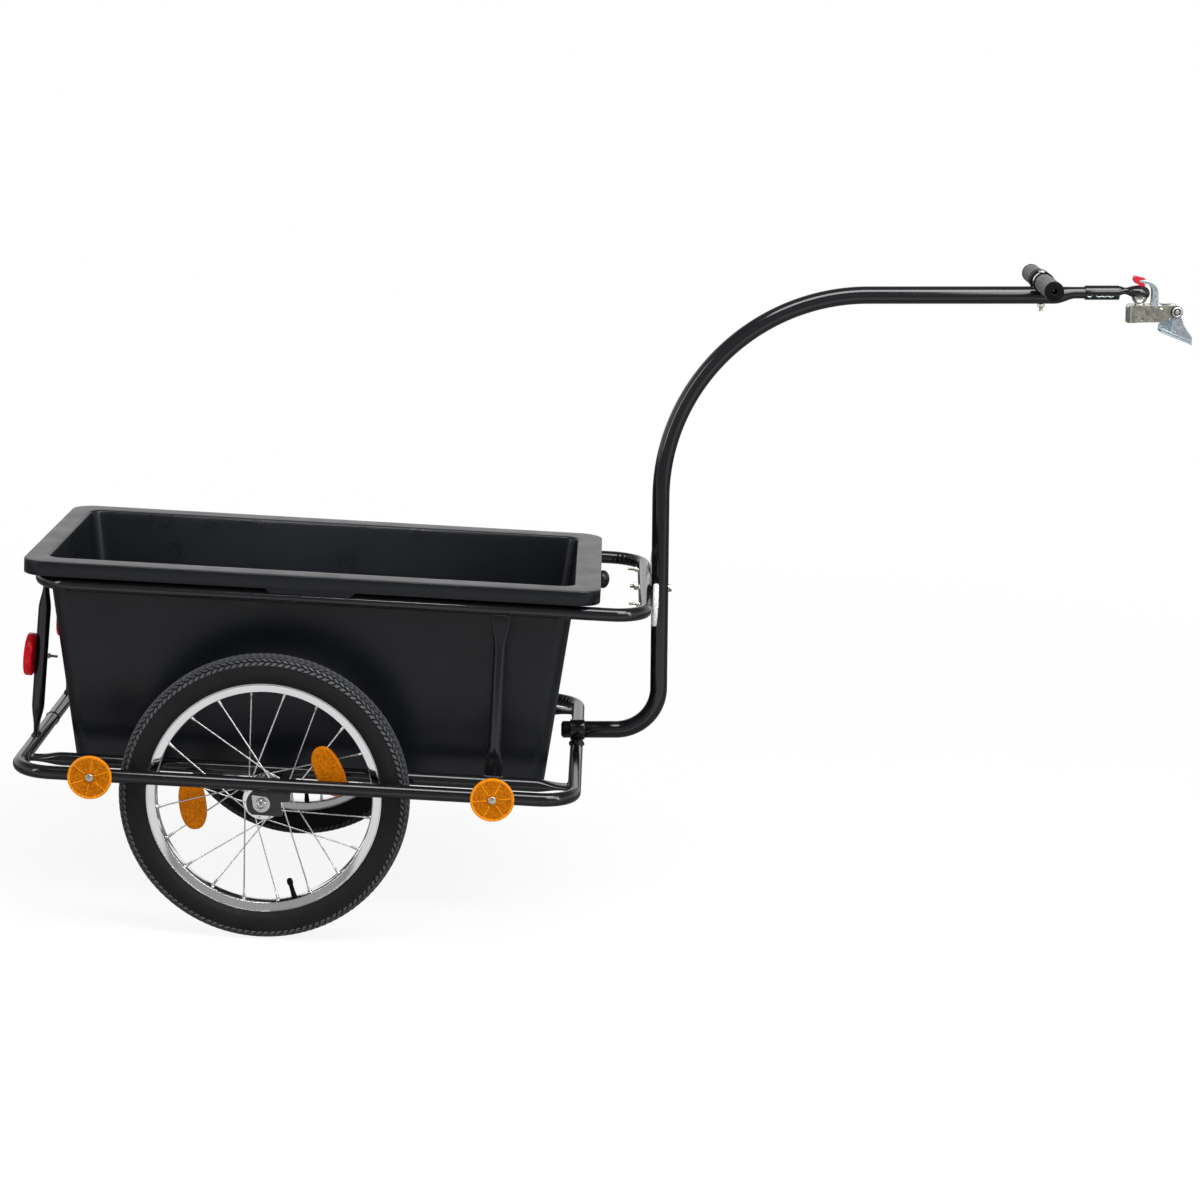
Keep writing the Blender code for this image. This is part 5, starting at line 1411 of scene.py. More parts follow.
    def plates(self, side: Side) -> list[list[Vector]]:
        """The two axle plates of one side.

        Args:
            side: The side.

        Returns:
            Their weld lines.
        """
        lines = []
        for rank, y in (("outer", self.lower_half), ("inner", self.rail_y)):
            node = "axle_plate_%s_%s" % (rank, side.label)
            y *= side.value
            sheet = prism(self.plate_outline(), y - self.plate_half, y + self.plate_half,
                          [(0.0, 0.0, self.axle_hole)])
            self.shop.piece(node + "_sheet", sheet, [node], edge=self.plate_edge,
                            place=Matrix.Translation(self.point(0, 0, self.axle_z)))
            for face in (-1, 1):
                lines.append([self.point(x, y + face * (self.plate_half + self.bead_lift),
                                         self.lower_z - self.tube + 0.0002)
                              for x in (-self.plate_radius * 0.55, self.plate_front - 0.001)])
        return lines

    def plate_outline(self) -> Outline:
        """Outline of an axle plate about its axle.

        Returns:
            (x, z) points: round at the back, with a notch at the front.
        """
        back = arc((0.0, 0.0), self.plate_radius, 232, 128, 24)
        top = self.rail_rise - self.tube * 0.6
        front = rounded([(self.plate_front, top), (self.plate_front, self.axle_hole),
                         (self.plate_notch, self.axle_hole / 2),
                         (self.plate_toe, -self.plate_bottom), back[0]],
                        self.plate_corner, closed=False)
        return back + [(-self.plate_radius * 0.6, top)] + front[:-1]


# Wheels

@dataclass
class Wheel(Assembly):
    """A laced wheel; its meshes are made round its own centre with the axle along Y.

    Attributes:
        side: Which wheel it is.
        centre: Its centre.
        valve: Angle of its valve from +X towards +Z, in degrees.
        radius, half_width: The tyre's.
        crown: Height of the tread over the casing.
        belly_radius: Radius at which the tyre is widest.
        shoulder_line, side_lines: Moulded lines: point of the profile and height.
        pitches: Tread pitches round the tyre.
        blocks: Tread blocks: near edge, far edge, slant and length in pitches, height.
        cross: Angle in degrees between a spoke's two ends.
        group: Spokes after which the lacing repeats.
        nipple: (place, radius) of a nipple's profile.
        eyelet: (radius over the nipple's, height) of an eyelet's profile.
        valve_cap: (share of the valve's radius, place from its tip) of its cap's profile.
    """

    side: Side
    centre: Vector
    valve: float
    radius: float = 0.2025
    half_width: float = 0.0225
    crown: float = 0.0012
    belly_radius: float = 0.1815
    bead_radius: float = 0.1650
    bead_half: float = 0.0104
    bead_depth: float = 0.0065
    wall: float = 0.0030
    shoulder_line: tuple[int, float] = (17, 0.0005)
    side_lines: tuple[tuple[int, float], ...] = ((8, 0.0004), (10, 0.0006))
    pitches: int = 132
    block_taper: float = 0.0004
    block_foot: float = 0.0008
    blocks: tuple[tuple[float, ...], ...] = (
        (0.0004, 0.0064, 0.50, 0.64, 0.0012), (0.0080, 0.0126, 0.60, 0.62, 0.0016),
        (0.0139, 0.0171, -0.55, 0.62, 0.0022), (0.0181, 0.0207, 0.45, 0.64, 0.0024))
    rim_radius: float = 0.1642
    rim_depth: float = 0.0142
    rim_half: float = 0.0130
    rim_wall: float = 0.0020
    spoke_radius: float = 0.0010
    spoke_count: int = 20
    group: int = 4
    cross: float = 72.0
    nipple_radius: float = 0.0021
    nipple_length: float = 0.0120
    nipple_spread: float = 0.0030
    nipple: Outline = ((0.0, 0.0012), (0.0004, 0.0017), (0.0055, 0.0017), (0.0062, 0.0021),
                       (0.0120, 0.0021))
    eyelet: Outline = ((0.0, -0.0006), (0.0014, -0.0004), (0.0012, 0.0006), (0.0, 0.0010))
    hub_half: float = 0.0350
    hub_body: float = 0.0125
    hub_end: float = 0.0095
    hub_step: float = 0.0040
    flange_radius: float = 0.0280
    flange: float = 0.0030
    flange_spread: float = 0.0220
    flange_dish: float = 0.0004
    hole_circle: float = 0.0250
    bore: float = 0.0053
    valve_radius: float = 0.0040
    valve_length: float = 0.0270
    valve_cap: Outline = ((0.0, 0.0), (0.55, 0.0002), (0.86, 0.0012), (1.0, 0.0032),
                          (1.0, 0.0085), (0.92, 0.0088), (0.78, 0.0092))
    cap_ribs: int = 12
    tube_section: float = 0.0112

    @property
    def place(self) -> Matrix:
        """The wheel's place."""
        return Matrix.Translation(self.centre)

    @property
    def rim_floor(self) -> float:
        """Radius of the rim's inner face."""
        return self.rim_radius - self.rim_depth

    def build(self) -> None:
        """Make every piece of the wheel."""
        self.tyre()
        self.rim()
        self.hub()
        self.spokes()
        self.air_tube()

    def add(self, stem: str, shape: BMesh | Mesh, slot: Slot, node: str = "",
            smooth: float = 35.0, look: Look | None = None) -> None:
        """Hang a shape that is made round the wheel's own centre.

        Args:
            stem: The piece's name without its side.
            shape: The shape.
            slot: Its finish.
            node: CAD node that it stands for, without its side.
            smooth: Angle in degrees past which an edge is sharp.
            look: A finish of its own.
        """
        nodes = ["%s_%s" % (node, self.side.label)] if node else []
        self.shop.piece("%s_%s" % (stem, self.side.label), shape, nodes, slot, self.side.wheel,
                        self.place, smooth, look=look)

    def around(self, profile: Outline, sides: int) -> BMesh:
        """Turn a closed (radius, y) profile round the axle."""
        return placed(turned(profile, sides, closed=True), Matrix.Rotation(-pi / 2, 4, "X"))

    def copied(self, unit: BMesh, smooth: float, look: Look, count: int) -> Mesh:
        """A shape copied evenly round the axle.

        Args:
            unit: The shape.
            smooth: Angle in degrees past which an edge is sharp.
            look: Its finish.
            count: Number of copies.

        Returns:
            All the copies.
        """
        return self.shop.ring.grow(shaded_mesh(unit, smooth), self.shop.finishes[look],
                                   {"Count": count, "Step": 2 * pi / count})

    def polar(self, radius: float, degrees: float, y: float) -> Vector:
        """A point in the wheel's plane: angle from +X towards +Z."""
        return Vector((radius * cos(radians(degrees)), y, radius * sin(radians(degrees))))

    def crown_radius(self, y: float) -> float:
        """Radius of the tyre's casing at a distance from its middle plane.

        Args:
            y: The distance.

        Returns:
            The radius.
        """
        share = min(abs(y) / self.half_width, 1.0)
        rise = self.radius - self.crown - self.belly_radius
        return self.belly_radius + rise * (1 - share ** 2.3) ** (1 / 2.1)

    def tread_point(self, angle: float, y: float, lift: float) -> Vector:
        """A point over the casing.

        Args:
            angle: Angle round the axle in radians.
            y: Distance from the middle plane.
            lift: Height over the casing.

        Returns:
            The point, round the wheel's own centre.
        """
        step = 0.0002
        slope = (self.crown_radius(abs(y) + step) - self.crown_radius(abs(y) - step)) / (2 * step)
        if y < 0:
            slope = -slope
        length = hypot(1.0, slope)
        radius = self.crown_radius(y) + lift / length
        return Vector((radius * cos(angle), y - lift * slope / length, radius * sin(angle)))

    def tyre(self) -> None:
        """The casing, and its tread of slanted blocks."""
        outer = [(self.crown_radius(self.half_width * sin(a)), self.half_width * sin(a))
                 for a in turns(0.0, pi / 2, 22)]
        line = list(outer)
        spot, lift = self.shoulder_line
        line[spot] = (line[spot][0] + lift, line[spot][1] + lift)
        low = [(self.belly_radius - (self.belly_radius - self.bead_radius) * sin(a),
                self.bead_half + (self.half_width - self.bead_half) * cos(a) ** 0.8)
               for a in turns(0.0, pi / 2, 12)[1:]]
        for spot, lift in self.side_lines:
            low[spot] = (low[spot][0], low[spot][1] + lift)
        bead = [(self.rim_radius - self.bead_depth, self.bead_half)]
        half = line + low + bead
        inner = [(radius - self.wall if radius > self.rim_radius else radius,
                  max(y - self.wall, 0.004)) for radius, y in (bead + low[::-2] + outer[::-4])]
        inner[-1] = (inner[-1][0], 0.0)
        profile = reflected(half[1:]) + half + inner + reflected(inner[:-1])
        self.add("tyre_casing", self.around(profile, 144), Slot.TYRE, "tyre")
        # The blocks take the lighter tread finish: painted light on their tops.
        unit = joined(*[self.block(mirror, *block) for mirror in (1, -1) for block in self.blocks])
        self.add("tyre_tread", self.copied(unit, 20.0, Look.TREAD, self.pitches), Slot.TYRE,
                 look=Look.TREAD)

    def block(self, mirror: int, near: float, far: float, slant: float, share: float,
              height: float) -> BMesh:
        """One tapered tread block.

        Args:
            mirror: 1 on the left half of the tread, -1 on the right, half a pitch on.
            near: Its edge nearer the middle plane.
            far: Its outer edge.
            slant: How far it leans round the wheel, in pitches.
            share: Its length, in pitches.
            height: Its height over the casing.

        Returns:
            The block.
        """
        pitch, lean = 2 * pi / self.pitches, self.block_taper / self.radius
        start = 0.5 if mirror < 0 else 0.0
        rings = []
        for lift, inset in ((-self.block_foot, 0.0), (height * 0.75, 0.35), (height, 1.0)):
            rings.append([self.tread_point(pitch * (start + turn) + way_a * inset * lean,
                                           mirror * (edge + way_y * inset * self.block_taper), lift)
                          for edge, turn, way_y, way_a in (
                              (near, 0.0, 1, 1), (far, slant, -1, 1),
                              (far, slant + share, -1, -1), (near, share, 1, -1))])
        return loft(rings)

    def rim(self) -> None:
        """The rim: flat polished sides, a well for the tyre and rolled edges."""
        floor, half, edge, wall = self.rim_floor, self.rim_half, self.rim_radius, self.rim_wall
        outside = rounded([(floor, 0.0), (floor + 0.0003, half * 0.60),
                           (floor + 0.0016, half * 0.83), (floor + 0.0040, half * 0.875),
                           (edge - 0.0030, half), (edge - 0.0022, half),
                           (edge - 0.0019, half - 0.0007), (edge - 0.0014, half - 0.0007),
                           (edge - 0.0012, half), (edge, half), (edge, half - wall),
                           (floor + wall * 2, half - wall), (floor + wall * 1.4, 0.0)],
                          0.0010, closed=False)
        self.add("rim_hoop", self.around(outside + reflected(outside[1:-1]), 160), Slot.CHROME,
                 "rim", smooth=40)
        eyelets = []
        for index in range(self.spoke_count):
            flange, angle = self.spoke_end(index)
            ring = turned([(self.nipple_radius + out, height) for out, height in self.eyelet],
                          16, closed=True)
            turn = UP.rotation_difference(-self.polar(1.0, angle, 0.0)).to_matrix().to_4x4()
            point = self.polar(floor, angle, flange * self.nipple_spread)
            eyelets.append(placed(ring, Matrix.Translation(point) @ turn))
        self.add("rim_eyelets", joined(*eyelets), Slot.CHROME)

    def hub(self) -> None:
        """The hub: flanges on a waisted barrel with its dust caps."""
        near = self.flange_spread - self.flange / 2
        far = self.flange_spread + self.flange / 2
        root = self.hub_body + self.hub_step
        half = rounded([(self.bore, self.hub_half), (self.hub_end, self.hub_half),
                        (self.hub_end, far + self.hub_step), (root, far + self.flange_dish),
                        (self.flange_radius, far), (self.flange_radius, near),
                        (root, near - self.flange_dish), (self.hub_body, near - self.hub_step),
                        (self.hub_body * 0.86, 0.0)], 0.0011, 3, closed=False)
        self.add("hub_shell", self.around(half + reflected(half[:-1]), 72), Slot.CHROME,
                 "spoked_hub", smooth=40)

    def spoke_end(self, index: int) -> tuple[int, float]:
        """A spoke's side of the hub, and the angle of its nipple in degrees."""
        return (1 if index % 2 else -1), self.valve + (index + 0.5) * 360 / self.spoke_count

    def spoke(self, index: int) -> BMesh:
        """One spoke: its head and bend at the flange, its run and its nipple.

        Args:
            index: Its number round the rim.

        Returns:
            The spoke.
        """
        flange, rim_angle = self.spoke_end(index)
        leading = 1 if index % 4 < 2 else -1
        start = self.polar(self.hole_circle, rim_angle + leading * self.cross,
                           flange * (self.flange_spread + leading * self.flange / 2))
        end = self.polar(self.rim_floor + 0.0004, rim_angle, flange * self.nipple_spread)
        along = (end - start).normalized()
        inwards = Vector((0, -flange * leading, 0))
        head = start + inwards * (self.flange + 0.0016)
        neck = end - along * self.nipple_length
        thin = self.spoke_radius
        stations = [(head, 0.0016), (head - inwards * 0.0007, 0.0017),
                    (head - inwards * 0.0010, thin), (start + inwards * 0.0006, thin),
                    (start + inwards * 0.0001 + along * 0.0003, thin),
                    (start + along * 0.0016, thin), (neck, thin)]
        wire = carried([point for point, _ in stations], Vector((0.3, 0.2, 1.0)).cross(inwards),
                       [circle(radius, 8) for _, radius in stations])
        side = along.cross(ACROSS).normalized()
        over = along.cross(side)
        rings = [[neck + along * place + side * a + over * b for a, b in circle(radius, 10)]
                 for place, radius in self.nipple]
        return joined(wire, loft(rings))

    def spokes(self) -> None:
        """All the spokes: one group, copied round the hub."""
        unit = joined(*[self.spoke(index) for index in range(self.group)])
        self.add("spokes", self.copied(unit, 50.0, Look.WIRE, self.spoke_count // self.group),
                 Slot.CHROME, look=Look.WIRE)

    def air_tube(self) -> None:
        """The air tube inside the tyre, and its valve with a ribbed cap."""
        reach = (self.rim_radius + self.radius) / 2
        section = [(reach - a, b) for a, b in circle(self.tube_section, 16)]
        base, r = self.rim_floor, self.valve_radius
        tip = base - self.valve_length
        stem = turned([(r * share, tip + rise) for share, rise in self.valve_cap]
                      + [(r * 0.80, base - 0.008), (r * 0.98, base - 0.001),
                         (r * 0.98, base + 0.006), (0.0, base + 0.006)], 24)
        ribs = []
        for angle in turns(0.0, 2 * pi, self.cap_ribs)[:-1]:
            ribs.append(loft([[((r + out) * cos(angle + turn), (r + out) * sin(angle + turn), z)
                               for out, turn in ((-0.0005, -0.10), (0.00025, -0.05),
                                                 (0.00025, 0.05), (-0.0005, 0.10))]
                              for z in (tip + 0.0034, tip + 0.0083)]))
        point = Matrix.Rotation(radians(90 - self.valve), 4, "Y")
        whole = joined(self.around(section, 96), placed(joined(stem, *ribs), point))
        self.add("air_tube_and_valve", whole, Slot.RUBBER, "inner_tube")


@dataclass
class AxleHardware(Assembly):
    """An axle bolt with its head, tab washer and nut, along Y.

    Attributes:
        side: Which wheel's it is.
        centre: The axle line's point at the trailer's middle.
        outer: Distance from the middle to the tab washer's seat.
        inner: Distance to the head's seat on the wheel's other side.
    """

    side: Side
    centre: Vector
    outer: float
    inner: float
    size: float = 0.0140
    head: float = 0.0060
    nut: float = 0.0070
    tip: float = 0.0020
    radius: float = 0.0050
    collar: tuple[float, float, float] = (0.62, 0.60, 0.0016)
    washer_radius: float = 0.0120
    washer: float = 0.0015

    def add(self, stem: str, shape: BMesh, node: str, place: Matrix, edge: float = 0.0) -> None:
        """Hang a bright plated piece on the chassis.

        Args:
            stem: The piece's name without its side.
            shape: The shape.
            node: CAD node that it stands for, without its side.
            place: Where it goes.
            edge: Width of the rounded edges; 0 leaves them.
        """
        self.shop.piece("%s_%s" % (stem, self.side.label), shape,
                        ["%s_%s" % (node, self.side.label)], Slot.STEEL, place=place, edge=edge,
                        look=Look.BRIGHT)

    def build(self) -> None:
        """Make the bolt, the washer and the nut."""
        sign, r, bore = self.side.value, self.radius, self.radius + GAP
        place = along_y(*self.centre, sign)
        seat = self.outer + self.washer + GAP
        end = seat + self.nut + self.tip
        shank = turned([(0.0, end)] + [(r * sin(a), end - r * 0.45 * (1 - cos(a)))
                                       for a in (0.4, 0.8, 1.2)]
                       + [(r * 0.98, end - 0.0028), (r * 0.98, self.inner), (0.0, self.inner)],
                       32)
        head = hexagon(self.size, self.inner - self.head, self.inner)
        self.add("axle", joined(shank, head), "axle_bolt", place)
        foot, shoulder, rise = self.collar
        collar = turned(rounded([(bore, seat), (self.size * foot, seat),
                                 (self.size * shoulder, seat + rise), (bore, seat + rise)],
                                0.0004, 2), 40, closed=True)
        self.add("axle_nut_piece", joined(hexagon(self.size, seat, seat + self.nut, bore), collar),
                 "axle_nut", place)
        tab = [(-self.washer_radius * 1.15, self.washer_radius)]
        outline = rounded(tab + arc((0.0, 0.0), self.washer_radius, 200, 420, 30), 0.002)
        low, high = sorted((sign * self.outer, sign * (self.outer + self.washer)))
        self.add("tab_washer_piece", prism(outline, low, high, [(0.0, 0.0, bore)]),
                 "tab_washer", Matrix.Translation(self.centre), 0.0003)


# Reflectors

@dataclass
class RoundReflector(Assembly):
    """A round bolt-on reflector, made along +Z.

    Attributes:
        node: CAD node that it stands for.
        slot: Its lens.
        place: Its place; +Z is its front.
        depth: Height of its face.
        through: Thickness of the tube that it is bolted to.
        tail: How far the screw stands out of its nut.
        turn: Turn of its ribs, in degrees.
        rim: (inset from the edge, height, counted from the front where negative) of its rim.
        rib: (side, height over the face) of a rib's section.
        cross: Half length and half width of the arms of the screw's cross recess.
    """

    node: str
    slot: Slot
    place: Matrix
    depth: float
    through: float
    tail: float
    turn: float = 15.0
    radius: float = 0.0305
    sunk: float = 0.0010
    button: tuple[float, float] = (0.0085, 0.0078)
    button_sunk: float = 0.0004
    rim: Outline = ((0.0036, GAP), (0.0030, GAP), (0.0008, 0.0016), (0.0, 0.0030),
                    (0.0, -0.0018), (0.0005, -0.0006), (0.0014, -0.0001), (0.0026, -0.0003),
                    (0.0036, -0.0010))
    ribs: int = 6
    rib: Outline = ((-0.0009, -0.0003), (-0.0004, 0.0006), (0.0004, 0.0006), (0.0009, -0.0003))
    screw_head: float = 0.0055
    screw_dome: float = 0.0018
    screw: float = 0.0020
    cross: tuple[float, float] = (0.0034, 0.0006)
    nut_size: float = 0.0070
    nut: float = 0.0032

    def build(self) -> None:
        """Make the lens, its rim with the ribs, and its screw with the nut."""
        deep, inside = self.depth, self.radius - 0.0034
        face, seat = deep - self.sunk, deep - self.button_sunk
        disc = turned([(0.0, GAP), (inside, GAP), (inside, face), (self.button[0], face),
                       (self.button[1], seat), (0.0, seat)], 96)
        self.shop.piece(self.node + "_lens", disc, [self.node], self.slot, place=self.place,
                        smooth=30)
        parts = [turned([(self.radius - inset, z if z > 0.0 else deep + z)
                         for inset, z in self.rim], 96, closed=True)]
        for angle in turns(0.0, 2 * pi, self.ribs)[:-1]:
            c, s = cos(angle + radians(self.turn)), sin(angle + radians(self.turn))
            parts.append(loft([[(reach * c - a * s, reach * s + a * c, face + b)
                                for a, b in self.rib]
                               for reach in (0.0070, self.radius - 0.0030)]))
        # The amber ribs and rim take a lighter copy of the lens plastic: painted light.
        self.shop.piece(self.node + "_lens_ribs", joined(*parts), slot=self.slot,
                        place=self.place, smooth=30,
                        look=Look.RIB if self.slot is Slot.AMBER else None)
        head = round_head(self.screw_head, self.screw_dome + 0.0004, self.screw_dome * 0.8, seat)
        long, wide = self.screw_head * 0.62, self.cross[1]
        arms = [placed(loft([[(x * s, y * s, z) for x, y in ((-long, -wide), (long, -wide),
                                                             (long, wide), (-long, wide))]
                             for z, s in ((deep + self.screw_dome * 0.25, 0.55),
                                          (deep + 0.01, 1.3))]), Matrix.Rotation(turn, 4, "Z"))
                for turn in (0.5, 0.5 + pi / 2)]
        under = -self.through - GAP
        shank = thread(self.screw, under + GAP - self.nut - self.tail, 0.0002, 0.0007, down=True)
        nut = hexagon(self.nut_size, under - self.nut, under)
        self.shop.piece(self.node + "_screw",
                        joined(opened(self.shop.cut(head, arms)), shank, nut),
                        slot=Slot.ZINC, place=self.place)


@dataclass
class WheelReflector(Assembly):
    """An oval amber reflector that sits on the spokes.

    Attributes:
        wheel: Its wheel.
        rank: outer or inner.
        angle: Its place round the wheel, in degrees.
        low, high: Its lower and upper y in the wheel's frame.
        levels: (share of its depth, inset) of its profile.
    """

    wheel: Wheel
    rank: str
    angle: float
    low: float
    high: float
    radius: float = 0.1005
    length: float = 0.0740
    width: float = 0.0380
    levels: Outline = ((0.0, 0.0012), (0.06, 0.0), (0.70, 0.0), (0.86, 0.0004), (0.94, 0.0014),
                       (0.955, 0.0022), (0.93, 0.0028), (0.945, 0.0060), (0.965, 0.0120))

    def build(self) -> None:
        """Make the lens."""
        outwards = self.low + self.high > 0
        back, front = (self.low, self.high) if outwards else (self.high, self.low)
        rings = [[(x + self.radius, back + (front - back) * share, z) for x, z in
                  oval(self.width / 2 - inset, self.length / 2 - inset, 72, 0.85)]
                 for share, inset in self.levels]
        turn = Matrix.Rotation(-radians(self.wheel.valve + self.angle), 4, "Y")
        name = "wheel_reflector_%s_%s" % (self.rank, self.wheel.side.label)
        self.shop.piece(name + "_lens", loft(rings), [name], Slot.AMBER, self.wheel.side.wheel,
                        self.wheel.place @ turn, smooth=32)


# Drawbar and handle

@dataclass
class Drawbar(Assembly):
    """The bent tube that rises from the frame's nose, its collar, plug and bolts.

    Attributes:
        frame: The frame that it stands on.
        arm: Direction of its two arms.
        up: Direction square to them.
        collar: Middle of the collar.
        foot, head: Corners of its centreline, below and above the post.
        ball: Centre of the hitch ball.
    """

    frame: Frame
    radius: float = 0.0125
    arm_tilt: float = radians(3.3)
    post_lean: float = radians(2.8)
    stub_length: float = 0.0215
    stub_edge: float = 0.0006
    post_rise: float = 0.6737
    lower_bend: float = 0.0630
    upper_bend: float = 0.2950
    swage_radius: float = 0.0084
    swage_start: float = 0.1220
    swage_length: float = 0.0300
    swage_steps: int = 12
    ball_reach: float = 0.6802
    ball_drop: float = 0.0026
    sleeve_rear: float = 0.0783
    sleeve_lift: float = 0.0059
    collar_radius: float = 0.0150
    collar_length: float = 0.0212
    collar_lift: float = 0.0035
    foot_levels: Outline = ((0.0, 1.0), (0.35, 0.82), (0.62, 0.80), (0.80, 0.9))
    plug_head: float = 0.0025
    plug_radius: float = 0.0100
    plug_depth: float = 0.0120
    bolt_radius: float = 0.0030
    bolt_size: float = 0.0100
    bolt_head: float = 0.0042
    washer_radius: float = 0.0062
    washer: float = 0.0011
    nut_height: float = 0.0055
    bolt_tip: float = 0.0060
    arm: Vector = field(init=False)
    up: Vector = field(init=False)
    collar: Vector = field(init=False)
    foot: Vector = field(init=False)
    head: Vector = field(init=False)
    ball: Vector = field(init=False)

    def __post_init__(self) -> None:
        """Work out the corners of the tube's centreline and the ball's centre."""
        tubes, lean = self.frame, tan(self.post_lean)
        collar_x = tubes.lower_front
        collar_z = tubes.lower_z + tubes.tube + self.collar_lift + self.collar_radius
        post_x = tubes.upper_front + tubes.tube + (self.radius + GAP) / cos(self.post_lean)
        foot_x = foot_z = post_x
        for _ in range(4):
            foot_z = collar_z + (foot_x - collar_x) * tan(self.arm_tilt)
            foot_x = post_x + (tubes.upper_z - foot_z) * lean
        head_z = tubes.lower_z + self.post_rise
        self.arm = Vector((cos(self.arm_tilt), 0.0, sin(self.arm_tilt)))
        self.up = Vector((-sin(self.arm_tilt), 0.0, cos(self.arm_tilt)))
        self.collar = tubes.point(collar_x, 0.0, collar_z)
        self.foot = tubes.point(foot_x, 0.0, foot_z)
        self.head = tubes.point(post_x - (head_z - tubes.upper_z) * lean, 0.0, head_z)
        self.ball = self.head + self.arm * self.ball_reach - self.up * self.ball_drop

    def tilted(self, point: Vector) -> Matrix:
        """Place of a piece made along +Z so that it lies along the arm at a point."""
        return Matrix.Translation(point) @ Matrix.Rotation(pi / 2 - self.arm_tilt, 4, "Y")

    def local(self, point: Vector) -> Matrix:
        """Axes that are tilted with the arm, at a point."""
        return Matrix.Translation(point) @ Matrix.Rotation(-self.arm_tilt, 4, "Y")

    def build(self) -> None:
        """Make the tube, the plug, the collar and the bolts."""
        stub = self.collar - self.arm * self.stub_length
        self.tube(stub)
        head, rise = self.radius * 0.94, self.plug_head
        plug = turned([(0.0, -rise), (head * 0.6, -rise), (head * 0.84, -rise * 0.8),
                       (head * 0.97, -rise * 0.4), (head, -GAP), (self.plug_radius, -GAP),
                       (self.plug_radius, self.plug_depth), (0.0, self.plug_depth)], 40)
        self.shop.piece("drawbar_end_plug", plug, ["drawbar_plug"], Slot.RUBBER,
                        place=self.tilted(stub))
        self.collar_and_foot()
        self.bolts()

    def tube(self, stub: Vector) -> None:
        """The bent tube with its swaged front end.

        Args:
            stub: Its lower end.
        """
        taper = self.head + self.arm * (self.ball_reach - self.swage_start)
        lift = self.up * (self.sleeve_lift - self.ball_drop)
        end = self.head + self.arm * (self.ball_reach - self.sleeve_rear + 0.004)
        points = [stub, stub + self.arm * self.stub_edge]
        points += bend(self.foot, stub, self.head, self.lower_bend, 28)
        points += bend(self.head, self.foot, taper, self.upper_bend, 56)
        radii = [self.radius - self.stub_edge] + [self.radius] * (len(points) - 1)
        for step in range(self.swage_steps + 1):
            share = smoothstep(step / self.swage_steps)
            points.append(taper + self.arm * (self.swage_length * step / self.swage_steps)
                          + lift * share)
            radii.append(self.radius + (self.swage_radius - self.radius) * share)
        sections = [circle(radius, 40) for radius in radii + [self.swage_radius]]
        self.shop.piece("drawbar_bent_tube", carried(points + [end + lift], ACROSS, sections),
                        ["drawbar_tube"], smooth=50)

    def collar_and_foot(self) -> None:
        """The collar that holds the stub, with its foot and its weld."""
        half, outer = self.collar_length / 2, self.collar_radius
        collar = band(self.radius + GAP, outer, -half, half, 48, 0.0009)
        low = self.frame.point(self.frame.lower_front, 0.0, self.frame.lower_z)
        base = low.z + self.frame.tube * 0.6
        rise = self.collar.z - outer * 0.6 - base
        foot = loft([[(low.x + a, b, base + rise * height)
                      for a, b in oval(half * 0.86 * width, outer * 0.66 * width, 28, 0.6)]
                     for height, width in self.foot_levels])
        self.shop.piece("drawbar_collar_and_foot",
                        joined(placed(collar, self.tilted(self.collar)), foot),
                        ["drawbar_collar"], smooth=40)
        seam = [low + Vector((a, b, self.frame.tube - 0.0008 - abs(a) * 0.25))
                for a, b in oval(half * 0.92, outer * 0.70, 24, 0.7)]
        self.shop.beads("collar_welds", [seam + seam[:1]], 0.0020)

    def bolts(self) -> None:
        """The bolt through the post and the upper loop, and the nut behind the loop."""
        tubes = self.frame
        place = along_x(tubes.origin.x, 0.0, tubes.upper_z)
        rear = tubes.upper_front - tubes.tube - GAP
        front = tubes.upper_front + tubes.tube + 2 * self.radius + 3 * GAP
        back = rear - self.nut_height
        bolt = joined(thread(self.bolt_radius, back - self.bolt_tip, front, down=True),
                      hexagon(self.bolt_size, front, front + self.bolt_head),
                      band(self.bolt_radius, self.washer_radius, front - self.washer, front, 40,
                           0.0003, 2))
        self.shop.piece("drawbar_through_bolt", bolt, ["drawbar_bolt"], Slot.ZINC, place=place)
        nut = hexagon(self.bolt_size, back, rear, self.bolt_radius + GAP)
        self.shop.piece("drawbar_lock_nut", nut, ["drawbar_nut"], Slot.ZINC, place=place)


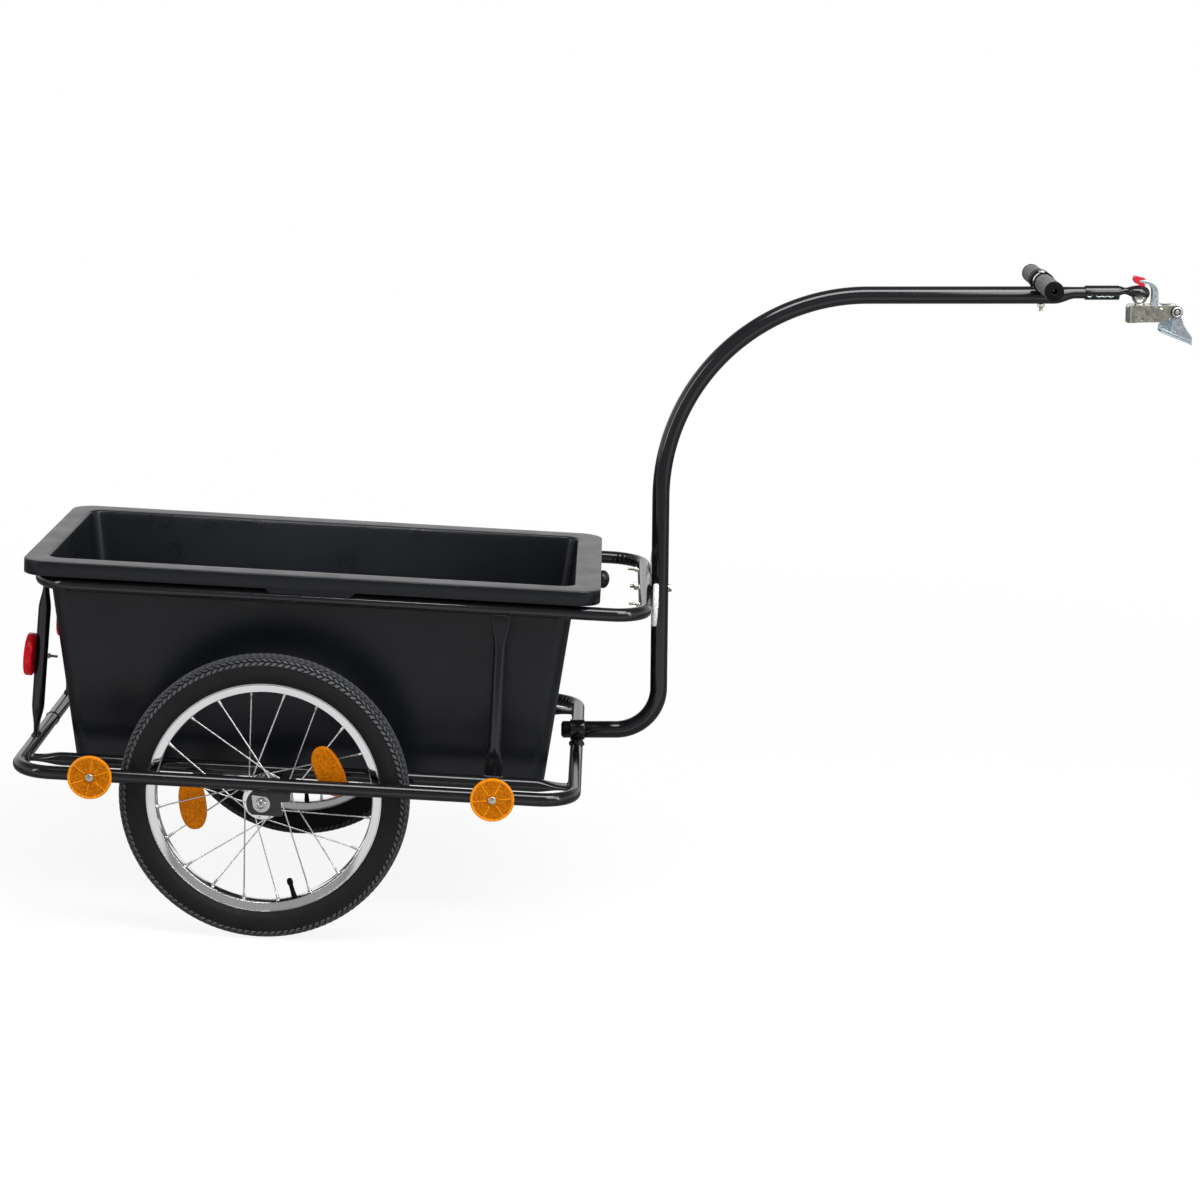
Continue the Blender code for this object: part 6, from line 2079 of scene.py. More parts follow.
@dataclass
class Handle(Assembly):
    """The push handle: a bar across the arm, two foam grips and one bolt.

    Attributes:
        drawbar: What it is bolted to.
        back: Distance from the ball back to its bolt.
        twist, tilt: How crooked it sits.
        saddle, forwards: How far it sits lower and further forwards than the arm's top.
        collars: How much longer each side's flanged end is, right and left.
    """

    drawbar: Drawbar
    back: float = 0.1405
    twist: float = radians(1.4)
    tilt: float = radians(-0.57)
    saddle: float = 0.0037
    forwards: float = 0.0012
    bar_length: float = 0.2900
    bar_radius: float = 0.0095
    bar_wall: float = 0.0015
    grip_radius: float = 0.0135
    flange_radius: float = 0.0155
    flange: float = 0.0050
    grip_length: float = 0.1270
    grip_gap: float = 0.0200
    cap: float = 0.0030
    hole: float = 0.0036
    bolt_radius: float = 0.0030
    bolt_size: float = 0.0100
    bolt_head: float = 0.0040
    bolt_tip: float = 0.0060
    band: float = 0.0095
    band_radius: float = 0.0137
    foam_rows: int = 40
    foam_fall: float = 0.0007
    collars: tuple[float, float] = (-0.0040, 0.0150)

    def build(self) -> None:
        """Make the bar, the grips and the bolt."""
        bar, r = self.drawbar, self.bar_radius
        centre = (bar.head + bar.arm * (bar.ball_reach - self.back)
                  + bar.up * (bar.radius + r + GAP))
        seat = centre + bar.arm * self.forwards - bar.up * self.saddle
        across = (Matrix.Translation(seat) @ Matrix.Rotation(-self.twist, 4, "Z")
                  @ Matrix.Rotation(self.tilt - pi / 2, 4, "X"))
        half = self.bar_length / 2
        tube = joined(band(r - self.bar_wall, r, -half, half, 48, 0.0004, 2),
                      band(r, self.band_radius, -self.band, self.band, 48, 0.0008))
        self.shop.piece("handle_cross_bar", tube, ["handle_bar"], Slot.CHROME, place=across)
        top, under = r + GAP, -r - 2 * bar.radius - 2 * GAP
        nut_low = under - self.bolt_head
        bolt = joined(thread(self.bolt_radius, nut_low - self.bolt_tip, top, down=True),
                      hexagon(self.bolt_size, nut_low, under),
                      round_head(self.bolt_size / 2, self.bolt_head, self.bolt_head * 0.7, top))
        self.shop.piece("handle_through_bolt", bolt, ["handle_bolt"], Slot.ZINC,
                        place=bar.local(centre))
        for side in Side:
            self.grip(side, across @ Matrix.Rotation(pi if side is Side.RIGHT else 0.0, 4, "X"))

    def grip(self, side: Side, place: Matrix) -> None:
        """A foam grip between a flanged end and a pierced cap.

        Args:
            side: The grip's side.
            place: Its place; +Z points outwards.
        """
        left = side is Side.LEFT
        outer, bore, r = self.grip_gap + self.grip_length, self.bar_radius + GAP, self.grip_radius
        start = self.grip_gap + self.flange + self.collars[left]
        inner = self.band + 0.0012 if left else self.grip_gap
        flange = rounded([(bore, inner), (self.flange_radius * 0.9, inner),
                          (self.flange_radius, inner + 0.0040), (self.flange_radius, start),
                          (r - 0.0004, start + 0.0006), (bore, start + 0.0006)], 0.0009, 3)
        end = outer + self.cap
        cap = rounded([(bore, outer - 0.006), (r - 0.0002, outer - 0.006), (r, outer - 0.0012),
                       (r * 0.93, end - 0.0003), (self.hole * 1.5, end),
                       (self.hole, end - 0.0006), (self.hole, outer - 0.001),
                       (bore, outer - 0.001)], 0.0008, 3)
        self.shop.piece("grip_ends_" + side.label,
                        joined(turned(flange, 48, closed=True), turned(cap, 48, closed=True)),
                        slot=Slot.RUBBER, place=place)
        low, high = start + 0.0007, outer - 0.0061
        outside = []
        for share in [row / self.foam_rows for row in range(self.foam_rows + 1)]:
            fall = self.foam_fall * (1 - min(1.0, min(share, 1 - share) * 18)) ** 2
            outside.append((r - fall, low + (high - low) * share))
        foam = turned(outside + [(bore, outside[-1][1]), (bore, outside[0][1])], 64, closed=True)
        self.shop.piece("grip_foam_" + side.label, foam, ["handle_grip_" + side.label],
                        Slot.FOAM, place=place)


# Ball hitch, in its own axes round the ball's centre

@dataclass
class BallHitch(Assembly):
    """The coupling sleeve and head, the ball on its stud, the bracket, latch and jaw.

    Attributes:
        drawbar: What it ends.
        crimps: First and last x of each crimp mark.
        neck: (x from the sleeve's front, radius, lift) of the head's waisted neck.
        pear: (x, half width, half height, lift) of its socket's outside.
        hook_inner, hook_outer: The hook's (x, z) outline on its two sides.
        cap: The red cap's (x, z) outline.
        jaw_front, jaw_back: The jaw's (x, z) corners before and behind its face.
        jaw_holes: (x, z, radius) of its holes.
        lips: (rise, start, end) of the folded lines along its cheeks.
    """

    drawbar: Drawbar
    ball_radius: float = 0.0110
    socket_room: float = 0.0117
    socket_lip: float = 0.0028
    sleeve_radius: float = 0.0103
    sleeve_front: float = 0.0296
    sleeve_length: float = 0.0487
    sleeve_lift: float = 0.0059
    crimps: Outline = ((-0.0755, -0.0700), (-0.0625, -0.0560), (-0.0550, -0.0480),
                       (-0.0460, -0.0385))
    shank: float = 0.0180
    neck: tuple[tuple[float, ...], ...] = (
        (0.0004, 0.0074, 0.0082), (-0.0016, 0.0068, 0.0086), (-0.0044, 0.0058, 0.0087),
        (-0.0066, 0.0050, 0.0085))
    pear: tuple[tuple[float, ...], ...] = (
        (-0.0215, 0.0049, 0.0049, 0.0085), (-0.0195, 0.0052, 0.0049, 0.0083),
        (-0.0172, 0.0062, 0.0055, 0.0081), (-0.0140, 0.0088, 0.0069, 0.0078),
        (-0.0105, 0.0109, 0.0081, 0.0074), (-0.0065, 0.0127, 0.0090, 0.0071),
        (-0.0025, 0.0138, 0.0095, 0.0068), (0.0015, 0.0141, 0.0096, 0.0065),
        (0.0055, 0.0135, 0.0092, 0.0062), (0.0090, 0.0117, 0.0083, 0.0058),
        (0.0116, 0.0090, 0.0068, 0.0053), (0.0133, 0.0058, 0.0046, 0.0050),
        (0.0141, 0.0022, 0.0018, 0.0048))
    half_width: float = 0.0180
    wall: float = 0.0030
    top: float = 0.0111
    rear: float = 0.0178
    web_front: float = 0.0150
    rear_depth: float = 0.0362
    depth: float = 0.0346
    step_x: float = 0.0354
    corner: float = 0.0050
    plan_corner: float = 0.0100
    inside_corner: float = 0.0022
    lower_hole: tuple[float, float, float] = (0.0020, -0.0297, 0.0022)
    pivot_x: float = 0.0505
    ear_radius: float = 0.0087
    pivot_radius: float = 0.0040
    pivot_head_radius: float = 0.0075
    pivot_head: float = 0.0060
    pivot_socket: float = 0.0060
    pivot_washer: float = 0.0030
    pivot_nut_size: float = 0.0130
    pivot_nut: float = 0.0060
    stud_radius: float = 0.0040
    stud_shoulder: float = 0.0080
    stud_top: float = 0.0080
    stud_nut_size: float = 0.0130
    stud_nut: float = 0.0050
    rivet_x: float = 0.0280
    rivet_drop: float = 0.0170
    rivet_radius: float = 0.0022
    rivet_head_radius: float = 0.0032
    rivet_head: float = 0.0012
    hook_half: float = 0.0060
    hook_eye: float = 0.0062
    hook_inner: Outline = ((0.0163, -0.0145), (0.0163, -0.0105), (0.0169, 0.0060),
                           (0.0163, 0.0125), (0.0140, 0.0168), (0.0100, 0.0187),
                           (0.0050, 0.0193), (-0.0024, 0.0206))
    hook_outer: Outline = ((-0.0024, 0.0251), (0.0050, 0.0247), (0.0115, 0.0236),
                           (0.0180, 0.0212), (0.0230, 0.0170), (0.0260, 0.0105),
                           (0.0267, 0.0030), (0.0268, -0.0105))
    cap_half: float = 0.0075
    cap: Outline = ((0.0066, 0.0268), (0.0062, 0.0249), (-0.0027, 0.0254), (-0.0027, 0.0203),
                    (0.0060, 0.0188), (0.0062, 0.0142), (-0.0004, 0.0160), (-0.0072, 0.0199),
                    (-0.0100, 0.0245), (-0.0098, 0.0276), (-0.0080, 0.0303))
    jaw_half: float = 0.0142
    jaw_wall: float = 0.0028
    jaw_front: Outline = ((0.0138, -0.0226), (0.0245, -0.0372), (0.0241, -0.0412),
                          (0.0238, -0.0492))
    jaw_toe: tuple[float, float] = (0.0213, -0.0460)
    jaw_heel: tuple[float, float] = (-0.0207, -0.0292)
    jaw_back: Outline = ((-0.0199, -0.0204), (-0.0152, -0.0161), (-0.0138, -0.0090))
    jaw_holes: tuple[tuple[float, float, float], ...] = (
        (0.0, 0.0, 0.0043), (-0.0037, -0.0125, 0.0011), (0.0003, -0.0272, 0.0016))
    jaw_face: float = 0.0395
    lips: tuple[tuple[float, float, float], ...] = ((0.0008, 0.0002, 0.0445),
                                                    (0.0044, 0.0015, 0.0440))

    @property
    def place(self) -> Matrix:
        """The hitch's own axes."""
        return self.drawbar.local(self.drawbar.ball)

    @property
    def pivot(self) -> tuple[float, float, float]:
        """Place of the jaw's pivot."""
        return self.pivot_x, 0.0, -self.top - self.ear_radius

    def add(self, name: str, shape: BMesh | Mesh, node: str, slot: Slot, body: Body,
            edge: float = 0.0, look: Look | None = None) -> None:
        """Hang a shape that is made in the hitch's axes.

        Args:
            name: The piece's name.
            shape: The shape.
            node: CAD node that it stands for; empty for none.
            slot: Its finish.
            body: The body that it rides on.
            edge: Width of the rounded edges; 0 leaves them.
            look: A finish of its own.
        """
        self.shop.piece(name, shape, [node] if node else [], slot, body, self.place, edge=edge,
                        look=look)

    def build(self) -> None:
        """Make every piece of the hitch."""
        self.sleeve()
        self.head()
        self.ball()
        self.bracket()
        self.pins()
        self.hook()
        self.jaw()

    def sleeve(self) -> None:
        """The sleeve crimped on the drawbar's end, with the marks of its crimping below, whose
        bright plated finish is painted highlight.
        """
        bore, r, front = self.drawbar.swage_radius, self.sleeve_radius, -self.sleeve_front
        rear = front - self.sleeve_length
        ring = rounded([(bore, rear), (r, rear), (r, front), (bore * 0.9, front)], 0.0007, 3)
        tube = placed(turned(ring, 48, closed=True), along_x(0, 0, self.sleeve_lift))
        self.add("coupling_sleeve_tube", tube, "coupling_sleeve", Slot.PAINT, Body.CHASSIS)
        # The crimp marks are real ridges; their bright plated finish on the black sleeve is painted
        # highlight.
        lines = [[self.place @ Vector((x, -r * cos(turn), self.sleeve_lift - r * sin(turn)))
                  for x, turn in ((first, 0.42), ((first + last) / 2, 0.58), (last, 0.45))]
                 for first, last in self.crimps]
        self.shop.beads("sleeve_crimp_marks", lines, 0.0009, Slot.STEEL)

    def head(self) -> None:
        """The forged head: a shank, a waisted neck and a smooth pear-shaped socket."""
        thin, lift, front = self.drawbar.swage_radius, self.sleeve_lift, -self.sleeve_front
        stations = [(front - self.shank, thin, thin, lift), (front - 0.0012, thin, thin, lift)]
        stations += [(front - back, radius, radius, rise) for back, radius, rise in self.neck]
        forged = loft([[(x, a, rise + b) for a, b in oval(wide, high, 40)]
                       for x, wide, high, rise in (*stations, *self.pear)])
        room = [(self.socket_room * cos(a), self.socket_room * sin(a))
                for a in turns(-pi / 2, pi / 2, 24)[1:-1]]
        room = [(0.0, -self.socket_room)] + room + [(0.0, self.socket_room)]
        tools = [turned(room, 56), pin(0.03, -0.03, -self.socket_lip, 24)]
        self.add("coupling_forged_head", opened(self.shop.cut(forged, tools)), "coupling_head",
                 Slot.PAINT, Body.CHASSIS)

    def ball(self) -> None:
        """The ball, and the cupped stud that it stands on with its nut below."""
        r, top = self.ball_radius, -self.top
        profile = [(r * cos(a), r * sin(a)) for a in turns(-pi / 2, pi / 2, 28)[1:-1]]
        # The polished ball takes the duller plated finish: painted reflection, darker for the
        # things that it mirrors.
        self.add("hitch_ball_polished", turned([(0.0, -r)] + profile + [(0.0, r)], 56),
                 "hitch_ball", Slot.CHROME, Body.BALL, look=Look.BRIGHT)
        seat, under = r + GAP, top - self.wall - GAP
        cup = [(seat * sin(a), -seat * cos(a)) for a in turns(0.0, 0.62, 8)]
        rim = rounded([cup[-1], (self.stud_shoulder, -self.stud_top - 0.0008),
                       (self.stud_shoulder, top + GAP), (self.stud_radius, top + GAP)],
                      0.0008, 3, closed=False)
        lower = under - self.stud_nut - 0.0015
        stud = turned(cup[:-1] + rim + [(self.stud_radius, lower), (0.0, lower)], 48)
        nut = hexagon(self.stud_nut_size, under - self.stud_nut, under, self.stud_radius)
        self.add("ball_stud_and_nut", joined(stud, nut), "ball_stud", Slot.CHROME, Body.HITCH)

    def bracket(self) -> None:
        """The pressed channel: a web over two cheeks, with its holes."""
        rear, top, (_, _, ear_z) = -self.rear, -self.top, self.pivot
        outline = ([(rear, -self.rear_depth)]
                   + arc((rear + self.corner, top - self.corner), self.corner, 180, 90, 8)
                   + arc((self.pivot_x, ear_z), self.ear_radius, 90, -90, 24)
                   + [(self.step_x + 0.0020, ear_z - self.ear_radius - 0.0006),
                      (self.step_x - 0.0020, -self.depth), (0.0, -self.depth - 0.0003)])
        beyond = self.pivot_x + 2 * self.ear_radius
        flat = rounded_rectangle(rear, beyond, self.half_width, self.plan_corner, 10)
        plan = loft([[(x, y, z) for x, y in flat] for z in (-2 * self.rear_depth, 0.0)])
        sheet = prism(outline, -2 * self.half_width, 2 * self.half_width)
        pressed = opened(self.shop.cut(sheet, [plan], "INTERSECT"))
        back, deep, ceiling = rear + self.wall, -3 * self.depth, top - self.wall
        inside = rounded([(back, deep), (back, ceiling), (self.web_front, ceiling),
                          (self.web_front, self.top), (2 * beyond, self.top), (2 * beyond, deep)],
                         self.inside_corner, 3)
        width = self.half_width - self.wall
        tools = [prism(inside, -width, width), drill(self.pivot_x, ear_z, self.pivot_radius + GAP),
                 drill(self.rivet_x, -self.rivet_drop, self.rivet_radius + GAP),
                 drill(*self.lower_hole), pin(self.stud_radius, top - 0.01, 0.0)]
        self.add("hitch_bracket_channel", self.shop.cut(pressed, tools), "hitch_bracket",
                 Slot.ZINC, Body.HITCH, 0.0006)

    def pins(self) -> None:
        """The pivot bolt with its hexagon socket and nut, two dark rings of painted shade at its
        head, and the latch's rivet.
        """
        face, r = self.half_width + GAP, self.pivot_head_radius
        end, pivot = -face - self.pivot_head, along_y(*self.pivot)
        head = rounded([(0.0, -face), (r, -face), (r, end + 0.0004), (r * 0.68, end),
                        (r * 0.66, end + 0.0050), (r * 0.43, end + 0.0050),
                        (r * 0.41, end + 0.0003), (0.0, end + 0.0003)], 0.0004, 3, closed=False)
        point = self.pivot_socket / 4 / cos(pi / 6)
        socket = loft([[(x, y, z) for x, y in circle(point, 6)]
                       for z in (end - 0.002, end + 0.0026)])
        bolt = [opened(self.shop.cut(turned(head, 48), [socket])),
                pin(self.pivot_radius, -face - 0.001, face, 32),
                hexagon(self.pivot_nut_size, face, face + self.pivot_nut, self.pivot_radius * 0.6),
                thread(self.pivot_radius * 0.98, face - 0.001, face + self.pivot_nut - 0.0004)]
        # Painted shade: a dark ring in the head's groove and one round the head, in place of the
        # shadow in the groove and on the ear.
        rings = [band(r * 0.43, r * 0.66, end + 0.0008, end + 0.0030, 40),
                 band(r * 0.90, r * 1.14, -face - self.pivot_washer, -face, 40)]
        self.add("pivot_bolt_dark_rings", placed(joined(*rings), pivot), "", Slot.PAINT,
                 Body.HITCH)
        self.add("pivot_bolt_and_nut", placed(joined(*bolt), pivot), "pivot_bolt", Slot.CHROME,
                 Body.HITCH, look=Look.WIRE)
        head = self.rivet_head_radius
        ends = [(head * cos(a), face + self.rivet_head * sin(a))
                for a in turns(0.0, pi / 2, 5)[:-1]] + [(0.0, face + self.rivet_head)]
        profile = reflected(ends) + [(self.rivet_radius, -face), (self.rivet_radius, face)] + ends
        rivet = placed(turned(profile, 32), along_y(self.rivet_x, 0, -self.rivet_drop))
        self.add("latch_rivet_pin", rivet, "latch_rivet", Slot.ZINC, Body.HITCH)

    def hook(self) -> None:
        """The hook that bends over the socket, and its red cap."""
        outline = (rounded(self.hook_inner, 0.006, 3, closed=False)
                   + rounded(self.hook_outer, 0.006, 3, closed=False)
                   + arc((self.rivet_x, -self.rivet_drop), self.hook_eye, 75, -165, 20))
        self.add("latch_hook_arm", prism(outline, -self.hook_half, self.hook_half), "latch_hook",
                 Slot.STEEL, Body.LATCH, 0.0011)
        cap = prism(rounded(self.cap, 0.0012, 3), -self.cap_half, self.cap_half)
        self.add("latch_cap_sleeve", cap, "latch_cap", Slot.CAP, Body.LATCH, 0.0005)

    def jaw(self) -> None:
        """The clamp jaw: two cheeks with folded lips over a gripping face with two ribs."""
        toe, heel, half, wall = self.jaw_toe, self.jaw_heel, self.jaw_half, self.jaw_wall
        slope = (toe[1] - heel[1]) / (toe[0] - heel[0])

        def over(x: float, rise: float) -> tuple[float, float]:
            """The (x, z) of a point over the face's line."""
            return x, heel[1] + rise + slope * (x - heel[0])

        corners = rounded([*self.jaw_front, toe, heel, *self.jaw_back], 0.0016, closed=False)
        outline = arc((0.0, 0.0), self.ear_radius - 0.0012, 200, -35, 24) + corners
        width, lift = half - wall, wall * 1.1
        tools = [prism([over(-0.04, lift), over(0.05, lift), (0.05, 0.03), (-0.04, 0.03)],
                       -width, width)]
        tools += [drill(*hole, 24) for hole in self.jaw_holes]
        tools.append(prism([over(-0.03, 0.0062), over(-0.0053, 0.0062), (-0.0053, -0.009),
                            (-0.03, -0.009)], -2 * half, -width + GAP))
        place = self.place @ Matrix.Translation(self.pivot)
        cheeks = self.shop.cut(prism(outline, -half, half), tools)
        self.shop.piece("clamp_jaw_cheeks", cheeks, ["clamp_jaw"], Slot.STEEL, Body.JAW, place,
                        edge=0.0006)
        ribs = []
        for y in (-half * 0.6, half * 0.6):
            rings = []
            for step in range(25):
                x, z = over(heel[0] + 0.0012 + self.jaw_face * step / 24, 0.0)
                drop = wall * (0.5 - 0.12 * (step % 2))
                rings.append([(x, y - 0.0016, z + 0.0010), (x, y + 0.0016, z + 0.0010),
                              (x, y + 0.0008, z - drop), (x, y - 0.0008, z - drop)])
            ribs.append(loft(rings))
        for side in (-1, 1):
            low, high = side * (half - 0.0008), side * (half + 0.0005)
            for rise, *ends in self.lips:
                ribs.append(loft([[(x, low, z - 0.0008), (x, high, z - 0.0006),
                                   (x, high, z - 0.0002), (x, low, z + 0.0006)]
                                  for x, z in (over(heel[0] + end, rise) for end in ends)]))
        self.shop.piece("clamp_jaw_ribs", joined(*ribs), (), Slot.STEEL, Body.JAW, place)


# Tub

@dataclass
class Tub(Assembly):
    """The moulded tub: sloping walls under a turned-down rim, rim ribs, grip tabs, knob.

    Attributes:
        frame: The frame that it hangs in.
        post_room: Room between its rim and the front of the upper loop.
        flanges, leans: Width of its rim and slope of its walls: rear, front, sides.
        rim_above: Height of its rim over the upper loop.
        skirt: Height of the rim's turned-down edge.
    """

    frame: Frame
    post_room: float = 0.0646
    side_play: float = 0.0008
    rear_play: float = 0.0086
    wall: float = 0.0030
    rim_above: float = 0.0232
    skirt: float = 0.0205
    skirt_edge: float = 0.0006
    flanges: tuple[float, float, float] = (0.0280, 0.0335, 0.0335)
    leans: tuple[float, float, float] = (radians(8.2), radians(6.1), radians(5.5))
    depth: float = 0.3070
    rim_corner: float = 0.0340
    wall_corner: float = 0.0200
    floor_bend: float = 0.0120
    mouth_fillet: float = 0.0032
    rim_fillet: float = 0.0018
    pads: int = 4
    pad_thickness: float = 0.0030
    pad_span: float = 0.5600
    tab_length: float = 0.1240
    tab_depth: float = 0.0065
    knob_radius: float = 0.0132
    knob_head: float = 0.0126
    knob_dome: float = 0.0090
    knob_shank: float = 0.0040
    corner_steps: int = 14
    straight_steps: int = 10

    def __post_init__(self) -> None:
        """Work out where the rim lies."""
        tubes = self.frame
        self.top = tubes.upper_z + tubes.tube + self.rim_above
        self.rear = tubes.upper_rear - tubes.tube - self.wall - self.rear_play
        self.front = tubes.upper_front - self.post_room
        self.half_width = tubes.upper_half + tubes.tube + self.side_play + self.wall

    def build(self) -> None:
        """Make the shell, its ribs and tabs, and the knob."""
        self.shell()
        self.trim()
        self.knob()

    def ring(self, insets: Sequence[float], z: float, corner: float) -> list[Vector]:
        """One level as a rounded rectangle.

        Args:
            insets: Its insets at the rear, the front and the sides.
            z: Its height.
            corner: Radius of its corners.

        Returns:
            Its points, with more of them along its sides.
        """
        flat = rounded_rectangle(self.rear + insets[0], self.front - insets[1],
                                 self.half_width - insets[2], corner, self.corner_steps)
        points = []
        for i, (x, y) in enumerate(flat):
            points.append(self.frame.point(x, y, z))
            if (i + 1) % (self.corner_steps + 1) == 0:
                ahead = flat[(i + 1) % len(flat)]
                points += [self.frame.point(x + (ahead[0] - x) * j / self.straight_steps,
                                            y + (ahead[1] - y) * j / self.straight_steps, z)
                           for j in range(1, self.straight_steps)]
        return points

    def rim_ring(self, inset: float, z: float) -> list[Vector]:
        """A level of the rim or its skirt."""
        return self.ring((inset, inset, inset), z, self.rim_corner - inset)

    def wall_ring(self, depth: float, outwards: float, corner: float) -> list[Vector]:
        """A level of the wall.

        Args:
            depth: How far it lies below the rim.
            outwards: How far outside the inner surface it lies.
            corner: Radius of its corners.

        Returns:
            Its points.
        """
        return self.ring([flange + self.wall - outwards + depth * tan(lean)
                          for flange, lean in zip(self.flanges, self.leans)],
                         self.top - depth, corner)

    def floor_rings(self, outwards: float) -> list[list[Vector]]:
        """Levels from the middle of the floor out and up round its bend.

        Args:
            outwards: How far outside the inner surface they lie.

        Returns:
            The levels.
        """
        depth = self.depth - self.wall + outwards
        corner, fade = self.wall_corner + outwards, self.floor_bend * 0.4
        rings = [self.wall_ring(depth, outwards - self.floor_bend - 0.12 * (1 - share),
                                max(0.004, (corner - fade) * share))
                 for share in (0.12, 0.45, 0.8)]
        rings += [self.wall_ring(depth - self.floor_bend * (1 - sin(a)),
                                 outwards - self.floor_bend * (1 - cos(a)), corner - fade * sin(a))
                  for a in turns(pi / 2, 0.0, 8)]
        return rings

    def shell(self) -> None:
        """The moulded shell."""
        wall, corner = self.wall, self.wall_corner
        run = self.depth - self.floor_bend - 4 * wall
        rings = self.floor_rings(0.0)
        rings += [self.wall_ring(3 * wall + run * share, 0.0, corner)
                  for share in (0.75, 0.5, 0.25, 0.0)]
        rings += self.lip()
        rings += [self.wall_ring(2 * wall + run * share, wall, corner + wall)
                  for share in (0.0, 0.3, 0.6, 0.9)]
        rings += reversed(self.floor_rings(wall))
        self.shop.piece("tub_shell", loft(rings), ["tub"], Slot.TUB, Body.TUB, smooth=50)

    def lip(self) -> list[list[Vector]]:
        """Levels over the rim.

        Returns:
            The inner fillet, the flat top, the outer fillet, the skirt and its inside.
        """
        wall, top, mouth, edge = self.wall, self.top, self.mouth_fillet, self.rim_fillet
        quarter = turns(0.0, pi / 2, 5)
        rings = [self.wall_ring(mouth * (1 - sin(a)), mouth * (1 - cos(a)),
                                self.wall_corner + mouth * (1 - cos(a))) for a in quarter]
        inner = [flange + wall - mouth for flange in self.flanges]
        for share in (0.3, 0.65):
            insets = [inset + (edge - inset) * share for inset in inner]
            corner = self.wall_corner + mouth
            corner += (self.rim_corner - edge - corner) * share
            rings.append(self.ring(insets, top, corner))
        rings += [self.rim_ring(edge * (1 - sin(a)), top - edge * (1 - cos(a))) for a in quarter]
        low, turn = top - self.skirt, self.skirt_edge
        rings += [self.rim_ring(inset, z) for inset, z in
                  ((0.0, low + turn), (turn, low), (wall - turn, low), (wall, low + turn),
                   (wall, top - 1.3 * wall))]
        rings.append(self.wall_ring(1.3 * wall, wall, self.wall_corner + wall))
        return rings

    def trim(self) -> None:
        """The ribs that rest on the loop, and the two grip tabs under the skirt."""
        parts = []
        middle, skirt = (self.rear + self.front) / 2, self.top - self.skirt
        seat, roof = self.frame.upper_z + self.frame.tube + GAP, self.top - self.wall
        thick, half, slant = self.pad_thickness / 2, self.tab_length / 2, self.tab_depth
        outline = rounded([(-half, skirt + self.wall), (-half, skirt),
                           (-half + slant, skirt - slant), (half - slant, skirt - slant),
                           (half, skirt), (half, skirt + self.wall)], 0.002)
        for side in Side:
            for i in range(self.pads):
                x = middle + self.pad_span * (i / (self.pads - 1) - 0.5)
                parts.append(loft([[self.frame.point(x + a, side.value * y, z) for a, z in
                                    ((-thick, seat), (thick, seat), (thick, roof), (-thick, roof))]
                                   for y in (self.half_width - self.flanges[2] - self.wall / 2,
                                             self.frame.upper_half)]))
            low, high = sorted((side.value * (self.half_width - 0.0002),
                                side.value * (self.half_width - self.wall + 0.0002)))
            parts.append(placed(prism(outline, low, high),
                                Matrix.Translation(self.frame.point(middle, 0.0, 0.0))))
        self.shop.piece("tub_rim_ribs_and_tabs", joined(*parts), slot=Slot.TUB, body=Body.TUB,
                        edge=0.0005)

    def knob(self) -> None:
        """The round knob on the front wall."""
        r, shank = self.knob_radius, self.knob_shank
        drop = self.skirt + shank + 2 * GAP
        wall_x = self.front - self.flanges[1] - (drop - shank) * tan(self.leans[1])
        back = self.front + GAP
        tip = back + self.knob_head
        root = tip - self.knob_dome
        head = rounded([(shank, back), (r * 0.93, back), (r, back + 0.0014), (r, root)],
                       0.0008, 3, closed=False)
        dome = [(r * cos(a), root + self.knob_dome * sin(a)) for a in turns(0.0, pi / 2, 12)[1:-1]]
        knob = turned([(0.0, wall_x), (shank, wall_x)] + head + dome + [(0.0, tip)], 48)
        self.shop.piece("tub_round_knob", knob, ["tub_knob"], Slot.TUB, Body.TUB,
                        along_x(self.frame.origin.x, 0.0, self.top - drop))


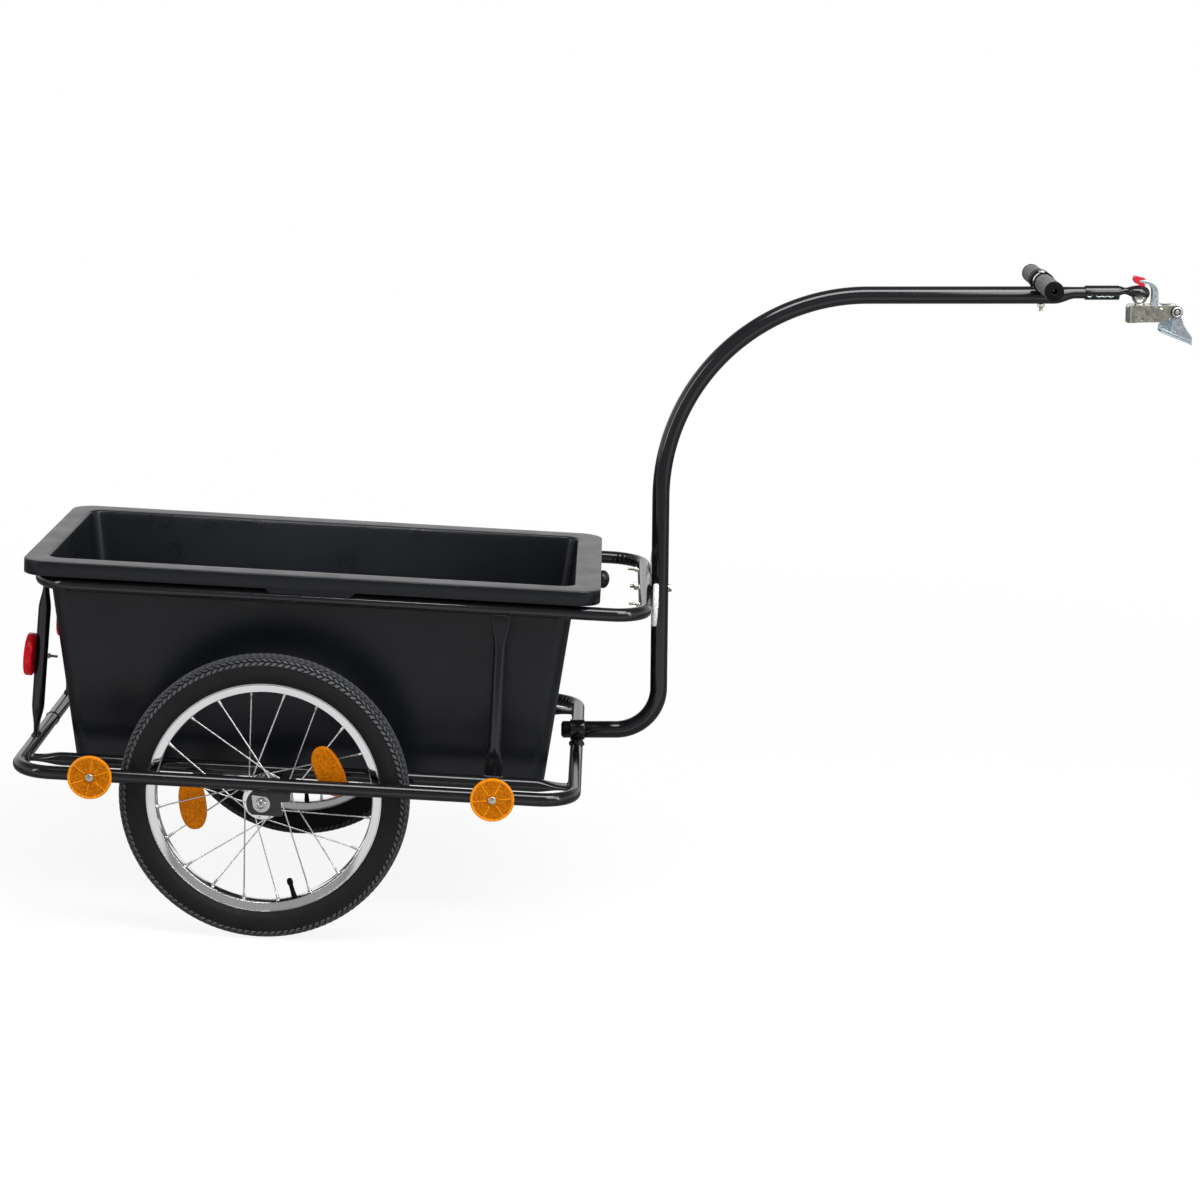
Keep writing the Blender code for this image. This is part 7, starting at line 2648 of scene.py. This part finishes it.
@dataclass
class Trailer(Assembly):
    """The whole trailer: the frame, the wheels, the drawbar with its hitch, and the tub.

    Attributes:
        origin: The axle line's point on the floor.
        axle_z: Height of the axles.
        wheel_y: Distance of a wheel from the trailer's middle.
        valves: Angle of each wheel's valve in degrees, right and left.
        reflector_angle: Angle between a wheel's valve and each of its reflectors.
        side_reflectors: (end, x, turn in degrees) of the amber reflectors.
        white_y: Distance of the white reflectors from the middle.
        red_rise: Height of the red reflectors over the lower loop.
    """

    origin: Vector
    axle_z: float
    wheel_y: float
    valves: tuple[float, float] = (-72.0, -85.2)
    reflector_angle: float = 99.0
    side_reflectors: tuple[tuple[str, float, float], ...] = (("rear", -0.2357, 22.0),
                                                             ("front", 0.3178, 8.0))
    white_y: float = 0.1260
    red_rise: float = 0.1261

    def build(self) -> None:
        """Make every sub-assembly in order."""
        shop, tubes = self.shop, Frame(self.shop, self.origin, self.axle_z)
        drawbar = Drawbar(shop, tubes)
        for assembly in (tubes, drawbar, Handle(shop, drawbar), BallHitch(shop, drawbar),
                         Tub(shop, tubes)):
            LOG.info("building the %s", type(assembly).__name__)
            assembly.build()
        for side, valve in zip(Side, self.valves):
            self.wheel(tubes, side, valve)
        for side in Side:
            self.reflectors(tubes, side)

    def wheel(self, tubes: Frame, side: Side, valve: float) -> None:
        """One wheel, its reflectors and its axle.

        Args:
            tubes: The frame.
            side: The wheel's side.
            valve: Angle of its valve in degrees.
        """
        centre = self.origin + Vector((0.0, side.value * self.wheel_y, self.axle_z))
        wheel = Wheel(self.shop, side, centre, valve)
        wheel.build()
        for rank, turn in (("outer", self.reflector_angle), ("inner", -self.reflector_angle)):
            low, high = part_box("wheel_reflector_%s_%s" % (rank, side.label))
            WheelReflector(self.shop, wheel, rank, turn, low.y - centre.y,
                           high.y - centre.y).build()
        room = tubes.plate_half + GAP
        AxleHardware(self.shop, side, tubes.point(0.0, 0.0, self.axle_z),
                     tubes.lower_half + room, tubes.rail_y - room).build()

    def reflectors(self, tubes: Frame, side: Side) -> None:
        """One side's reflectors: amber ones beside, a white one in front and a red one behind.

        Args:
            tubes: The frame.
            side: The side.
        """
        sign, label, through = side.value, side.label, 2 * tubes.tube
        for end, x, turn in self.side_reflectors:
            point = tubes.point(x, sign * (tubes.lower_half + tubes.tube), tubes.lower_z)
            RoundReflector(self.shop, "side_reflector_%s_%s" % (end, label), Slot.AMBER,
                           along_y(*point, sign), 0.0080, through, 0.0050, turn).build()
        point = tubes.point(tubes.upper_front + tubes.tube, sign * self.white_y, tubes.upper_z)
        RoundReflector(self.shop, "front_reflector_" + label, Slot.CLEAR, along_x(*point),
                       0.0080, through, 0.0110).build()
        slope = (tubes.upper_rear - tubes.lower_rear) / tubes.loop_rise
        x = tubes.lower_rear + slope * self.red_rise - tubes.strut * hypot(1.0, slope)
        point = tubes.point(x, sign * tubes.rear_strut_y, tubes.lower_z + self.red_rise)
        place = along_x(*point, -1) @ Matrix.Rotation(atan2(slope, 1.0), 4, "Y")
        RoundReflector(self.shop, "rear_reflector_" + label, Slot.RED, place, 0.0120,
                       2 * tubes.strut, 0.0110).build()


def main() -> None:
    """Build the studio and the trailer around the frame."""
    logging.basicConfig(level=logging.INFO, format="%(message)s")
    nut_low, nut_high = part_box("axle_nut_right")
    tyre_low, tyre_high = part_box("tyre_right")
    origin = Vector(((nut_low.x + nut_high.x) / 2, 0.0, 0.0))
    axle_z = (nut_low.z + nut_high.z) / 2
    wheel_y = abs(tyre_low.y + tyre_high.y) / 2
    Studio(origin).build()
    Trailer(Shop(), origin, axle_z, wheel_y).build()


if __name__ == "__main__":
    main()
